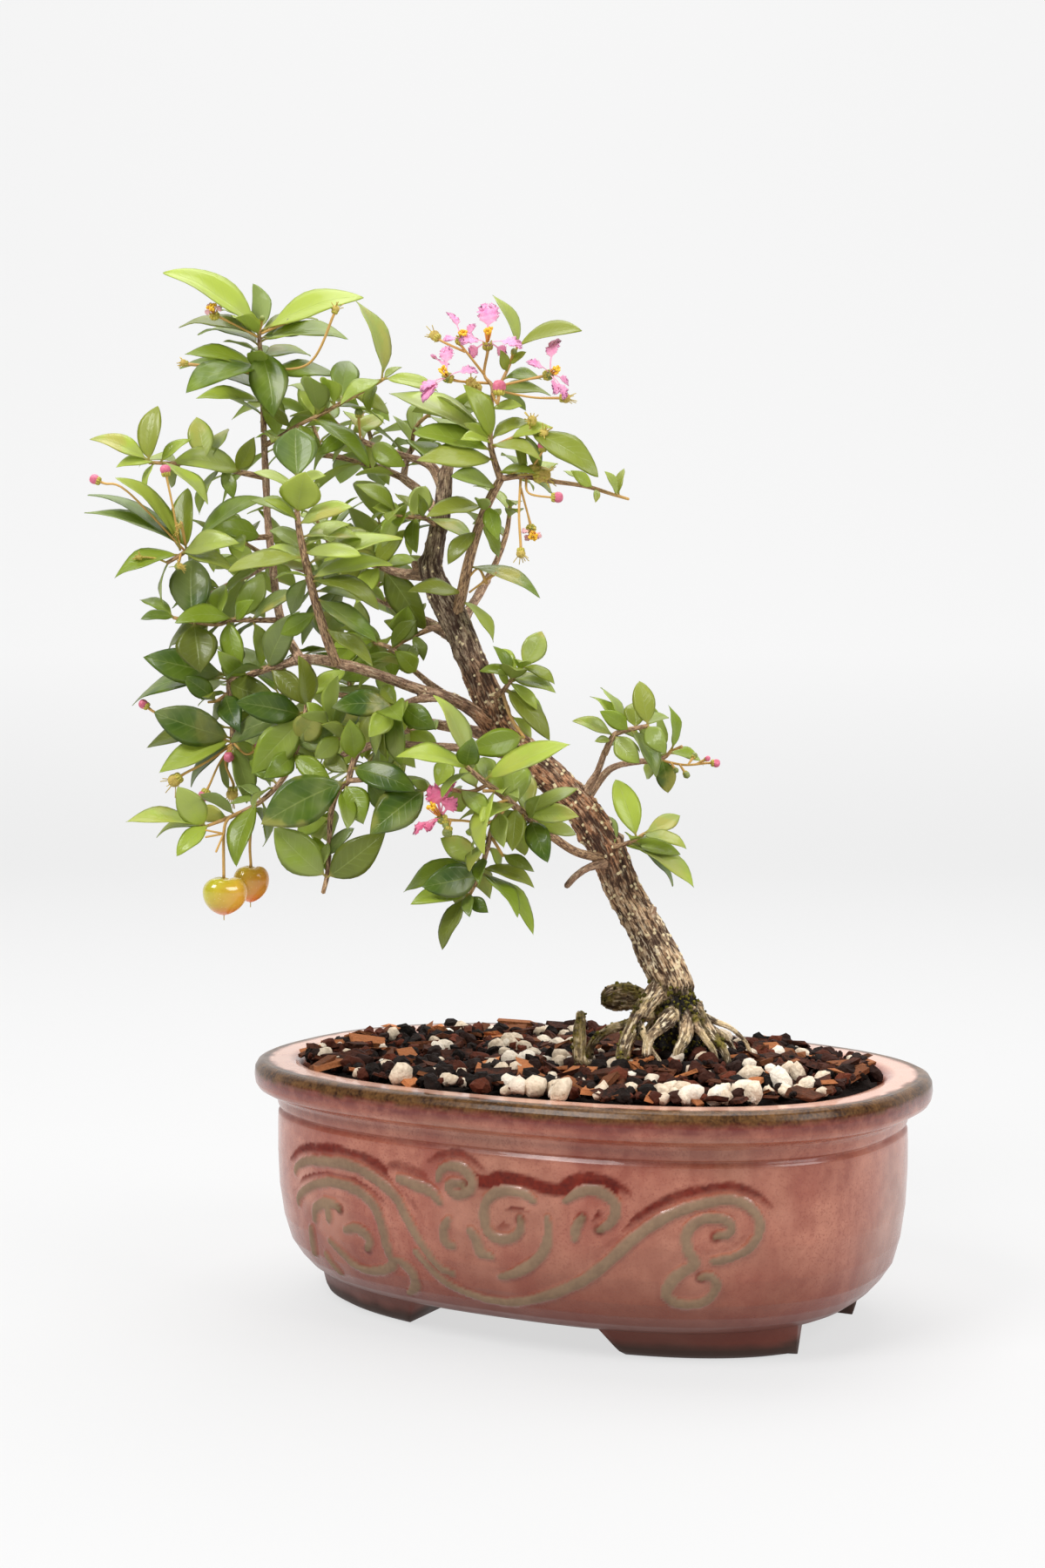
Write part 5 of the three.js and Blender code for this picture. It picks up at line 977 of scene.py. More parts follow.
def bark_relief(far, angle, thick, seed):
    """Long fissures: ridges 1 - |noise| over (round * radius, along / 5), with plates and grain."""
    c, s = np.cos(angle) * thick, np.sin(angle) * thick

    def cloud(across, along, number):
        """Noise on the wood, stretched along it."""
        return lattice_noise(np.column_stack([c / across, s / across, far / along]), seed + number)

    far = far + 0.8 * cloud(3, 3, 3)
    ridge, fine = 1 - np.abs(cloud(1.0, 5.5, 0)) * 1.7, 1 - np.abs(cloud(0.5, 2.2, 2)) * 1.6
    return 0.55 * ridge + 0.4 * cloud(2.4, 4.2, 1) + 0.4 * fine


def bumps(places, candidates, count, radius, seed):
    """Round bumps at drawn places: exp(-(distance / radius)^2) to the nearest one."""
    rng = np.random.default_rng(seed)
    spots = places[rng.choice(candidates, count, replace=False)]
    gap, _ = nearest(places, spots)
    return np.exp(-(gap / radius) ** 2)


def sampled(rows, step=0.8):
    """A path of wood as places and radii."""
    return smooth_path(wood_rows(rows), step)


far, angle, thick = wood_places(skin, [TRUNK, *ROOTS.values(), *LIMBS.values()])
level = skin[:, 2]
relief = bark_relief(far, angle, thick, 31)
on_trunk, on_limbs = (
    np.flatnonzero((thick > least) & (level > low) & (level < high))
    for least, low, high in ((3.4, 98, 182), (1.6, 176, 230)))
lenticels = np.maximum(bumps(skin, on_trunk, 400, 0.5, 34), bumps(skin, on_limbs, 90, 0.42, 36))
scars = bumps(skin, np.flatnonzero((thick > 3) & (level > 100)), 9, 1.3, 35)
root_paths = np.vstack([sampled(rows) for rows in ROOTS.values()])
root_gap, root_which = nearest(skin, root_paths[:, :3])
patch = lattice_noise(skin / 4.5, 41) + 0.5 * lattice_noise(skin / 1.4, 42)
shade = clip01((root_gap - root_paths[root_which, 3] * 1.12) / 0.7) * clip01((96 + 2 * patch - level) / 4)
depth = np.clip(0.15 * thick, 0.12, 0.72) * (1 + 0.7 * clip01((98 - level) / 8))
push = (relief - 0.35) * depth + 0.32 * lenticels + 1.1 * scars - 1.6 * shade
bark_skin = skin + skin_normals * push[:, None]
MOSSY_ROOTS = "mossyRight", "mossyLeft", "frontLeft", "knob", "smallRight", "uprightStub", "backLeft"
mossy = np.vstack([sampled(ROOTS[name]) for name in MOSSY_ROOTS])
near_root, which_root = nearest(skin, mossy[:, :3])
off_root = clip01(1.3 - (near_root - mossy[which_root, 3]) / 1.2)
moss = off_root * np.clip(skin_normals[:, 2] + 0.8, 0.2, 1) * clip01(patch + 0.45) * 1.5
marks = dict(relief=relief, moss=clip01(moss), thick=clip01(thick / 6), dot=lenticels, shade=shade,
             root=clip01((100 - level) / 12), grain=grain_place(angle, thick, far))
print("relief from", np.round(relief.min(), 2), "to", np.round(relief.max(), 2))

# %% [markdown]
# The bark's colour follows the relief: dark in the fissures, partly the bark's own darker tone there and
# partly painted shade, and paler on the ridges. Cream lenticels, the dots through which bark breathes, lie
# on the bumps of the relief. The trunk is pale low down, red-brown in its middle and grey above. The roots
# are a paler tan, with yellow-green moss on their upper sides, darker olive-brown low down, and painted
# shade in the hollows between them.

# %% Bark finish
CREAM, GREY_BARK, CRACK_AND_SHADE = rgb(255, 220, 174), rgb(178, 154, 128), rgb(64, 38, 25)


def bark_finish():
    """Tones by height, then young wood, pale and stained roots, an olive-brown tone low down, cracks that are
    partly painted shade, fibres, dots, moss and painted shade between the roots, each mixed over what comes
    before it."""
    f = Finish("bark", 0.85)
    along = f.mark("grain", "Vector")
    fibres = f.noise(1700, 5, along)
    place = f.height()
    height = f.math("ADD", place, f.math("MULTIPLY", f.noise(60, 3), 0.03))
    middle, upper = (f.ramp(height, low, low + 0.02) for low in (0.128, 0.19))
    pale, red, grey = (f.mottle(a, b, 800, 3000, 0.6, along)[0] for a, b in (
        (CREAM, rgb(140, 96, 62)), (rgb(222, 162, 118), rgb(132, 80, 52)), (GREY_BARK, rgb(96, 76, 60))))
    tone = f.mix(upper, f.mix(middle, pale, red), grey)
    tone = f.mix(f.ramp(f.noise(80, 4), 0.48, 0.64, 0.0, 0.5), tone, grey)
    thin, _ = f.mottle(rgb(222, 184, 150), rgb(124, 84, 62), 2600, 7000, 0.6, along)
    tone = f.mix(f.ramp(f.mark("thick"), 0.2, 0.45, 1.0, 0.0), tone, thin)
    tone = f.mix(f.patchy(f.mark("root"), 110, 4, 0.36, 0.54, 0.25), tone, rgb(250, 222, 170))
    tone = f.mix(f.patchy(f.mark("root"), 240, 5, 0.5, 0.6, 0.0, 0.9), tone, rgb(52, 36, 24))
    # Darker olive-brown towards the bottom of the roots.
    olive_brown_low_down = f.patchy(f.ramp(place, 0.072, 0.086, 0.9, 0.0), 190, 4, 0.36, 0.56, 0.0)
    tone = f.mix(olive_brown_low_down, tone, rgb(84, 64, 30))
    worn = f.ramp(f.mark("thick"), 0.2, 0.4, 0.4, 1.0)
    # Cracks: partly the bark's darker tone in its fissures, partly painted shade where the relief sinks.
    cracks_and_shade = f.math("MULTIPLY", f.ramp(f.mark("relief"), 0.1, 0.66, 1.0, 0.0), f.math("MULTIPLY", worn, 0.88))
    tone = f.mix(cracks_and_shade, tone, CRACK_AND_SHADE)
    tone = f.mix(f.math("MULTIPLY", f.ramp(fibres, 0.4, 0.5, 0.85, 0.0), worn), tone, rgb(58, 34, 22))
    shine = f.math("MULTIPLY", f.ramp(fibres, 0.54, 0.61, 0.0, 0.95),
                   f.math("SUBTRACT", 1.0, f.math("MULTIPLY", middle, 0.7)))
    tone = f.mix(f.patchy(shine, 170, 3, 0.4, 0.55, 0.35), tone, rgb(255, 236, 202))
    tone = f.mix(f.ramp(f.noise(900, 5), 0.36, 0.45, 0.45, 0.0), tone, rgb(66, 44, 32))
    tone = f.mix(f.ramp(f.mark("dot"), 0.3, 0.55), tone, rgb(244, 224, 180))
    tone = f.mix(f.mark("moss"), tone, f.mottle(rgb(150, 132, 52), rgb(58, 46, 20), 300, 1200, 0.5)[0])
    f.colour(f.mix(f.mark("shade"), tone, rgb(22, 16, 12)))
    f.bump(f.math("ADD", fibres, f.noise(1100, 5)), 1.0, 0.0006)
    return f.material


BARK = bark_finish()
piece("trunk_bark", bark_skin, skin_faces, BARK, "bark", ["trunk"], marks=marks)
print("trunk and limbs stand", np.round(bark_skin.min(0)), np.round(bark_skin.max(0)))

# %% [markdown]
# Between the roots sit crumbs of soil and moss. They are strewn on the skin itself: on the
# mossy roots and in the shaded hollows, half sunk along the skin's own direction.

# %% Moss and crumbs on the roots
def strewn(skin_at, outward, form, form_faces, size, seed):
    """Small lumps at given skin places: form * size * jitter, moved out by a third of the size."""
    rng = np.random.default_rng(seed)
    big = size[0] + (size[1] - size[0]) * rng.uniform(0, 1, len(skin_at)) ** 2
    shape = form[None] * big[:, None, None] * (1 + 0.3 * rng.uniform(-1, 1, (len(skin_at), len(form), 3)))
    places = shape + (skin_at + outward * big[:, None] * 0.3)[:, None]
    tint = np.repeat(rng.uniform(0, 1, len(skin_at)) ** 2, len(form))
    return *stamped(places, form_faces), tint


rng = np.random.default_rng(61)
MOSS = soil_finish("moss", rgb(74, 66, 26), rgb(26, 24, 12), rgb(150, 142, 56), 0.95)
chance = clip01(1.4 * moss) * 0.04 + shade * 0.14
chosen = np.flatnonzero((rng.uniform(0, 1, len(skin)) < chance) & (level > 71) & (level < 100))
lumps, lump_faces, tint = strewn(bark_skin[chosen], skin_normals[chosen], LUMP, LUMP_FACES, (0.22, 0.8), 62)
piece("root_moss", lumps, lump_faces, MOSS, "soil", marks=dict(tint=tint), flat=True)
print(len(chosen), "crumbs on the roots")

# %% [markdown]
# ## Shoots and leaves
# Leaves of this species grow in opposite pairs on thin twigs. The ones that the photograph
# shows are rows of a table: foot, tip and seen width in pixels. The ones behind them are set
# by a rule with seeded draws, a quarter turn from pair to pair. A leaf that would meet
# another twig or leaf is bent until it is clear, so the order of placing matters.

# %% Tables of the shoots
# Stems are rows as for wood. A leaf is its foot's and its tip's pixel, the width seen in
# pixels and how much nearer the tip is in millimetres. Small leaves are this finish's own.
# The rule's fill is pairs of leaves a stem, their length and the draws' seed.
SHOOTS = {
    "apex_shoot": {
        "stems": [[(303, 496, -20, 1), (302, 455, -18, 0.9), (300, 418, -16, 0.8), (298, 392, -15, 0.7),
             (297, 376, -14, 0.5)], [(298, 388, -15, 0.35), (272, 374, -10, 0.3), (246, 361, -8, 0.45)],
            [(301, 430, -16, 0.4), (250, 422, -8, 0.35), (216, 418, -4, 1.3), (212, 417, -4, 0.8)],
            [(300, 425, -16, 0.4), (355, 417, -9, 0.35), (383, 362, -6, 0.4), (385, 356, -6, 1.4)],
            [(298, 382, -15, 0.35), (301, 366, -12, 0.8)], [(298, 384, -15, 0.35), (331, 369, -10, 0.8)]],
        "leaves": [(297, 380, 190, 309, 30, 4), (303, 385, 415, 337, 28, 3), (300, 378, 292, 327, -24, -9),
            (296, 388, 205, 373, 16, -8), (298, 398, 227, 381, 14, -14), (299, 430, 213, 405, 18, 5),
            (299, 436, 207, 418, 14, 0), (300, 450, 223, 432, 16, -9), (300, 424, 214, 447, 12, 12),
            (301, 464, 226, 454, 15, 6), (297, 380, 255, 355, 13, -8), (299, 400, 314, 479, 46, 9),
            (301, 438, 321, 500, 26, -10), (299, 390, 358, 381, 15, -7), (299, 393, 399, 386, 18, 7),
            (298, 382, 365, 365, 12, -10), (300, 412, 357, 406, 14, -12), (300, 432, 385, 430, 20, -3)],
        "small": [], "fill": (1, 22, 11)},
    "apex_right_twig": {
        "stems": [[(303, 512, -20, 0.9), (324, 500, -17, 0.7), (343, 488, -13, 0.6), (370, 475, -10, 0.6),
             (391, 463, -7, 0.6), (428, 443, -3, 0.5), (441, 435, 0, 0.4)]],
        "leaves": [(436, 433, 411, 343, 22, -4), (391, 461, 401, 412, 34, -9), (438, 436, 391, 459, 16, 9),
            (441, 436, 503, 447, 16, 0), (358, 483, 425, 533, 18, 7), (384, 466, 351, 441, 16, -12),
            (405, 455, 447, 474, 18, -9)],
        "small": [(432, 441, 424, 472, 14, 6), (440, 434, 461, 421, 8, -2), (362, 480, 343, 447, 12, -6),
            (365, 478, 373, 440, 16, 4), (335, 494, 300, 468, 14, 9)],
        "fill": (1, 19, 12)},
    "crown_left_shoot": {
        "stems": [[(436, 514, -13, 0.9), (418, 507, -15, 0.8), (400, 497, -17, 0.7), (385, 485, -19, 0.6),
             (372, 468, -22, 0.5)], [(414, 506, -15, 0.35), (412, 482, -10, 0.4), (412, 475, -10, 1.2)]],
        "leaves": [(426, 510, 463, 534, 26, 3), (400, 497, 366, 520, 20, 6), (385, 485, 350, 462, 16, -10),
            (403, 498, 440, 478, 20, -8), (418, 507, 395, 470, 18, -10), (372, 468, 330, 440, 16, -9)],
        "small": [(418, 508, 428, 539, 12, 5)],
        "fill": (1, 21, 13)},
    "right_branch_shoot": {
        "stems": [[(520, 712, 1, 2), (527, 695, 3, 1.7), (531, 678, 5, 1.6), (537, 650, 8, 1.5),
             (545, 620, 10, 1.4), (555, 590, 12, 1.3), (565, 568, 12, 1.3), (575, 550, 12, 1.1)],
            [(575, 550, 12, 1.1), (568, 530, 12, 0.9), (563, 508, 12, 0.8), (564, 486, 12, 0.6)],
            [(564, 514, 12, 0.5), (590, 502, 14, 0.5), (608, 497, 15, 0.4)],
            [(539, 680, 5, 0.3), (555, 668, 8, 0.3), (570, 658, 9, 0.7)],
            [(534, 668, 6, 0.4), (549, 653, 9, 0.3), (559, 670, 9, 0.6)]],
        "leaves": [(562, 510, 447, 452, 26, -11), (560, 506, 476, 470, -18, -17),
            (563, 520, 475, 496, 24, 3), (565, 530, 479, 528, 27, 10), (563, 505, 535, 441, 24, 6),
            (563, 512, 621, 525, 15, 10), (606, 497, 687, 546, 30, 4), (560, 580, 572, 620, 20, 4),
            (539, 652, 621, 684, 15, 3), (558, 584, 489, 594, 20, 8), (548, 610, 514, 646, 20, 5),
            (531, 681, 470, 676, 18, 10), (531, 690, 569, 734, 13, 2), (567, 560, 520, 545, 18, 12),
            (567, 545, 616, 560, 14, -10)],
        "small": [(562, 510, 530, 503, 10, 8), (562, 506, 532, 486, 12, -5), (603, 499, 620, 539, -15, -2),
            (590, 502, 601, 541, 12, 6), (574, 543, 613, 540, 11, 5), (552, 600, 573, 640, 14, -5),
            (565, 506, 611, 484, 16, -6), (585, 503, 634, 489, 14, 2)],
        "fill": (1, 20, 14)},
    "right_long_twig": {
        "stems": [[(577, 549, 13, 0.9), (600, 547, 12, 0.7), (630, 552, 11, 0.7), (660, 556, 10, 0.6),
             (680, 560, 9, 0.6), (702, 567, 8, 0.5), (722, 573, 7, 0.4)],
            [(600, 547, 12, 0.4), (612, 535, 14, 0.3), (623, 518, 15, 0.3), (623, 513, 15, 1.4)],
            [(604, 548, 12, 0.4), (607, 566, 15, 0.3), (633, 571, 17, 0.3), (639, 571, 17, 1.5)],
            [(598, 547, 12, 0.4), (596, 590, 15, 0.35), (598, 626, 16, 0.4), (598, 634, 16, 1.6)],
            [(598, 560, 13, 0.35), (606, 590, 12, 0.3), (610, 606, 12, 0.9)]],
        "leaves": [(600, 547, 577, 520, 14, -12)],
        "small": [(680, 560, 655, 540, 14, 4), (678, 560, 647, 541, 8, -6), (684, 561, 684, 576, 8, 3),
            (711, 569, 717, 538, 11, -4), (708, 568, 695, 541, 9, 4), (612, 549, 640, 530, 14, -9),
            (606, 548, 634, 566, 12, -7)],
        "fill": (0, 18, 15)},
    "blossom_spray": {
        "stems": [[(564, 487, 12, 0.6), (565, 462, 11, 0.6), (565, 443, 10, 0.6), (556, 430, 9, 0.4),
             (560, 404, 9, 0.45), (560, 397, 9, 1.5)],
            [(556, 430, 9, 0.4), (534, 402, 12, 0.35), (529, 396, 12, 0.45), (529, 391, 12, 1.2)],
            [(562, 440, 9, 0.4), (530, 438, 14, 0.35), (520, 436, 15, 0.45), (515, 434, 15, 1.4)],
            [(565, 445, 10, 0.4), (604, 436, 13, 0.35), (623, 432, 14, 0.45), (629, 431, 14, 1.4)],
            [(534, 404, 12, 0.35), (508, 392, 10, 0.35), (500, 386, 9, 1.8)],
            [(565, 447, 10, 0.35), (610, 456, 12, 0.3), (640, 457, 13, 0.4), (648, 457, 13, 1.7)],
            [(565, 452, 11, 0.3), (571, 464, 14, 0.4), (572, 460, 14, 1.7), (573, 451, 14, 1.9),
             (573, 446, 14, 0.8)], [(565, 458, 11, 0.5), (580, 430, 7, 0.5), (594, 398, 5, 0.4)],
            [(585, 418, 6, 0.3), (590, 404, 9, 0.9)]],
        "leaves": [(593, 398, 566, 339, 20, -3), (594, 400, 668, 380, 18, 5), (570, 450, 633, 452, 14, -6)],
        "small": [(582, 426, 575, 402, 12, -7), (585, 418, 604, 404, 9, 7), (564, 470, 600, 466, 12, 7),
            (578, 436, 623, 433, 14, -8), (564, 474, 532, 462, 14, -10)],
        "fill": (0, 18, 16)},
    "left_high_shoot": {
        "stems": [[(305, 548, -20, 1), (270, 541, -16, 0.8), (235, 532, -10, 0.7), (200, 532, -6, 0.6),
             (171, 531, -2, 0.5)]],
        "leaves": [(170, 530, 181, 466, 26, -3), (170, 531, 105, 501, 20, 4), (235, 531, 225, 478, 30, -4),
            (278, 541, 202, 527, 28, 9), (186, 532, 239, 578, 15, 11), (240, 533, 262, 492, 18, -10),
            (272, 541, 292, 502, 22, 7)],
        "small": [(208, 532, 196, 560, 14, -8), (178, 532, 134, 533, 12, 8), (184, 532, 217, 502, 13, -8),
            (256, 536, 268, 572, 18, 6)],
        "fill": (1, 20, 17)},
    "left_mid_shoot": {
        "stems": [[(310, 616, -18, 0.9), (262, 620, -8, 0.7), (228, 624, 0, 0.7), (206, 638, 5, 0.6),
             (192, 646, 6, 0.6)],
            [(207, 632, 4, 0.35), (200, 590, 6, 0.3), (192, 551, 7, 0.35), (190, 541, 7, 1.5)],
            [(212, 632, 3, 0.35), (146, 564, 12, 0.3), (120, 555, 13, 0.35), (110, 551, 13, 1.4)],
            [(208, 636, 5, 0.3), (204, 650, 9, 0.9)], [(214, 630, 2, 0.3), (208, 600, 9, 0.7)]],
        "leaves": [(206, 630, 102, 566, 15, -5), (208, 628, 97, 589, 12, 3), (204, 634, 136, 546, 26, 8),
            (206, 636, 131, 661, 20, 4), (209, 636, 272, 621, 25, 9), (214, 632, 216, 561, 28, -6),
            (226, 625, 301, 569, 20, 5), (300, 617, 243, 606, 26, 8), (210, 637, 268, 653, 16, 6),
            (262, 620, 290, 652, 20, 7), (278, 618, 252, 586, 20, -9)],
        "small": [(240, 622, 215, 655, 16, -8)],
        "fill": (1, 20, 18)},
    "front_shoot": {
        "stems": [[(386, 762, 27, 1.4), (376, 735, 31, 1.4), (368, 710, 33, 1.3), (358, 675, 36, 1.2),
             (350, 640, 38, 1.1), (343, 605, 40, 0.9), (341, 580, 40, 0.7), (342, 552, 39, 0.5)]],
        "leaves": [(341, 588, 350, 544, 45, 7), (342, 550, 340, 491, 48, -5), (342, 598, 288, 572, 16, -6),
            (343, 603, 404, 581, 18, 2), (346, 630, 400, 597, 18, -7), (348, 636, 414, 638, 17, 6),
            (349, 642, 262, 655, 19, 6), (346, 618, 420, 616, 16, -10), (352, 650, 462, 617, 20, -9),
            (356, 666, 450, 645, 20, -3), (357, 668, 435, 694, 18, 8), (359, 680, 437, 693, 16, -8),
            (361, 688, 433, 739, 22, 6), (374, 722, 428, 765, 18, 8), (355, 662, 334, 706, 20, -6),
            (352, 650, 300, 630, 18, -9), (366, 702, 322, 728, 22, -5)],
        "small": [(342, 553, 374, 546, 12, 8), (341, 563, 292, 541, 11, 2), (343, 600, 303, 573, 14, 6),
            (347, 634, 310, 605, 18, -5)],
        "fill": (1, 21, 19)},
    "crown_inner_shoot": {
        "stems": [[(504, 606, -3, 0.9), (487, 594, 3, 0.7), (470, 594, 6, 0.6), (452, 590, 7, 0.5)]],
        "leaves": [(455, 591, 408, 554, 19, -3), (472, 594, 488, 558, 28, -6), (490, 596, 543, 623, 15, 9),
            (455, 591, 440, 626, 20, 5)],
        "small": [(486, 594, 482, 568, 12, 6), (468, 594, 427, 581, 16, 7), (480, 594, 455, 566, 14, -10),
            (478, 594, 476, 632, 18, 7)],
        "fill": (1, 19, 20)},
    "left_limb_shoot": {
        "stems": [[(444, 653, -13, 1), (426, 648, -15, 0.8), (410, 640, -17, 0.6), (398, 625, -20, 0.5)]],
        "leaves": [(440, 652, 487, 723, 38, 10), (430, 649, 465, 608, 22, 6), (426, 648, 402, 600, 22, -6),
            (418, 645, 440, 612, 20, -9), (414, 643, 386, 672, 22, 5), (436, 651, 410, 690, 24, 8)],
        "small": [(412, 641, 372, 615, 18, 6), (400, 630, 370, 648, 18, -6), (440, 652, 478, 640, 16, -8)],
        "fill": (1, 20, 21)},
    "inner_shoot_high": {
        "stems": [[(494, 722, -9, 0.9), (478, 729, -13, 0.7), (462, 737, -17, 0.6), (445, 750, -21, 0.6),
             (430, 762, -25, 0.5)]],
        "leaves": [(464, 736, 467, 698, 34, 8), (446, 749, 408, 730, 20, 8), (432, 760, 392, 780, 24, 6),
            (432, 760, 418, 716, 24, -6)],
        "small": [(476, 730, 487, 756, 15, 7), (474, 731, 486, 690, 18, -9), (448, 748, 452, 778, 20, 5)],
        "fill": (1, 20, 22)},
    "inner_shoot_low": {
        "stems": [[(490, 782, 4, 0.9), (470, 765, -1, 0.8), (450, 745, -5, 0.7), (430, 737, -8, 0.6),
             (410, 725, -12, 0.5)]],
        "leaves": [(478, 772, 455, 748, 24, 7), (430, 737, 382, 742, 22, 8), (430, 737, 432, 770, 20, -7),
            (412, 726, 380, 700, 20, -6), (414, 727, 384, 762, 24, 4)],
        "small": [(468, 763, 476, 740, 14, -8), (450, 745, 478, 712, 18, 6)],
        "fill": (1, 19, 23)},
    "left_twig_shoot": {
        "stems": [[(322, 712, -2, 0.9), (290, 712, 0, 0.7), (265, 712, 2, 0.7), (250, 717, 3, 0.6),
             (222, 714, 5, 0.6), (199, 709, 6, 0.5)]],
        "leaves": [(222, 713, 221, 640, 48, -6), (268, 711, 203, 711, 22, 9), (223, 715, 230, 771, 48, 5),
            (268, 711, 302, 659, 30, -5), (290, 712, 342, 678, 16, 6), (262, 713, 276, 766, 26, 4),
            (290, 712, 299, 764, 20, -6), (246, 717, 190, 742, 18, -10), (250, 716, 254, 668, 22, -8)],
        "small": [(199, 709, 161, 688, 14, -4), (200, 710, 162, 709, 12, 4), (272, 711, 288, 690, 16, 8)],
        "fill": (1, 20, 24)},
    "left_low_shoot": {
        "stems": [[(322, 763, 10, 1.2), (300, 770, 6, 1.1), (280, 778, 3, 1), (264, 784, 1, 1),
             (267, 815, 3, 0.9), (267, 840, 4, 0.8), (266, 858, 6, 0.6)],
            [(264, 786, 1, 0.8), (259, 768, -1, 0.6)],
            [(265, 794, 1, 0.7), (250, 804, 4, 0.5), (239, 806, 5, 0.4)],
            [(266, 852, 6, 0.4), (215, 834, -3, 0.3), (180, 819, -4, 0.35), (166, 809, -4, 1.4)],
            [(266, 858, 6, 0.4), (263, 868, 9, 1.5)],
            [(267, 852, 5, 0.4), (283, 866, 9, 0.3), (297, 858, 10, 1.6)],
            [(266, 856, 6, 0.4), (252, 876, 10, 0.3), (241, 900, 12, 0.35), (235, 912, 12, 1.6)],
            [(266, 855, 6, 0.4), (240, 873, 10, 0.35), (212, 888, 13, 0.4), (202, 895, 13, 2.3)],
            [(266, 857, 6, 0.4), (259, 876, 5, 0.35), (268, 900, 4, 0.4), (267, 910, 4, 2.1)]],
        "leaves": [(308, 767, 341, 703, 33, 5), (314, 765, 353, 711, 26, -6), (310, 767, 349, 807, 26, 5),
            (262, 776, 165, 754, 40, 6), (262, 780, 150, 806, 22, -8), (248, 804, 211, 777, 24, 3),
            (263, 783, 314, 799, 34, 9), (267, 848, 178, 818, 44, 7), (267, 836, 169, 859, 24, -6),
            (267, 851, 183, 887, 26, 8), (266, 856, 284, 922, 26, 3), (267, 848, 315, 900, 20, 8),
            (266, 854, 217, 902, 15, -7), (268, 820, 305, 836, 26, -6), (259, 770, 276, 742, 20, -9),
            (284, 776, 250, 748, 22, 7)],
        "small": [(267, 806, 243, 826, 16, -9)],
        "fill": (1, 21, 25)},
    "fruit_shoot": {
        "stems": [[(355, 778, 15, 1), (355, 800, 15, 0.9), (346, 838, 17, 0.9), (330, 886, 20, 0.8),
             (302, 918, 22, 0.7), (269, 936, 24, 0.6), (233, 950, 24, 0.4)],
            [(277, 932, 24, 0.5), (262, 940, 25, 0.45), (257, 957, 26, 0.45), (257, 1003, 26, 0.45),
             (257, 1008, 26, 0.7)],
            [(290, 924, 23, 0.5), (287, 968, 17, 0.4), (288, 991, 17, 0.4), (288, 995, 17, 0.6)],
            [(257, 957, 26, 0.3), (236, 961, 29, 0.3)], [(257, 957, 26, 0.3), (236, 953, 28, 0.25)],
            [(257, 957, 26, 0.3), (248, 978, 30, 0.3)]],
        "leaves": [(353, 812, 345, 754, 17, 5), (350, 822, 271, 806, 35, 7), (349, 824, 289, 888, 42, 3),
            (350, 818, 262, 850, 28, -6), (343, 850, 366, 816, 34, 7), (341, 856, 385, 838, 30, 3),
            (338, 864, 304, 892, 27, 8), (338, 866, 379, 894, 24, 6), (236, 949, 204, 904, 32, 4),
            (234, 950, 139, 941, 18, 6), (236, 949, 178, 956, 11, -5), (240, 948, 203, 980, 20, 7),
            (262, 939, 230, 932, 20, -7), (296, 921, 270, 993, 26, 7), (318, 900, 286, 872, 22, -7),
            (352, 800, 396, 770, 20, -5), (344, 845, 318, 812, 24, -9)],
        "small": [(290, 926, 304, 950, 10, -8), (300, 919, 306, 972, 11, -5), (300, 920, 270, 900, 12, -9)],
        "fill": (1, 20, 26)},
    "lower_limb_shoot": {
        "stems": [[(410, 864, 26, 1), (404, 880, 27, 0.9), (399, 898, 28, 0.8), (388, 908, 28, 0.8),
             (380, 935, 27, 0.8), (378, 970, 27, 0.7), (376, 1003, 27, 0.7), (371, 1025, 27, 0.6)],
            [(407, 868, 26, 0.7), (392, 847, 25, 0.6), (374, 830, 24, 0.5)],
            [(401, 896, 28, 0.8), (418, 895, 29, 0.7), (432, 893, 29, 0.5)]],
        "leaves": [(400, 896, 300, 946, 54, 8), (404, 882, 476, 906, 32, 8), (396, 901, 417, 945, 34, 5),
            (390, 906, 399, 952, 20, 8), (380, 938, 340, 955, 22, -6), (375, 1007, 315, 950, 44, 5),
            (375, 1008, 442, 956, 40, 6), (406, 872, 401, 826, 28, 8), (408, 868, 463, 818, 34, -6),
            (390, 846, 362, 870, 24, -7), (378, 834, 412, 812, 24, -9), (420, 895, 448, 928, 26, -8),
            (402, 888, 372, 866, 22, -9)],
        "small": [(379, 966, 369, 994, 12, 7), (430, 893, 446, 906, 16, -5), (377, 984, 407, 951, 14, 6),
            (375, 1004, 361, 960, 18, -7), (376, 832, 352, 806, 18, -8)],
        "fill": (1, 20, 27)},
    "inner_fork_shoot": {
        "stems": [[(466, 808, 24, 0.9), (452, 812, 26, 0.8), (440, 818, 28, 0.5)]],
        "leaves": [(453, 811, 381, 812, 30, 6), (446, 815, 424, 846, 26, 8), (462, 809, 498, 835, 28, 7)],
        "small": [(450, 812, 462, 842, 24, 6), (456, 810, 438, 786, 18, -6)],
        "fill": (1, 19, 28)},
    "lower_back_shoot": {
        "stems": [[(498, 832, -34, 1.2), (470, 838, -26, 1), (440, 846, -18, 0.9), (405, 850, -12, 0.8),
             (365, 852, -8, 0.6)]],
        "leaves": [(470, 838, 505, 872, 30, 8), (440, 846, 476, 880, 28, 8), (440, 846, 425, 812, 26, 6),
            (405, 850, 372, 880, 30, 6), (405, 850, 385, 815, 28, 6), (452, 843, 430, 886, 26, -6),
            (368, 852, 330, 836, 22, 4), (368, 852, 340, 882, 26, -4)],
        "small": [(470, 838, 478, 812, 26, 6)],
        "fill": (1, 21, 29)},
    "front_low_shoot": {
        "stems": [[(690, 985, 4, 1.4), (662, 978, 12, 1.2), (638, 963, 20, 1.2), (607, 939, 28, 1.1),
             (579, 915, 33, 1), (552, 894, 36, 0.8), (533, 878, 38, 0.6)],
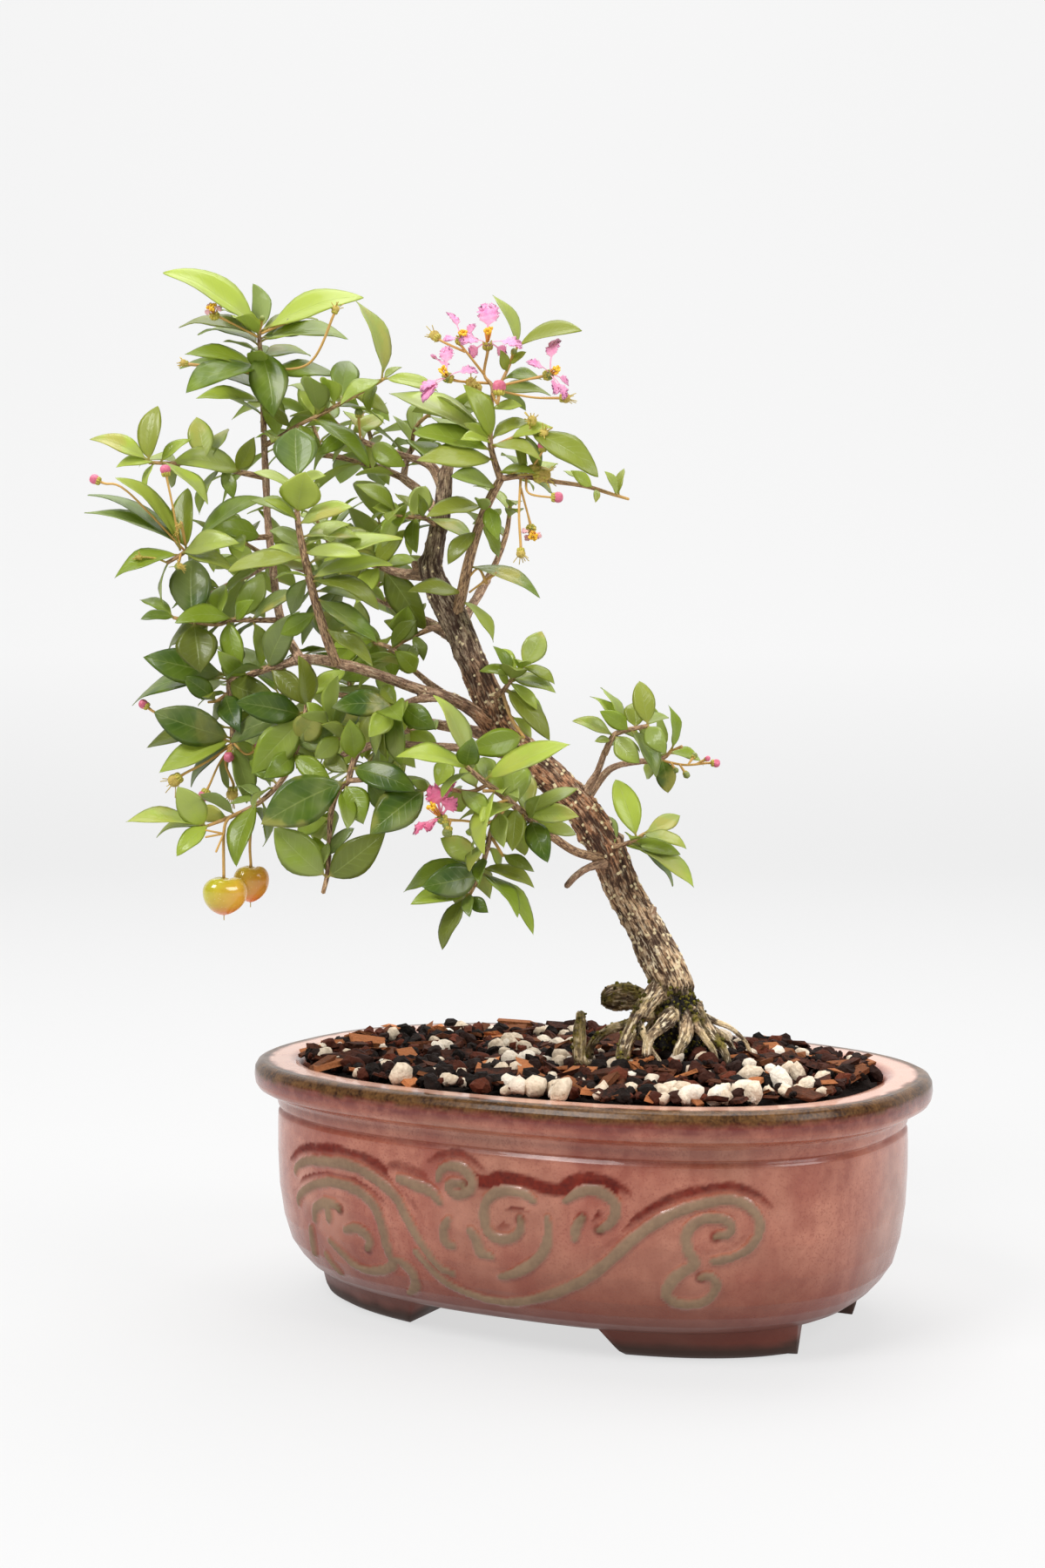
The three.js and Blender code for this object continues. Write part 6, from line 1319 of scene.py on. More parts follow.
            [(560, 901, 35, 0.6), (540, 909, 34, 0.6), (515, 906, 32, 0.6), (489, 906, 30, 0.5)],
            [(585, 919, 32, 0.5), (566, 943, 34, 0.4), (530, 942, 36, 0.35), (514, 941, 37, 0.5),
             (508, 940, 37, 1.3)], [(512, 941, 37, 0.3), (512, 946, 37, 1)],
            [(518, 941, 37, 0.3), (514, 954, 37, 1.4)],
            [(600, 934, 30, 0.4), (600, 946, 32, 0.35), (591, 958, 33, 0.6)],
            [(572, 908, 34, 0.4), (555, 908, 37, 0.6)], [(583, 918, 33, 0.4), (553, 928, 38, 0.6)]],
        "leaves": [(536, 880, 502, 796, 22, -3), (535, 879, 542, 851, 26, 8), (540, 884, 457, 865, 20, 8),
            (556, 897, 655, 855, 26, 6), (560, 900, 555, 868, 24, -8), (592, 926, 583, 868, 40, -3),
            (602, 934, 601, 880, 26, -9), (604, 936, 663, 905, 17, -4), (606, 938, 665, 938, 22, 7),
            (610, 941, 628, 988, 28, 8), (592, 927, 588, 977, 24, 3), (604, 937, 600, 984, 20, -5),
            (570, 908, 552, 978, 18, 6), (490, 906, 425, 956, 46, 7), (498, 906, 428, 903, 14, -9),
            (528, 907, 562, 942, 22, 6), (500, 906, 516, 872, 24, -6), (548, 905, 530, 878, 22, -9)],
        "small": [(492, 906, 472, 896, 12, 3), (520, 907, 531, 932, 26, 4), (606, 939, 618, 914, 14, 8),
            (614, 944, 661, 958, 17, 2), (590, 925, 552, 941, 16, 9), (576, 912, 562, 884, 18, -8)],
        "fill": (1, 19, 30)},
    "low_sprig": {
        "stems": [[(583, 920, 32, 0.8), (567, 945, 28, 0.8), (559, 975, 28, 0.8), (551, 1003, 28, 0.7),
             (538, 1030, 28, 0.5)], [(565, 962, 28, 0.5), (578, 983, 30, 0.4)]],
        "leaves": [(551, 1004, 486, 1018, 38, 7), (555, 990, 506, 962, 27, -3),
            (552, 1000, 462, 1021, 26, -7), (539, 1028, 472, 1037, 21, 5), (540, 1026, 504, 1088, 20, 2),
            (553, 998, 614, 1016, 16, 3), (552, 1002, 613, 1072, 19, 5), (551, 1004, 596, 1050, 15, 10),
            (552, 1002, 520, 1000, 20, -12)],
        "small": [(539, 1029, 560, 1047, 17, 4), (577, 981, 613, 1000, 15, 4),
            (560, 972, 576, 1000, 11, -6), (566, 962, 588, 958, 14, -6), (562, 966, 536, 950, 16, -8)],
        "fill": (1, 19, 31)},
    "trunk_right_twig": {
        "stems": [[(562, 802, 2, 1.1), (576, 795, 8, 0.8), (585, 783, 10, 0.7), (592, 775, 11, 0.6),
             (601, 764, 12, 0.5)], [(577, 795, 8, 0.6), (586, 822, 10, 0.5), (602, 847, 13, 0.4)]],
        "leaves": [(600, 766, 623, 724, 28, -3), (586, 782, 638, 795, 15, 7), (578, 794, 627, 819, 15, -7),
            (580, 790, 632, 849, 25, 2), (601, 846, 539, 861, 32, 6)],
        "small": [(600, 766, 637, 783, 13, 5), (585, 784, 618, 813, 14, -4), (592, 775, 551, 769, 13, 5),
            (588, 779, 569, 741, 12, 6), (586, 822, 612, 848, 12, -8), (583, 786, 572, 768, 10, 8),
            (594, 772, 576, 743, 17, -5)],
        "fill": (1, 17, 32)},
    "prong_upper_shoot": {
        "stems": [[(694, 866, 5, 1), (703, 847, 6, 0.9), (713, 840, 6, 0.8), (744, 833, 8, 0.6)]],
        "leaves": [(722, 838, 690, 817, 20, 6), (714, 839, 680, 797, 13, -5), (716, 839, 690, 789, 11, -10),
            (744, 833, 734, 782, 26, -3), (744, 833, 763, 863, 25, 6), (724, 838, 755, 891, 19, 4),
            (706, 845, 733, 875, 26, 5)],
        "small": [(730, 836, 727, 805, 26, -4), (702, 850, 683, 851, 9, 3), (742, 834, 768, 822, 14, -9),
            (732, 835, 746, 858, 14, -8), (712, 840, 738, 850, 12, -8), (704, 845, 659, 826, 15, 4)],
        "fill": (1, 17, 33)},
    "prong_lower_shoot": {
        "stems": [[(734, 874, -10, 0.9), (752, 873, -10, 0.8), (765, 868, -9, 0.6), (772, 859, -9, 0.4)],
            [(756, 872, -10, 0.4), (785, 878, -6, 0.35), (812, 876, -5, 0.35), (821, 876, -5, 1.2)],
            [(780, 877, -6, 0.3), (788, 889, -3, 1)], [(790, 878, -6, 0.3), (797, 868, -8, 0.9)],
            [(770, 875, -8, 0.3), (776, 884, -4, 0.8)], [(800, 877, -6, 0.3), (812, 871, -3, 0.8)],
            [(770, 862, -9, 0.25), (783, 857, -6, 0.6)]],
        "leaves": [(760, 871, 767, 910, 24, 4)],
        "small": [(768, 866, 810, 875, 13, -6), (766, 867, 745, 846, 14, -8), (758, 872, 742, 894, 16, -9),
            (771, 860, 771, 810, 12, 2)],
        "fill": (1, 16, 34)},
    "trunk_low_right_shoot": {
        "stems": [[(697, 975, 2, 1.1), (714, 970, 6, 0.7), (727, 965, 8, 0.6), (740, 957, 9, 0.5)]],
        "leaves": [(731, 963, 708, 894, 30, -4), (739, 958, 781, 936, 20, -5), (712, 970, 781, 980, 20, 6),
            (717, 969, 797, 1018, 20, 8), (726, 966, 776, 1015, 14, -6), (706, 972, 687, 933, 20, -7)],
        "small": [(738, 959, 788, 970, 13, 5)],
        "fill": (0, 17, 35)},
    "back_high_shoot": {
        "stems": [[(466, 550, -33, 1.1), (430, 535, -42, 1), (390, 525, -46, 0.9), (350, 520, -46, 0.8),
             (315, 512, -44, 0.6)], [(430, 535, -42, 0.8), (425, 500, -50, 0.7), (412, 468, -54, 0.5)],
            [(370, 523, -46, 0.8), (360, 490, -52, 0.6), (345, 460, -54, 0.5)]],
        "leaves": [], "small": [], "fill": (4, 22, 36)},
    "back_upper_shoot": {
        "stems": [[(463, 549, -34, 1.1), (470, 520, -44, 0.9), (490, 500, -50, 0.8), (515, 485, -54, 0.6)],
            [(472, 517, -45, 0.7), (478, 490, -38, 0.6), (500, 470, -32, 0.5)]],
        "leaves": [], "small": [], "fill": (3, 21, 37)},
    "back_middle_shoot": {
        "stems": [[(464, 702, -35, 1.2), (430, 685, -46, 1.1), (390, 668, -52, 1), (350, 655, -54, 0.9),
             (310, 640, -52, 0.8), (275, 620, -48, 0.6)],
            [(390, 668, -52, 0.8), (380, 630, -56, 0.7), (360, 590, -56, 0.5)],
            [(430, 685, -46, 0.8), (440, 640, -50, 0.7), (436, 600, -50, 0.5)]],
        "leaves": [], "small": [], "fill": (5, 23, 38)},
    "back_left_shoot": {
        "stems": [[(312, 645, -17, 1), (285, 660, -30, 0.9), (255, 675, -38, 0.8), (225, 690, -42, 0.6)]],
        "leaves": [], "small": [], "fill": (5, 21, 39)},
    "back_low_shoot": {
        "stems": [[(492, 829, -35, 1.2), (450, 812, -44, 1.1), (405, 800, -50, 1), (360, 795, -50, 0.9),
             (315, 800, -46, 0.7), (280, 815, -42, 0.5)],
            [(405, 800, -50, 0.8), (395, 760, -54, 0.7), (375, 730, -54, 0.5)],
            [(450, 812, -44, 0.8), (440, 850, -48, 0.7), (420, 885, -46, 0.5)]],
        "leaves": [], "small": [], "fill": (5, 23, 40)},
    "back_right_shoot": {
        "stems": [[(558, 668, -27, 1.1), (572, 640, -34, 0.9), (582, 610, -36, 0.8), (586, 580, -34, 0.6)]],
        "leaves": [], "small": [], "fill": (4, 19, 41)}}
# A bloom's petals are tip pixels with a depth from the base and the width seen; the rest are
# pixels with depths. A fruit has its size and the turn of its lobes too. The foliage is
# discs of pixels. A bend is millimetres in depth and a turn in radians.
BLOOMS = {
    "bloom_top": {"base": (560, 396, 9), "anthers": (560, 379, 11), "open": True, "petals": [
        (561, 351, -3, 23), (531, 393, 7, 8), (597, 397, 4, 9), (540, 407, -4, 13), (580, 406, -4, 13)]},
    "bloom_top_left": {"base": (529, 390, 12), "anthers": (531, 382, 14), "open": True, "petals": [
        (515, 360, -2, 8), (545, 388, -6, 8), (545, 374, 3, 8), (512, 391, 5, 6)]},
    "bloom_left": {"base": (514, 433, 15), "anthers": (508, 425, 20), "open": True, "petals": [
        (514, 399, -1, 15), (546, 426, 2, 8), (486, 448, 5, 8), (489, 458, 7, 8), (500, 412, -7, 8)]},
    "bloom_right": {"base": (630, 430, 14), "anthers": (639, 424, 16), "open": True, "petals": [
        (640, 391, -2, 13), (608, 417, 5, 7), (637, 451, 6, 8), (648, 456, 3, 8), (652, 440, -2, 7)]},
    "bloom_low": {"base": (507, 939, 37), "anthers": (496, 926, 40), "open": True, "petals": [
        (498, 903, 3, 22), (521, 917, 4, 18), (522, 899, -3, 8), (477, 956, 4, 7), (492, 953, 8, 7)]},
    "bloom_opening": {"base": (246, 361, -8), "anthers": (243, 352, -6), "open": False, "petals": [
        (240, 349, 1, 9), (253, 352, 2, 8), (236, 357, 3, 7)]},
    "bloom_pale": {"base": (610, 608, 12), "anthers": (612, 616, 15), "open": False, "petals": [
        (605, 620, 2, 8), (620, 617, 2, 8), (600, 611, 4, 6)]},
}
FRUITS = {
    "fruit_front": {"stalk": (257, 1008, 26), "radius": 6.2, "height": 10.3, "turn": 2.6},
    "fruit_rear": {"stalk": (287.5, 995, 17), "radius": 5, "height": 10, "turn": 0.4},
}
FOLIAGE = np.array([(300, 430, 80), (245, 545, 105), (380, 505, 80), (490, 520, 62), (395, 620, 95),
    (280, 690, 100), (335, 790, 110), (450, 620, 55), (445, 850, 78), (300, 865, 62), (385, 925, 50),
    (520, 895, 55), (585, 930, 45), (565, 470, 40), (560, 590, 40), (600, 785, 34), (735, 845, 40),
    (530, 1010, 45), (740, 965, 32), (450, 720, 50), (230, 930, 30)])
BENDS = [(0, 0), (3, 0), (-3, 0), (0, 0.25), (0, -0.25), (6, 0), (-6, 0), (5, 0.25), (-5, 0.25), (5, -0.25),
    (-5, -0.25), (9, 0), (-9, 0), (9, 0.3), (-9, 0.3), (9, -0.3), (-9, -0.3), (13, 0), (-13, 0)]
print(len(SHOOTS), "shoots")

# %% One leaf
LEAF_GIRTH, LEAF_ARCH, CLEARANCE = 0.44, 0.13, 1.15
PETAL_GIRTH, PETAL_ARCH = 0.52, 0.1


def leaf_outline(t):
    """Half width as a share over the length: sin(pi * u^0.92)^0.8, after a short stalk."""
    u = np.maximum(0, (np.asarray(t, float) - 0.06) / 0.94)
    return np.maximum(np.sin(np.pi * u ** 0.92), 0) ** 0.8


def petal_outline(t):
    """A narrow claw, then a round blade: 0.16 + 0.84 * sin(pi * v)."""
    t = np.asarray(t, float)
    v = clip01((t - 0.4) / 0.6 * 0.84)
    return np.where(t < 0.4, 0.16, 0.16 + 0.84 * np.sin(np.pi * v))


def leaf_towards(foot, tip, normal, half, outline=leaf_outline, arch=LEAF_ARCH):
    """A leaf as its foot, length and three directions: along, out of its upper face, across."""
    along = tip - foot
    length = np.linalg.norm(along)
    along = along / length
    out = unit(normal - along * (normal @ along))
    return dict(foot=foot, length=length, along=along, out=out, across=np.cross(out, along), half=half,
                outline=outline, arch=arch)


def leaf_seen(foot, tip, seen_width, extra_turn, girth=LEAF_GIRTH, **more):
    """A leaf whose face turns to the eye until its width seen fits."""
    along = tip - foot
    length = np.linalg.norm(along)
    along = along / length
    facing = unit(EYE - foot)
    facing = unit(facing - along * (facing @ along))
    upright = np.cross(along, facing)
    if upright[2] < 0:
        upright = -upright
    width = max(girth * length, abs(seen_width))
    turn = math.asin(min(1, abs(seen_width) / width)) + extra_turn
    normal = upright * math.cos(turn) + facing * math.sin(turn) * np.sign(seen_width)
    return leaf_towards(foot, tip, normal, width / 2, **more)


def leaf_points(leaf, t, side, lift):
    """Places on a leaf: foot + along * L t + across * side * w(t) + out * (4 a L t (1 - t) + lift)."""
    t, side, lift = (np.asarray(v, float)[..., None] for v in np.broadcast_arrays(t, side, lift))
    width = leaf["outline"](t) * leaf["half"]
    rise = leaf["length"] * leaf["arch"] * 4 * t * (1 - t) + lift
    ahead = leaf["foot"] + leaf["along"] * leaf["length"] * t
    return ahead + leaf["across"] * side * width + leaf["out"] * rise


print("a leaf's outline", np.round(leaf_outline(np.linspace(0, 1, 6)), 2).tolist())

# %% Tests that keep leaves apart
def crosses(lines, triangles):
    """Whether any line cuts any triangle, by the Moller-Trumbore test over all pairs at once."""
    if not len(lines) or not len(triangles):
        return False
    start, reach = lines[:, None, 0], (lines[:, 1] - lines[:, 0])[:, None]
    a = triangles[None, :, 0]
    ab, ac = triangles[None, :, 1] - a, triangles[None, :, 2] - a
    p = np.cross(reach, ac)
    det = (ab * p).sum(-1)
    safe = np.where(np.abs(det) < 1e-9, np.inf, det)
    offset = start - a
    u = (offset * p).sum(-1) / safe
    q = np.cross(offset, np.broadcast_to(ab, offset.shape))
    v = (reach * q).sum(-1) / safe
    t = (ac * q).sum(-1) / safe
    return bool(((np.abs(det) >= 1e-9) & (u >= 0) & (v >= 0) & (u + v <= 1) & (t >= 0) & (t <= 1)).any())


SKIN_ROWS = np.array([0.1, 0.28, 0.46, 0.64, 0.82, 0.97])


def net(grid, out, clearance):
    """Triangles of a 3 wide grid, and its lines at the clearance on both sides."""
    a, b, c, d = grid[:-1, :2], grid[:-1, 1:], grid[1:, 1:], grid[1:, :2]
    triangles = np.concatenate([np.stack([a, b, c], 2), np.stack([a, c, d], 2)]).reshape(-1, 3, 3)
    lines = []
    for lift in (-clearance, 0, clearance):
        g = grid + out * lift
        lines += [np.stack(pair, 2).reshape(-1, 2, 3) for pair in ((g[:, :2], g[:, 1:]), (g[:-1], g[1:]))]
    return np.concatenate(lines), triangles


def leaf_skin(leaf, clearance=CLEARANCE):
    """What the tests look at: the leaf's whole net, its outer part, its box and its points."""
    grid = leaf_points(leaf, SKIN_ROWS[:, None], np.array([1, 0, -1])[None], 0)
    points = grid.reshape(-1, 3)
    return dict(whole=net(grid, leaf["out"], clearance), outer=net(grid[1:], leaf["out"], clearance),
                low=points.min(0) - 1.5, high=points.max(0) + 1.5, points=points)


def wood_wires(rows, gap=0.65):
    """Lines along a tube's middle and six round it, at its radius and a gap, which no other shoot's leaf
    may cross."""
    table = wood_rows(rows)
    path, radius = table[:, :3], table[:, 3] + gap
    along = unit(np.diff(path, axis=0))
    side = unit(np.cross([0, 0, 1], along))
    other = np.cross(along, side)
    ring = np.concatenate([np.zeros((len(side), 1, 3)), circle(side, other, 6)], 1)
    ends = [path[part, None] + ring * radius[part, None, None] for part in (slice(None, -1), slice(1, None))]
    return np.stack(ends, 2).reshape(-1, 2, 3)


def meet(a_low, a_high, b):
    """Whether two upright boxes touch."""
    return (a_low <= b["high"]).all() and (a_high >= b["low"]).all()


WIRES = []
wood_tables = {"tree": [TRUNK, *ROOTS.values(), *LIMBS.values()]}
for owner, tables in (wood_tables | {name: shoot["stems"] for name, shoot in SHOOTS.items()}).items():
    for rows in tables:
        lines = wood_wires(rows)
        WIRES.append((owner, lines, lines.min((0, 1)), lines.max((0, 1))))
print(len(WIRES), "tubes to keep clear of")

# %% Petals as leaves, and the balls round blooms and fruits that leaves stay out of
def bloom_axis(bloom):
    """A bloom's calyx, the direction to its anthers and the distance between them."""
    start = spot(*bloom["base"])
    reach = spot(*bloom["anthers"]) - start
    return start, unit(reach), np.linalg.norm(reach)


def petal_seen(bloom, row):
    """A petal rises from the hub's edge on the side that its tip lies on."""
    start, along, _ = bloom_axis(bloom)
    middle = start + along * 0.8
    tip = spot(row[0], row[1], bloom["base"][2] + row[2])
    side = tip - middle
    side = unit(side - along * (side @ along))
    return leaf_seen(middle + side * 0.7, tip, row[3] / PIXELS_PER_MM, 0, PETAL_GIRTH,
                     outline=petal_outline, arch=PETAL_ARCH)


BALLS = []
for fruit in FRUITS.values():
    BALLS.append((spot(*fruit["stalk"]) - [0, 0, fruit["height"] / 2], fruit["radius"] + 1.2))
for bloom in BLOOMS.values():
    BALLS += [(spot(*bloom["base"]), 2.4), (spot(*bloom["anthers"]), 2.0)]
    for row in bloom["petals"]:
        petal = petal_seen(bloom, row)
        BALLS += [(leaf_points(petal, t, 0, 0), petal["half"] * 0.7 + 0.9) for t in (0.5, 0.75, 0.95)]
BALL_PLACES = np.array([place for place, _ in BALLS])
BALL_RADII = np.array([radius for _, radius in BALLS])
print(len(BALLS), "balls")

# %% Place all the leaves
placed = []


def meets_wood_or_leaf(skin, owner, part, own):
    """Whether a part of the leaf's net crosses a twig or a placed leaf, of its own shoot or of another."""
    mine = skin[part]
    for other, lines, low, high in WIRES:
        if (other == owner) == own and meet(low, high, skin) and crosses(lines, mine[1]):
            return True
    for other in placed:
        if (other["owner"] == owner) == own and meet(other["skin"]["low"], other["skin"]["high"], skin):
            its = other["skin"][part]
            if crosses(mine[0], its[1]) or crosses(its[0], mine[1]):
                return True
    return False


def clear_of_others(skin, owner):
    """Whether a leaf stays out of the balls, and off all other shoots."""
    gaps = np.linalg.norm(skin["points"][:, None] - BALL_PLACES[None], axis=-1)
    return not (gaps < BALL_RADII).any() and not meets_wood_or_leaf(skin, owner, "whole", False)


def clear_of_own(skin, owner):
    """Whether a leaf's outer part stays off its own shoot."""
    return not meets_wood_or_leaf(skin, owner, "outer", True)


def stem_place(stems, px, py):
    """The place on the stems nearest to a pixel, with its depth."""
    best = (1e9, None, 0)
    for rows in stems:
        for a, b in zip(rows, rows[1:]):
            reach = np.array([b[0] - a[0], b[1] - a[1]], float)
            t = float(clip01(((px - a[0]) * reach[0] + (py - a[1]) * reach[1]) / (reach @ reach)))
            gap = math.hypot(a[0] + t * reach[0] - px, a[1] + t * reach[1] - py)
            if gap < best[0]:
                start, end = spot(*a[:3]), spot(*b[:3])
                best = (gap, start + (end - start) * t, a[2] + t * (b[2] - a[2]))
    return best[1:]


def place_seen(owner, row, clearance=CLEARANCE):
    """Bends a leaf of the photograph until it is clear of others, and of its own shoot if it can be."""
    fx, fy, tx, ty, seen, away = row
    foot, depth = stem_place(SHOOTS[owner]["stems"], fx, fy)
    spare = None
    for swing, turn in BENDS:
        leaf = leaf_seen(foot, spot(tx, ty, depth + away + swing), seen / PIXELS_PER_MM, turn)
        skin = leaf_skin(leaf, clearance)
        if clear_of_others(skin, owner):
            made = dict(owner=owner, leaf=leaf, skin=skin)
            spare = spare or made
            if clear_of_own(skin, owner):
                return made
    return spare


def random_stream(seed):
    """A small seeded generator (mulberry32): add, multiply and mix bits, all in 32 bits."""
    state, mask = seed, 0xFFFFFFFF
    while True:
        state = (state + 0x6D2B79F5) & mask
        mixed = ((state ^ (state >> 15)) * (1 | state)) & mask
        mixed = ((mixed + ((mixed ^ (mixed >> 7)) * (61 | mixed))) ^ mixed) & mask
        yield (mixed ^ (mixed >> 14)) / 4294967296


def in_foliage(places):
    """Whether a place is seen within one of the discs that the foliage fills."""
    seen = pixel(places)
    return bool((np.hypot(*(FOLIAGE[:, :2] - seen).T) < FOLIAGE[:, 2]).any())


def place_ruled(owner, pairs, size, seed, clearance=CLEARANCE, droop=0.12):
    """Opposite pairs along a shoot's stems, each pair turned a quarter from the one before."""
    draw = random_stream(seed)
    bare = [rows for rows in SHOOTS[owner]["stems"] if rows[0][3] >= 0.5]
    for i in range(pairs * len(bare)):
        rows = bare[i % len(bare)]
        reach = (i // len(bare) + 0.3 + 0.6 * next(draw)) / pairs * (len(rows) - 1)
        step = min(len(rows) - 2, int(reach))
        start, end = (spot(*row[:3]) for row in rows[step:step + 2])
        foot = start + (end - start) * min(1, reach - step)
        along = unit(end - start)
        side = unit(np.cross([0, 0, 1], along))
        other = np.cross(along, side)
        turn = i * np.pi / 2 + (next(draw) - 0.5) * 0.9
        lean = 0.85 + 0.4 * next(draw)
        length = size * (0.75 + 0.4 * next(draw))
        for half in (0, np.pi):
            out = side * np.cos(turn + half) + other * np.sin(turn + half)
            direction = along * np.cos(lean) + out * np.sin(lean) - [0, 0, droop]
            tip = foot + unit(direction) * length
            leaf = leaf_towards(foot, tip, np.array([0, 0, 1]) + 0.5 * along, LEAF_GIRTH / 2 * length)
            skin = leaf_skin(leaf, clearance)
            leafy = in_foliage(tip) and in_foliage(leaf_points(leaf, 0.5, 0, 0))
            if leafy and clear_of_others(skin, owner) and clear_of_own(skin, owner):
                placed.append(dict(owner=owner, leaf=leaf, skin=skin))


for owner, shoot in SHOOTS.items():
    placed += [made for row in shoot["leaves"] if (made := place_seen(owner, row))]
for owner, shoot in SHOOTS.items():
    place_ruled(owner, *shoot["fill"])
solid_leaves = len(placed)
print(solid_leaves, "leaves that the solids have too")

# %% Small leaves that only this finish adds
for owner, shoot in SHOOTS.items():
    placed += [made for row in shoot["small"] if (made := place_seen(owner, row, 0.5))]
for turn, size in ((100, 15), (200, 12)):
    for k, owner in enumerate(SHOOTS):
        place_ruled(owner, 4, size, turn + k, 0.5)
print(len(placed) - solid_leaves, "more leaves")

# %% [markdown]
# ## Leaf surfaces
# A real leaf is a thin sheet, folded a little along its midrib, with a wavy margin. Here it
# is a closed shell: rings of twelve points round the blade, from the stalk to the tip. Each
# point carries a tone of green and whether it lies on the paler underside. The veins are
# drawn by the material from the leaf's own UV map: across the blade, and along it.

# %% Tones of green: discs of pixels where the leaves are lime or dark, and where a grey painted sheen lies on them
LIME_SPOTS = np.array([
    (190, 309, 60), (255, 325, 45), (380, 335, 62), (205, 345, 40), (172, 490, 34), (120, 507, 30),
    (232, 495, 24), (350, 562, 42), (320, 548, 25), (300, 645, 38), (385, 600, 40), (385, 635, 34),
    (240, 620, 30), (372, 565, 25), (435, 375, 60), (585, 372, 40), (630, 380, 44), (585, 505, 30),
    (560, 487, 30), (620, 490, 28), (604, 867, 42), (531, 867, 28), (520, 820, 30), (500, 862, 30),
    (614, 743, 26), (594, 796, 24), (720, 925, 34), (755, 942, 34), (209, 932, 26), (163, 930, 28),
    (362, 785, 30), (236, 430, 18), (700, 545, 18)])
DARK_SPOTS = np.array([
    (308, 440, 44), (285, 600, 30), (228, 742, 38), (194, 755, 34), (330, 738, 34), (216, 825, 38),
    (289, 784, 34), (299, 806, 32), (347, 912, 42), (463, 927, 38), (517, 1005, 30), (410, 985, 34),
    (440, 884, 32), (422, 801, 32), (218, 655, 34), (340, 510, 20), (265, 570, 30), (370, 700, 60),
    (480, 690, 50), (500, 500, 30), (230, 590, 22), (620, 965, 20), (540, 860, 24)])
# Discs where a painted sheen lies on the leaves.
PAINTED_SHEEN_SPOTS = np.array([
    (690, 520, 26), (600, 455, 24), (280, 905, 30), (240, 912, 22), (155, 585, 26), (190, 640, 24),
    (360, 990, 18), (500, 610, 20), (620, 895, 26), (340, 530, 22), (200, 372, 26), (300, 345, 16),
    (408, 424, 20)])


def spot_share(seen, spots):
    """How deep a pixel lies in the nearest of some discs: 1 in the middle, 0 outside."""
    gap = np.hypot(*(spots[:, :2] - seen).T) / spots[:, 2]
    return float(clip01(1.5 - 1.5 * gap.min()))


def leaf_tone(leaf, rng):
    """0 dark to 1 lime: higher in the lime discs, lower in the dark ones, with some chance; and how deep the
    leaf lies in the discs of painted sheen.
    """
    seen = pixel(leaf_points(leaf, 0.55, 0, 0))
    tone = 0.54 + 0.36 * rng.uniform(-1, 1) + 0.15 * float(lattice_noise(leaf["foot"][None] / 30, 51)[0])
    # grey is how deep the leaf lies in a disc of painted sheen.
    lime, dark, grey = (spot_share(seen, spots) for spots in (LIME_SPOTS, DARK_SPOTS, PAINTED_SHEEN_SPOTS))
    tone += (0.86 - tone) * lime * (dark < 0.3)
    tone += (0.1 - tone) * dark * 0.9
    return float(clip01(tone)), grey


# %% The shell of one leaf
LEAF_RING = np.array([1, 0.72, 0.38, 0, -0.38, -0.72, -1, -0.72, -0.38, 0, 0.38, 0.72])
RING_FACE = np.array([0, 1, 1, 1, 1, 1, 0, -1, -1, -1, -1, -1])
LEAF_ROWS, AROUND = 15, len(LEAF_RING)
WIDEST_WAVE, LONGEST_CURL, STALK_RADIUS = 3.2, 16, 0.36


def blade_width(t, blunt, peak):
    """The blade's half width as a share: sin(pi * u^peak)^blunt, after a short stalk."""
    u = np.maximum(0, (t - 0.07) / 0.93)
    return 0.98 * np.maximum(np.sin(np.pi * u ** peak), 0) ** blunt


def held_inside(places, share):
    """Leans a leaf back by what its farthest point lies outside the solids' box, more towards its tip."""
    low, high = (BOX_LOW - CENTRE) * 1000, (BOX_HIGH - CENTRE) * 1000
    for _ in range(8):
        over = np.maximum(places.max(0) + 0.05 - high, 0) - np.maximum(low - places.min(0) + 0.05, 0)
        places = places - over * clip01(1.6 * share)[:, None]
    return places


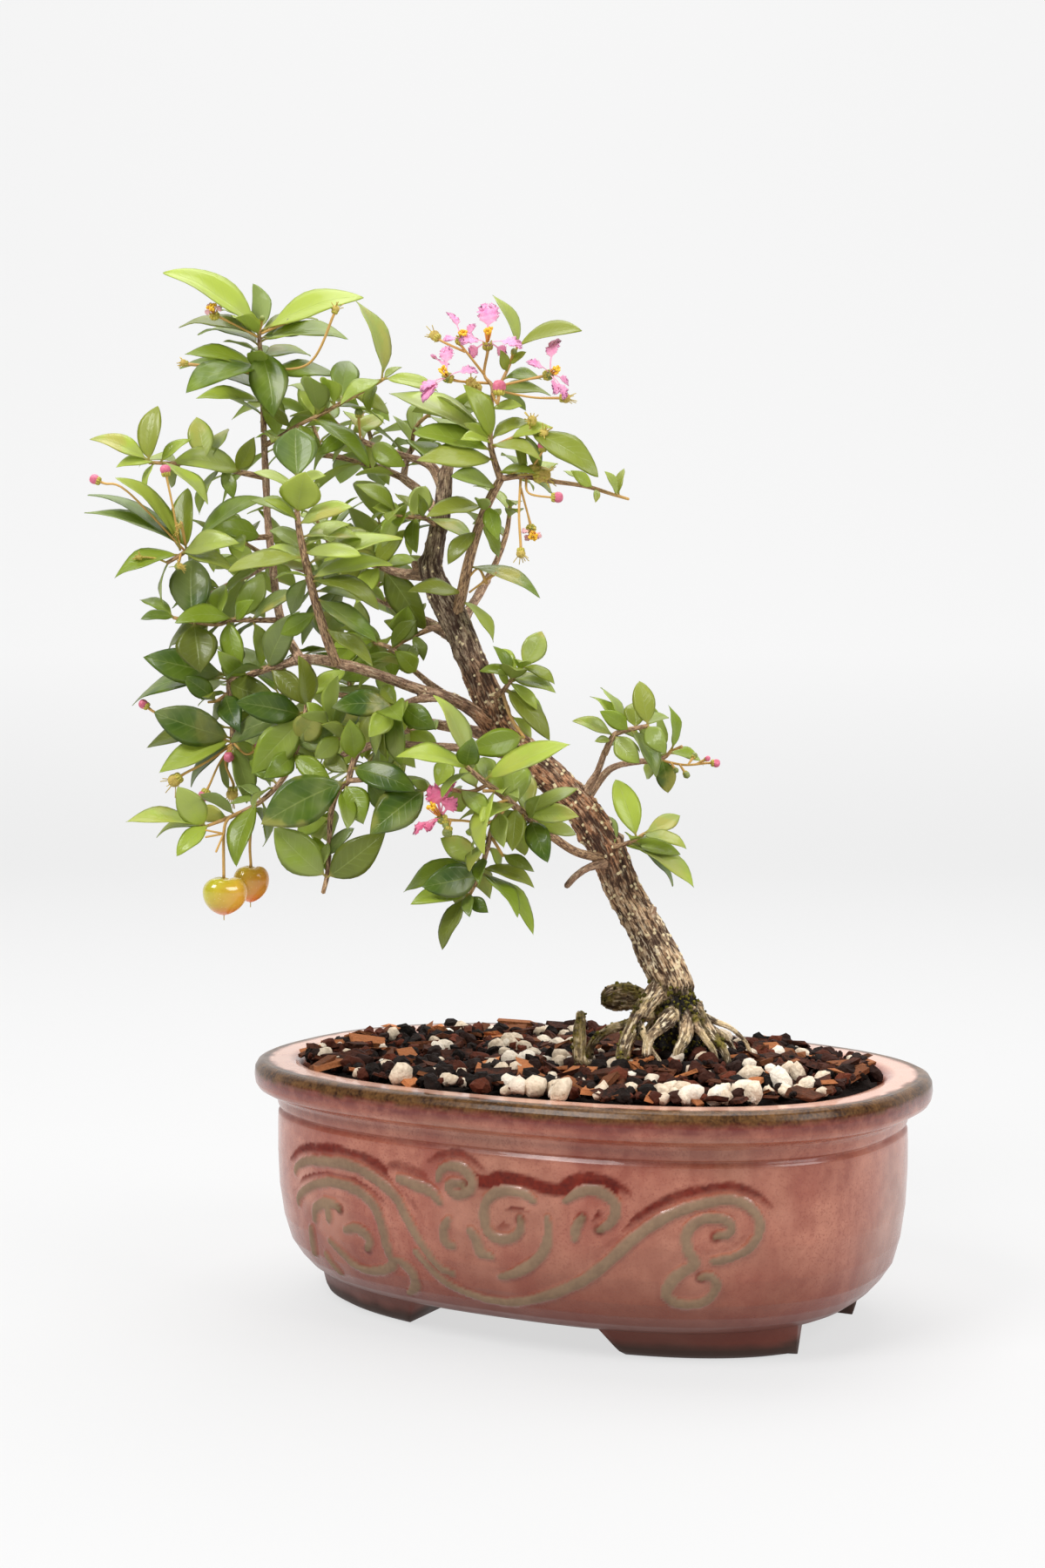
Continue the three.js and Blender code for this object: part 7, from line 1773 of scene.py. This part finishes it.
def leaf_shell(leaf, rng, thickness=0.34):
    """Rings of w(t) * s across and 4 a L t (1 - t) out, with a fold -c (1 - |s|) w, a wave, a sideways
    sweep and half a thickness on either face. Gives places, faces, tone, underside, UV and more marks."""
    t = 0.5 - 0.5 * np.cos(np.pi * (np.arange(LEAF_ROWS) + 0.6) / (LEAF_ROWS + 0.2))
    s, face = (np.broadcast_to(ring, (LEAF_ROWS, AROUND)) for ring in (LEAF_RING, RING_FACE))
    row = t[:, None]
    stalk = clip01((0.13 - t) / 0.07)[:, None]
    width = blade_width(t, rng.uniform(0.68, 0.95), rng.uniform(0.86, 1.06))[:, None] * leaf["half"]
    fold = rng.uniform(0.08, 0.42) * (1 - np.abs(row - 0.45))
    ripple = np.sin(row * rng.uniform(7, 14) + rng.uniform(0, 6) + s * 1.2)
    wave = 0.08 * min(leaf["half"], WIDEST_WAVE) * ripple * s ** 2
    curl = rng.uniform(-0.5, 0.06) * min(leaf["length"], LONGEST_CURL) * clip01(row - 0.55) ** 2
    bow = 4 * row * (1 - row)
    sweep = rng.uniform(-0.05, 0.05) * leaf["length"] * bow
    lift = wave + curl - fold * (1 - np.abs(s)) * width
    lift = lift + face * (thickness / 2) * (1 - 0.35 * np.abs(s)) * np.clip(width / 0.8, 0.3, 1)
    rise = leaf["length"] * leaf["arch"] * bow + lift
    places = (leaf["foot"] + (leaf["length"] * row)[..., None] * leaf["along"]
              + (s * width + sweep)[..., None] * leaf["across"] + rise[..., None] * leaf["out"])
    ring = circle(leaf["across"][None], leaf["out"][None], AROUND) * STALK_RADIUS
    ring = leaf_points(leaf, t, 0, 0)[:, None] + ring
    places = np.where((stalk > 0)[..., None], places + (ring - places) * stalk[..., None], places)
    foot = leaf_points(leaf, 0.0, 0, 0)
    tip = places[-1].mean(0) + 0.3 * unit(places[-1].mean(0) - places[-2].mean(0))
    places = np.vstack([foot, places.reshape(-1, 3), tip])
    far = np.repeat(t, AROUND)
    places = held_inside(places, np.concatenate([[0], far, [1]]))
    tone, grey = leaf_tone(leaf, rng)
    under = np.concatenate([[0], (face < 0).ravel(), [0]]).astype(float)
    uv = np.vstack([[0.5, 0], np.column_stack([0.5 + 0.5 * s.ravel(), far]), [0.5, 1]])
    stalky = np.concatenate([[1], np.repeat(stalk, AROUND), [0]])
    tone, grey, age = (np.full(len(places), value) for value in (tone, grey, rng.uniform()))
    return places, tube_faces(LEAF_ROWS, AROUND), tone, under, uv, grey, age, stalky


print("a leaf has", LEAF_ROWS * AROUND + 2, "points")

# %% [markdown]
# Leaves let light through, so the leaf finish is a mix of a half-glossy surface and a
# translucent one. Veins: the midrib is a thin line at half way across; the side veins are
# a wave in (along - 0.2 * |across|), so that they sweep towards the tip.

# %% Leaf finish
def vein_group():
    """Two masks from a leaf's UV, with off = 2 |u - 0.5|: the midrib 1 - off / (0.075 (1 - 0.6 v)), and the
    side veins (1 - ridge / 0.16) (1.05 - off) of a wave whose ridge is |fract(count (v - 0.2 off)) - 0.5|."""
    group, given, result = new_group("leaf veins", (("UV", "Vector", None), ("Count", "Float", 8)), (
        ("Midrib", "Float"), ("Side Veins", "Float")))
    parts, calc = group.put(group.add("ShaderNodeSeparateXYZ"), Vector=given["UV"]).outputs, group.math
    off = calc("MULTIPLY", calc("ABSOLUTE", calc("SUBTRACT", parts[0], 0.5)), 2)
    thin = calc("MULTIPLY", calc("SUBTRACT", 1, calc("MULTIPLY", parts[1], 0.6)), 0.075)
    rib = calc("MAXIMUM", calc("SUBTRACT", 1, calc("DIVIDE", off, thin)), 0)
    sweep = calc("SUBTRACT", parts[1], calc("MULTIPLY", off, 0.2))
    ridge = calc("SUBTRACT", calc("FRACT", calc("MULTIPLY", sweep, given["Count"])), 0.5)
    vein = calc("SUBTRACT", 1, calc("DIVIDE", calc("ABSOLUTE", ridge), 0.16))
    group.feed(result["Midrib"], rib)
    group.feed(result["Side Veins"], calc("MULTIPLY", calc("MAXIMUM", vein, 0), calc("SUBTRACT", 1.05, off)))
    return group.tree


VEINS = vein_group()


def leaf_finish():
    """Green by tone from dark to lime, with painted light that shifts leaves higher in the crown to lighter
    greens, then young, dusty and grey leaves, the grey a painted sheen, the underside, yellow patches of age,
    veins and stalk, each mixed over what comes before it."""
    f = Finish("leaf green", 0.42, coat=0.2)
    patch = f.noise(130, 3)
    tone = f.math("ADD", f.mark("tone"), f.math("MULTIPLY", f.math("SUBTRACT", patch, 0.5), 0.4))
    # Painted light: leaves higher in the crown are shifted towards the lighter greens.
    tone = f.math("ADD", tone, f.ramp(f.height(), 0.19, 0.27, 0.0, 0.12))
    top = f.mix(f.ramp(tone, 0.0, 0.45), rgb(46, 84, 18), rgb(148, 170, 50))
    top = f.mix(f.ramp(tone, 0.45, 0.95), top, rgb(196, 212, 88))
    top = f.mix(f.ramp(f.mark("age"), 0.0, 0.4, 0.65, 0.0), top, rgb(138, 136, 58))
    dusty = f.patchy(f.ramp(f.mark("age"), 0.4, 0.6, 0.0, 0.5), 60, 3, 0.42, 0.6, 0.0)
    top = f.mix(dusty, top, rgb(164, 170, 116))
    # Painted sheen: leaves in the sheen discs turn a pale grey-green.
    top = f.mix(f.math("MULTIPLY", f.mark("grey"), 0.55), top, rgb(142, 160, 116))
    base = f.mix(f.mark("under"), top, f.mix(0.5, top, rgb(174, 186, 112)))
    aged = f.patchy(f.ramp(f.mark("age"), 0.8, 1.0, 0.0, 0.8), 95, 4, 0.48, 0.62, 0.0)
    base = f.mix(aged, base, rgb(200, 190, 100))
    veins = f.add("ShaderNodeGroup", node_tree=VEINS)
    f.put(veins, UV=f.add("ShaderNodeUVMap", uv_map="UVMap").outputs[0], Count=9.0)
    side, midrib = veins.outputs["Side Veins"], veins.outputs["Midrib"]
    base = f.mix(f.math("MULTIPLY", side, 0.14), base, rgb(186, 206, 120))
    base = f.mix(f.math("MULTIPLY", midrib, 0.4), base, rgb(186, 198, 112))
    base = f.mix(f.mark("stalk"), base, rgb(186, 168, 92))
    f.colour(base)
    f.put(f.shader, Roughness=f.math("ADD", 0.36, f.math("MULTIPLY", f.mark("under"), 0.25)))
    height = f.math("ADD", f.math("MULTIPLY", side, 0.5), f.math("MULTIPLY", patch, 0.6))
    f.bump(f.math("SUBTRACT", height, midrib), 0.35, 0.00025)
    f.let_light_through(f.mix(0.4, base, rgb(206, 224, 104)), 0.4)
    return f.material


def twig_finish():
    """Mottled bark with dark fibres, and a yellow skin where the twig is thin."""
    f = Finish("young twig", 0.7)
    along = f.mark("grain", "Vector")
    bark, _ = f.mottle(rgb(212, 176, 134), rgb(118, 80, 56), 2200, 6000, 0.6, along)
    bark = f.mix(f.ramp(f.noise(2800, 5, along), 0.42, 0.52, 0.8, 0.0), bark, rgb(76, 48, 34))
    f.colour(f.mix(f.ramp(f.mark("thick"), 0.35, 0.7, 1.0, 0.0), bark, rgb(206, 162, 88)))
    f.bump(f.noise(1500, 4), 0.6, 0.0002)
    return f.material


LEAF, TWIG = leaf_finish(), twig_finish()
print("made", LEAF.name, "and", TWIG.name)

# %% Build every shoot: its leaves in one mesh and its twigs in another
def twig_tube(rows, index):
    """A twig's tube. A bud that the table makes by a thick end is left to the buds' own mesh."""
    table = wood_rows(rows)
    table[:, 3] = np.minimum(table[:, 3], max(0.5, table[0, 3])) if index else table[:, 3]
    return tube(table, 1.1, 8)


leaf_total = 0
for number, owner in enumerate(SHOOTS):
    rng = np.random.default_rng(700 + number)
    own = [made["leaf"] for made in placed if made["owner"] == owner]
    places, faces, tone, under, uv, grey, age, stalk = gather([leaf_shell(leaf, rng) for leaf in own])
    piece(owner + "_leaves", places, faces, LEAF, "leaf_green", [owner], uv=uv,
          marks=dict(tone=tone, under=under, grey=grey, age=age, stalk=stalk))
    tubes = [twig_tube(rows, k) for k, rows in enumerate(SHOOTS[owner]["stems"])]
    places, faces, far, turn, thick = gather(tubes)
    grain = grain_place(2 * np.pi * turn, thick, far)
    piece(owner + "_twigs", places, faces, TWIG, "bark", marks=dict(thick=thick, grain=grain))
    leaf_total += len(own)
print(leaf_total, "leaves on", len(SHOOTS), "shoots")

# %% [markdown]
# ## Blooms
# Each flower has five petals, every one a narrow claw that opens to a round, frilly blade.
# They rise from a green calyx cup with plump glands, round a tuft of yellow anthers on
# orange stalks. A petal is the same closed shell as a leaf, with more rings and a fringe.

# %% Petal shell
HALF_RING = [1, 0.8, 0.55, 0.28, 0, -0.28, -0.55, -0.8]
PETAL_RING = np.array(HALF_RING + [-s for s in HALF_RING])
PETAL_FACE = np.array([0] + [1] * 7 + [0] + [-1] * 7)
PETAL_ROWS, PETAL_AROUND = 26, len(PETAL_RING)


def frill_outline(t):
    """The petal's outline, blunt at the top: claw 0.13, then a blade sin(pi * v)^0.55."""
    v = clip01((np.asarray(t, float) - 0.42) / 0.58)
    blade = np.maximum(np.sin(np.pi * clip01(v * 0.96 + 0.02)), 0) ** 0.55
    return np.where(v > 0, 0.13 + 0.87 * blade * clip01(v * 6), 0.13)


def petal_shell(petal, rng, thickness=0.24):
    """Rings of the frilly blade: a fringe r on the margin, a cup c s^2 w and ripples towards the edge."""
    t = np.linspace(0.02, 1, PETAL_ROWS)[:, None]
    s, face = (np.broadcast_to(ring, (PETAL_ROWS, PETAL_AROUND)) for ring in (PETAL_RING, PETAL_FACE))
    edge = np.abs(s)
    phase = rng.uniform(0, 6)
    blade = clip01((t - 0.42) * 5)
    fringe = 1 + 0.2 * blade * np.sin(t * 62 + phase) * edge ** 3
    width = np.maximum(frill_outline(t), 0.02) * petal["half"]
    notch = 0.12 * blade * np.cos(s * 9 + phase) * clip01(t * 3 - 2)
    cup = 0.22 * s ** 2 * width * blade
    ripple = 0.13 * petal["half"] * blade * np.sin(t * 34 + 2.5 * s + phase) * edge ** 1.5
    lift = cup + ripple + face * thickness / 2 * (1 - 0.4 * edge)
    along = np.broadcast_to(t, s.shape) - notch
    rise = petal["length"] * petal["arch"] * 4 * along * (1 - along) + lift
    places = (petal["foot"] + petal["along"] * (petal["length"] * along)[..., None]
              + petal["across"] * (s * fringe * width)[..., None] + petal["out"] * rise[..., None])
    ends = leaf_points(petal, np.array([0.0, 0.97]), 0, 0)
    places = np.vstack([ends[:1], places.reshape(-1, 3), ends[1:]])
    pale = clip01(0.75 - np.repeat(t, PETAL_AROUND) + 0.15 * (edge.ravel() - 0.5))
    return places, tube_faces(PETAL_ROWS, PETAL_AROUND), np.concatenate([[0.6], pale, [0]])


print("a petal has", PETAL_ROWS * PETAL_AROUND + 2, "points")


# %% Round parts: calyx, glands, buds and anthers
def crossing(axis, hint):
    """Two directions square to an axis, found with a hint."""
    side = unit(np.cross(axis, hint))
    return side, np.cross(axis, side)


def drop(middle, axis, radius, height, rows=7, around=8, shape=1.0, lobes=0, lobe=0.0, phase=0.0):
    """A closed drop: rings of r * sin(a)^shape round the axis, h * -cos(a) along it, with lobes."""
    axis = unit(axis)
    side, other = crossing(axis, [0.36, 0.48, 0.8])
    a = np.pi * (np.arange(rows) + 0.7) / (rows + 0.4)
    turn = 2 * np.pi * np.arange(around) / around
    girth = radius * (np.sin(a) ** shape)[:, None] * (1 + lobe * np.cos(lobes * turn + phase))[None]
    grid = middle + girth[..., None] * circle(side[None], other[None], around)
    grid = grid - (np.cos(a) * height)[:, None, None] * axis
    places = np.vstack([middle - axis * height, grid.reshape(-1, 3), middle + axis * height])
    return places, tube_faces(rows, around)


def fibre(start, end, bow, radius, around=5, steps=5):
    """A thin bowed stalk: a straight line plus bow * 4 t (1 - t)."""
    t = np.linspace(0, 1, steps)[:, None]
    path = start + (end - start) * t + bow * 4 * t * (1 - t)
    along, side, other = carried_frame(path)
    rings = path[:, None] + circle(side, other, around) * radius
    places = np.vstack([path[:1], rings.reshape(-1, 3), path[-1:] + along[-1:] * radius])
    return places, tube_faces(steps, around)


def calyx_parts(start, axis, radius):
    """A cup with ten plump glands in five pairs, and five pointed sepals above them."""
    parts = [drop(start, axis, radius, radius * 0.85, 7, 12)]
    side, other = crossing(axis, [0.2, 0.9, 0.3])
    for k in range(10):
        turn = 2 * np.pi * (k // 2) / 5 + (0.28 if k % 2 else -0.28)
        out = side * np.cos(turn) + other * np.sin(turn)
        place = start + out * radius * 0.92 - axis * radius * 0.12
        parts.append(drop(place, axis + 0.25 * out, radius * 0.34, radius * 0.62, 5, 7))
    for k in range(5):
        turn = 2 * np.pi * (k + 0.5) / 5
        out = side * np.cos(turn) + other * np.sin(turn)
        place = start + out * radius * 0.8 + axis * radius * 0.7
        parts.append(drop(place, axis + 0.5 * out, radius * 0.3, radius * 0.75, 5, 6))
    return parts


def stamen_parts(start, axis, length, rng, count=13):
    """Stalks that lean out from the hub by a drawn reach, with an anther on each."""
    stalks, tips = [], []
    side, other = crossing(axis, [0.3, 0.9, 0.2])
    for k in range(count):
        turn = 2 * np.pi * k / count + rng.uniform(-0.2, 0.2)
        out = side * np.cos(turn) + other * np.sin(turn)
        reach = rng.uniform(0.35, 1.35)
        top = start + axis * (length * rng.uniform(0.82, 1.12)) + out * reach
        stalks.append(fibre(start + axis * 0.9 + out * 0.3, top, out * 0.2, 0.13))
        tips.append(drop(top, axis + out * rng.uniform(0, 0.8), 0.42, 0.6, 5, 7))
    return stalks, tips


# %% Petal, calyx and anther finishes
def petal_finish(name, deep, pale_tone, glow_share):
    """A mottled pink that turns pale by the petal's own mark, and lets light through."""
    f = Finish(name, 0.55)
    tone, _ = f.mottle(deep, tuple(0.5 * (a + b) for a, b in zip(deep, pale_tone)), 500, 1800, 0.5)
    f.colour(f.mix(f.mark("pale"), tone, pale_tone))
    f.bump(f.noise(1300, 3), 0.25, 0.0002)
    f.let_light_through(tone, glow_share)
    return f.material


def small_finish(name, a, b, rough):
    """Two mottled tones with a fine grain, for small parts."""
    f = Finish(name, rough)
    f.colour(f.mottle(a, b, 500, 1700, 0.5)[0])
    f.bump(f.noise(1600, 3), 0.3, 0.00015)
    return f.material


PINK = petal_finish("pink petal", rgb(246, 150, 204), rgb(255, 224, 236), 0.3)
DEEP_PINK = petal_finish("deep pink petal", rgb(236, 104, 152), rgb(248, 172, 196), 0.25)
PALE_PINK = petal_finish("pale petal", rgb(246, 190, 206), rgb(250, 226, 196), 0.3)
CALYX = small_finish("calyx green", rgb(206, 192, 80), rgb(158, 148, 56), 0.5)
STALK = small_finish("orange stalk", rgb(232, 164, 72), rgb(210, 130, 60), 0.5)
ANTHER = small_finish("yellow anther", rgb(252, 214, 66), rgb(232, 172, 40), 0.7)
BUD_PINK = small_finish("pink bud", rgb(226, 120, 150), rgb(196, 92, 112), 0.5)
BUD_GREEN = small_finish("green bud", rgb(150, 158, 78), rgb(108, 120, 56), 0.5)
WITHERED = small_finish("withered bloom", rgb(214, 190, 96), rgb(164, 138, 62), 0.7)
PALE_BLOOMS = ("bloom_opening", "bloom_pale")

# %% Build the blooms
for number, (name, bloom) in enumerate(BLOOMS.items()):
    rng = np.random.default_rng(900 + number)
    start, axis, length = bloom_axis(bloom)
    places, faces, pale = gather([petal_shell(petal_seen(bloom, row), rng) for row in bloom["petals"]])
    material = DEEP_PINK if name == "bloom_low" else PALE_PINK if name in PALE_BLOOMS else PINK
    slot = "petal_pale" if name in PALE_BLOOMS else "petal_pink"
    piece(name + "_petals", places, faces, material, slot, [name + "_petals"], marks=dict(pale=pale))
    piece(name + "_calyx", *gather(calyx_parts(start - axis * 0.5, axis, 1.25)), CALYX, "leaf_green")
    stalks, tips = stamen_parts(start, axis, length, rng)
    replaced = [name + "_stamens"] if bloom["open"] else ()
    piece(name + "_anthers", *gather(tips), ANTHER, "stamen_yellow", replaced)
    piece(name + "_stalks", *gather(stalks), STALK, "stamen_yellow")
print(len(BLOOMS), "blooms")

# %% [markdown]
# ## Buds
# A bud is a small ball of folded petals in a green cup of glands. They sit on the thick
# ends of stems in the table; the pink ones are named by their place in the photograph.

# %% Build the buds
PINK_BUDS = np.array([
    (189, 544), (115, 554), (572, 450), (623, 516), (637, 572), (168, 811), (262, 863), (295, 857),
    (236, 911), (817, 875), (436, 766), (533, 415)])
SPENT_BUDS = np.array([
    (385, 356), (212, 418), (500, 386), (646, 460), (600, 633), (202, 893), (265, 908), (624, 543)])
WITHERED_AT = {
    "blossom_spray": ((541, 440, 1.9), (549, 446, 1.3)),
    "right_branch_shoot": ((622, 545, 2.6), (612, 538, 1.5), (624, 497, 1.4), (611, 483, 1.5)),
    "left_mid_shoot": ((206, 604, 0.9), (203, 612, 0.8), (160, 640, 0.9), (207, 650, 1.1))}
NEAR = 13


def bud_places():
    """Place, direction, radius and pixel of every stem that ends in a bud."""
    found = []
    for shoot in SHOOTS.values():
        for rows in shoot["stems"][1:]:
            thick = max(rows[-1][3], rows[-2][3] if len(rows) > 2 else 0)
            if thick >= 0.75 and rows[-1][3] >= 0.6:
                end, before = spot(*rows[-1][:3]), spot(*rows[-2][:3])
                found.append((end, unit(end - before), thick, pixel(end)))
    return found


def bud_parts(end, axis, radius, rng):
    """Five overlapping petals as a lobed drop, and the glands round its lower half."""
    middle, phase = end + axis * radius * 0.3, rng.uniform(0, 6)
    head = drop(middle, axis, radius, radius * 0.95, 9, 20, 0.8, 5, 0.07, phase)
    return head, calyx_parts(end - axis * radius * 0.5, axis, radius * 0.72)


def dry_threads(end, axis, radius, rng, count, spread, longest, thickness):
    """Shrivelled threads that lean off the axis by a drawn spread."""
    threads = []
    for _ in range(count):
        lean = unit(axis + spread * rng.uniform(-1, 1, 3))
        threads.append(fibre(end, end + lean * radius * rng.uniform(*longest), lean * 0.1, thickness))
    return threads


rng = np.random.default_rng(77)
pink, green, spent, cups = [], [], [], []
for end, axis, radius, seen in bud_places():
    near_pink, near_spent = (np.hypot(*(buds - seen).T).min() < NEAR for buds in (PINK_BUDS, SPENT_BUDS))
    head, cup = bud_parts(end, axis, radius * (0.8 if near_spent else 1), rng)
    cups += cup
    (spent if near_spent else pink if near_pink else green).append(head)
    if near_spent:
        spent += dry_threads(end, axis, radius, rng, 7, 0.9, (1.5, 2.3), 0.14)
for owner, rows in WITHERED_AT.items():
    for px, py, radius in rows:
        start, depth = stem_place(SHOOTS[owner]["stems"], px, py)
        end = spot(px, py, depth + 1.5)
        axis = unit(end - start)
        spent.append(fibre(start, end, np.array([0, 0, 0.6]), 0.3))
        spent.append(drop(end, axis, radius * 0.8, radius, 7, 12, 0.8, 5, 0.15))
        cups += calyx_parts(end - axis * radius * 0.4, axis, radius * 0.7)
        spent += dry_threads(end, axis, radius, rng, 9, 1.1, (1.4, 2.4), 0.16)
for name, parts, material, slot in (
        ("buds_pink", pink, BUD_PINK, "petal_pink"), ("buds_green", green, BUD_GREEN, "leaf_green"),
        ("blooms_spent", spent, WITHERED, "petal_pale"), ("bud_cups", cups, CALYX, "leaf_green")):
    piece(name, *gather(parts), material, slot)
print(len(pink), "pink,", len(green), "green and", len(spent), "parts of spent ones")

# %% [markdown]
# ## Cherries
# A barbados cherry is a three-lobed berry, flat above, with a dimple at the stalk. It is
# turned like a bowl: stations of height and girth round an upright axis, with the girth
# swelling three times round. The front one is yellow-green to its left and orange below.

# %% Fruit shape and finish
FRUIT_STATIONS = np.array([
    (0.1, 0.05), (0.055, 0.14), (0.012, 0.3), (-0.004, 0.46), (0.012, 0.62), (0.05, 0.75), (0.13, 0.88),
    (0.22, 0.965), (0.33, 1.0), (0.46, 0.985), (0.6, 0.925), (0.72, 0.81), (0.82, 0.66), (0.9, 0.49),
    (0.96, 0.3), (0.99, 0.14), (1.0, 0.05)])
STATION_COUNT, FRUIT_ROWS, FRUIT_AROUND = len(FRUIT_STATIONS), 49, 64


def fruit(stalk, radius, height, turn):
    """Rings at crown - h * down with girth r * g * (1 + lobe * cos 3(angle - turn)), from stations that are
    cut finer and smoothed by (a + 2 b + c) / 4."""
    crown = spot(*stalk)
    cuts = np.linspace(0, STATION_COUNT - 1, FRUIT_ROWS)
    down, girth = (np.interp(cuts, np.arange(STATION_COUNT), column) for column in FRUIT_STATIONS.T)
    kernel = np.array([0.25, 0.5, 0.25])
    for _ in range(3):
        down[1:-1], girth[1:-1] = np.convolve(down, kernel, "valid"), np.convolve(girth, kernel, "valid")
    angle = 2 * np.pi * np.arange(FRUIT_AROUND) / FRUIT_AROUND
    swell = np.cos(3 * (angle - turn))[None]
    wide = radius * girth[:, None] * (1 + 0.06 * np.minimum(1, girth * 1.4)[:, None] * swell)
    sag = 0.02 * swell * clip01(1 - down)[:, None]
    grid = np.stack([crown[0] + wide * np.cos(angle), crown[1] + wide * np.sin(angle),
                     crown[2] - height * (down[:, None] - sag) + np.zeros_like(wide)], -1)
    places = np.vstack([grid[0].mean(0), grid.reshape(-1, 3), grid[-1].mean(0)])
    faces = tube_faces(FRUIT_ROWS, FRUIT_AROUND)[:, ::-1]
    faces = np.where(faces[:, :1] < 0, np.roll(faces, -1, axis=1), faces)
    share = (places - crown) / [radius, radius, height]
    ripe = clip01(0.35 + 0.45 * (share @ RIGHT) - 0.55 * (share[:, 2] + 0.5))
    return places, faces, ripe, clip01((-share[:, 2] - 0.72) * 3.5)


def fruit_finish():
    """Yellow-green that warms where it is ripe and reddens in the blush, under pale specks."""
    f = Finish("cherry skin", 0.16, coat=0.5)
    base, _ = f.mottle(rgb(198, 188, 54), rgb(172, 164, 40), 120, 700, 0.3)
    base = f.mix(f.mark("ripe"), base, rgb(236, 160, 62))
    base = f.mix(f.math("MULTIPLY", f.mark("blush"), 0.85), base, rgb(230, 92, 50))
    cells = f.put(f.add("ShaderNodeTexVoronoi"), Vector=f.place, Scale=1100.0)
    f.colour(f.mix(f.ramp(cells.outputs["Distance"], 0.1, 0.2, 0.35, 0.0), base, rgb(236, 226, 150)))
    f.put(f.shader, Subsurface_Weight=0.25, Subsurface_Radius=(0.003, 0.002, 0.0008))
    f.bump(f.noise(260, 3), 0.08, 0.0003)
    return f.material


CHERRY = fruit_finish()
for name, row in FRUITS.items():
    places, faces, ripe, blush = fruit(row["stalk"], row["radius"], row["height"], row["turn"])
    if name == "fruit_rear":
        ripe = clip01(ripe + 0.35)
    piece(name, places, faces, CHERRY, "fruit_skin", [name], marks=dict(ripe=ripe, blush=blush))
    crown = spot(*row["stalk"])
    down = np.array([0, 0, -1.0])
    foot = crown + down * row["height"] * 0.98
    dry = [fibre(foot, crown + down * (row["height"] + 1.3), np.zeros(3), 0.14)]
    for k in range(6):
        out = RIGHT * np.cos(k) + TOWARDS * np.sin(k)
        dry.append(drop(crown + down * 0.35 + out * 0.75, out + [0, 0, 0.9], 0.22, 0.5, 5, 6))
    piece(name + "_calyx", *gather(dry), WITHERED, "leaf_green")
print(len(FRUITS), "fruits")

# %% [markdown]
# ## Stage, light and camera
# The photograph has a plain, very pale ground with hardly any shadow, so the light comes
# from all round, with one broad lamp from the upper left.

# %% Pale ground
HALF_WIDE, BEND_AT, BEND_RADIUS, WALL_HIGH = 6.0, 1.6, 1.2, 5.0


def ground():
    """A floor that curves up to a back wall by a quarter circle, b = bend + r sin, h = r (1 - cos), swept
    from left to right of the camera."""
    turn = np.linspace(0, np.pi / 2, 24)
    back = np.concatenate([[-HALF_WIDE], BEND_AT + BEND_RADIUS * np.sin(turn), [BEND_AT + BEND_RADIUS]])
    height = np.concatenate([[0.0], BEND_RADIUS * (1 - np.cos(turn)), [WALL_HIGH]])
    rows = np.multiply.outer(back, -TOWARDS) + np.multiply.outer(height, [0, 0, 1])
    flat = (rows[:, None] + np.multiply.outer([-HALF_WIDE, HALF_WIDE], RIGHT)).reshape(-1, 3)
    k = np.arange(len(back) - 1) * 2
    mesh = bpy.data.meshes.new("pale ground")
    faces = np.column_stack([k, k + 1, k + 3, k + 2])
    mesh.from_pydata((flat + [CENTRE[0], CENTRE[1], -0.0002]).tolist(), [], faces.tolist())
    mesh.polygons.foreach_set("use_smooth", np.ones(len(k), bool))
    f = Finish("pale ground", 0.9)
    f.colour((0.17, 0.17, 0.17, 1))
    glow = f.put(f.add("ShaderNodeMapRange"), Value=f.height(), From_Max=0.25, To_Min=0.66, To_Max=0.77)
    f.put(f.shader, Emission_Strength=glow.outputs["Result"], Emission_Color=(1, 1, 1, 1),
          Specular_IOR_Level=0.1)
    mesh.materials.append(f.material)
    return linked("pale ground", mesh)


ground()


# %% Lamps, sky and camera
def aimed(made, place, direction):
    """Puts a lamp or camera at a place and turns it to look in a direction."""
    made.location = place
    made.rotation_euler = direction.to_track_quat("-Z", "Y").to_euler()


def lamp(name, place, size, watts, target=(0.0, 0.0, 0.15)):
    """A square soft lamp at a place, turned to the target."""
    light = bpy.data.lights.new(name, "AREA")
    light.size = size
    light.energy = watts
    aimed(linked(name, light), place, Vector(target) - Vector(place))


def beside(right, near, up):
    """A place in metres told from the camera's side: to its right, towards it, and up."""
    return tuple((RIGHT * right + TOWARDS * near + np.array([0, 0, up]) + CENTRE).tolist())


lamp("broad lamp", beside(-0.9, 0.9, 1.3), 0.7, 24)
lamp("fill lamp", beside(1.2, 0.8, 0.9), 0.8, 15)
lamp("top lamp", beside(0.1, -0.3, 1.6), 1.0, 12)
lamp("ground lamp", beside(0.0, -1.2, 2.2), 2.5, 24, (0.0, 1.2, 0.2))
world = bpy.data.worlds.new("pale room")
world.use_nodes = True
sky = world.node_tree.nodes["Background"].inputs
sky["Color"].default_value = (1.0, 1.0, 1.0, 1)
sky["Strength"].default_value = 0.2
bpy.context.scene.world = world
bpy.context.scene.view_settings.view_transform = "Standard"

camera = bpy.data.cameras.new("camera")
camera.sensor_width = 36
camera.lens = FOCAL / PHOTO_HEIGHT * camera.sensor_width
camera.clip_start = 0.05
holder = linked("camera", camera)
aimed(holder, (EYE / 1000 + CENTRE).tolist(), Vector(LOOK.tolist()))
bpy.context.scene.camera = holder
print("camera with a lens of", round(camera.lens, 2), "mm")
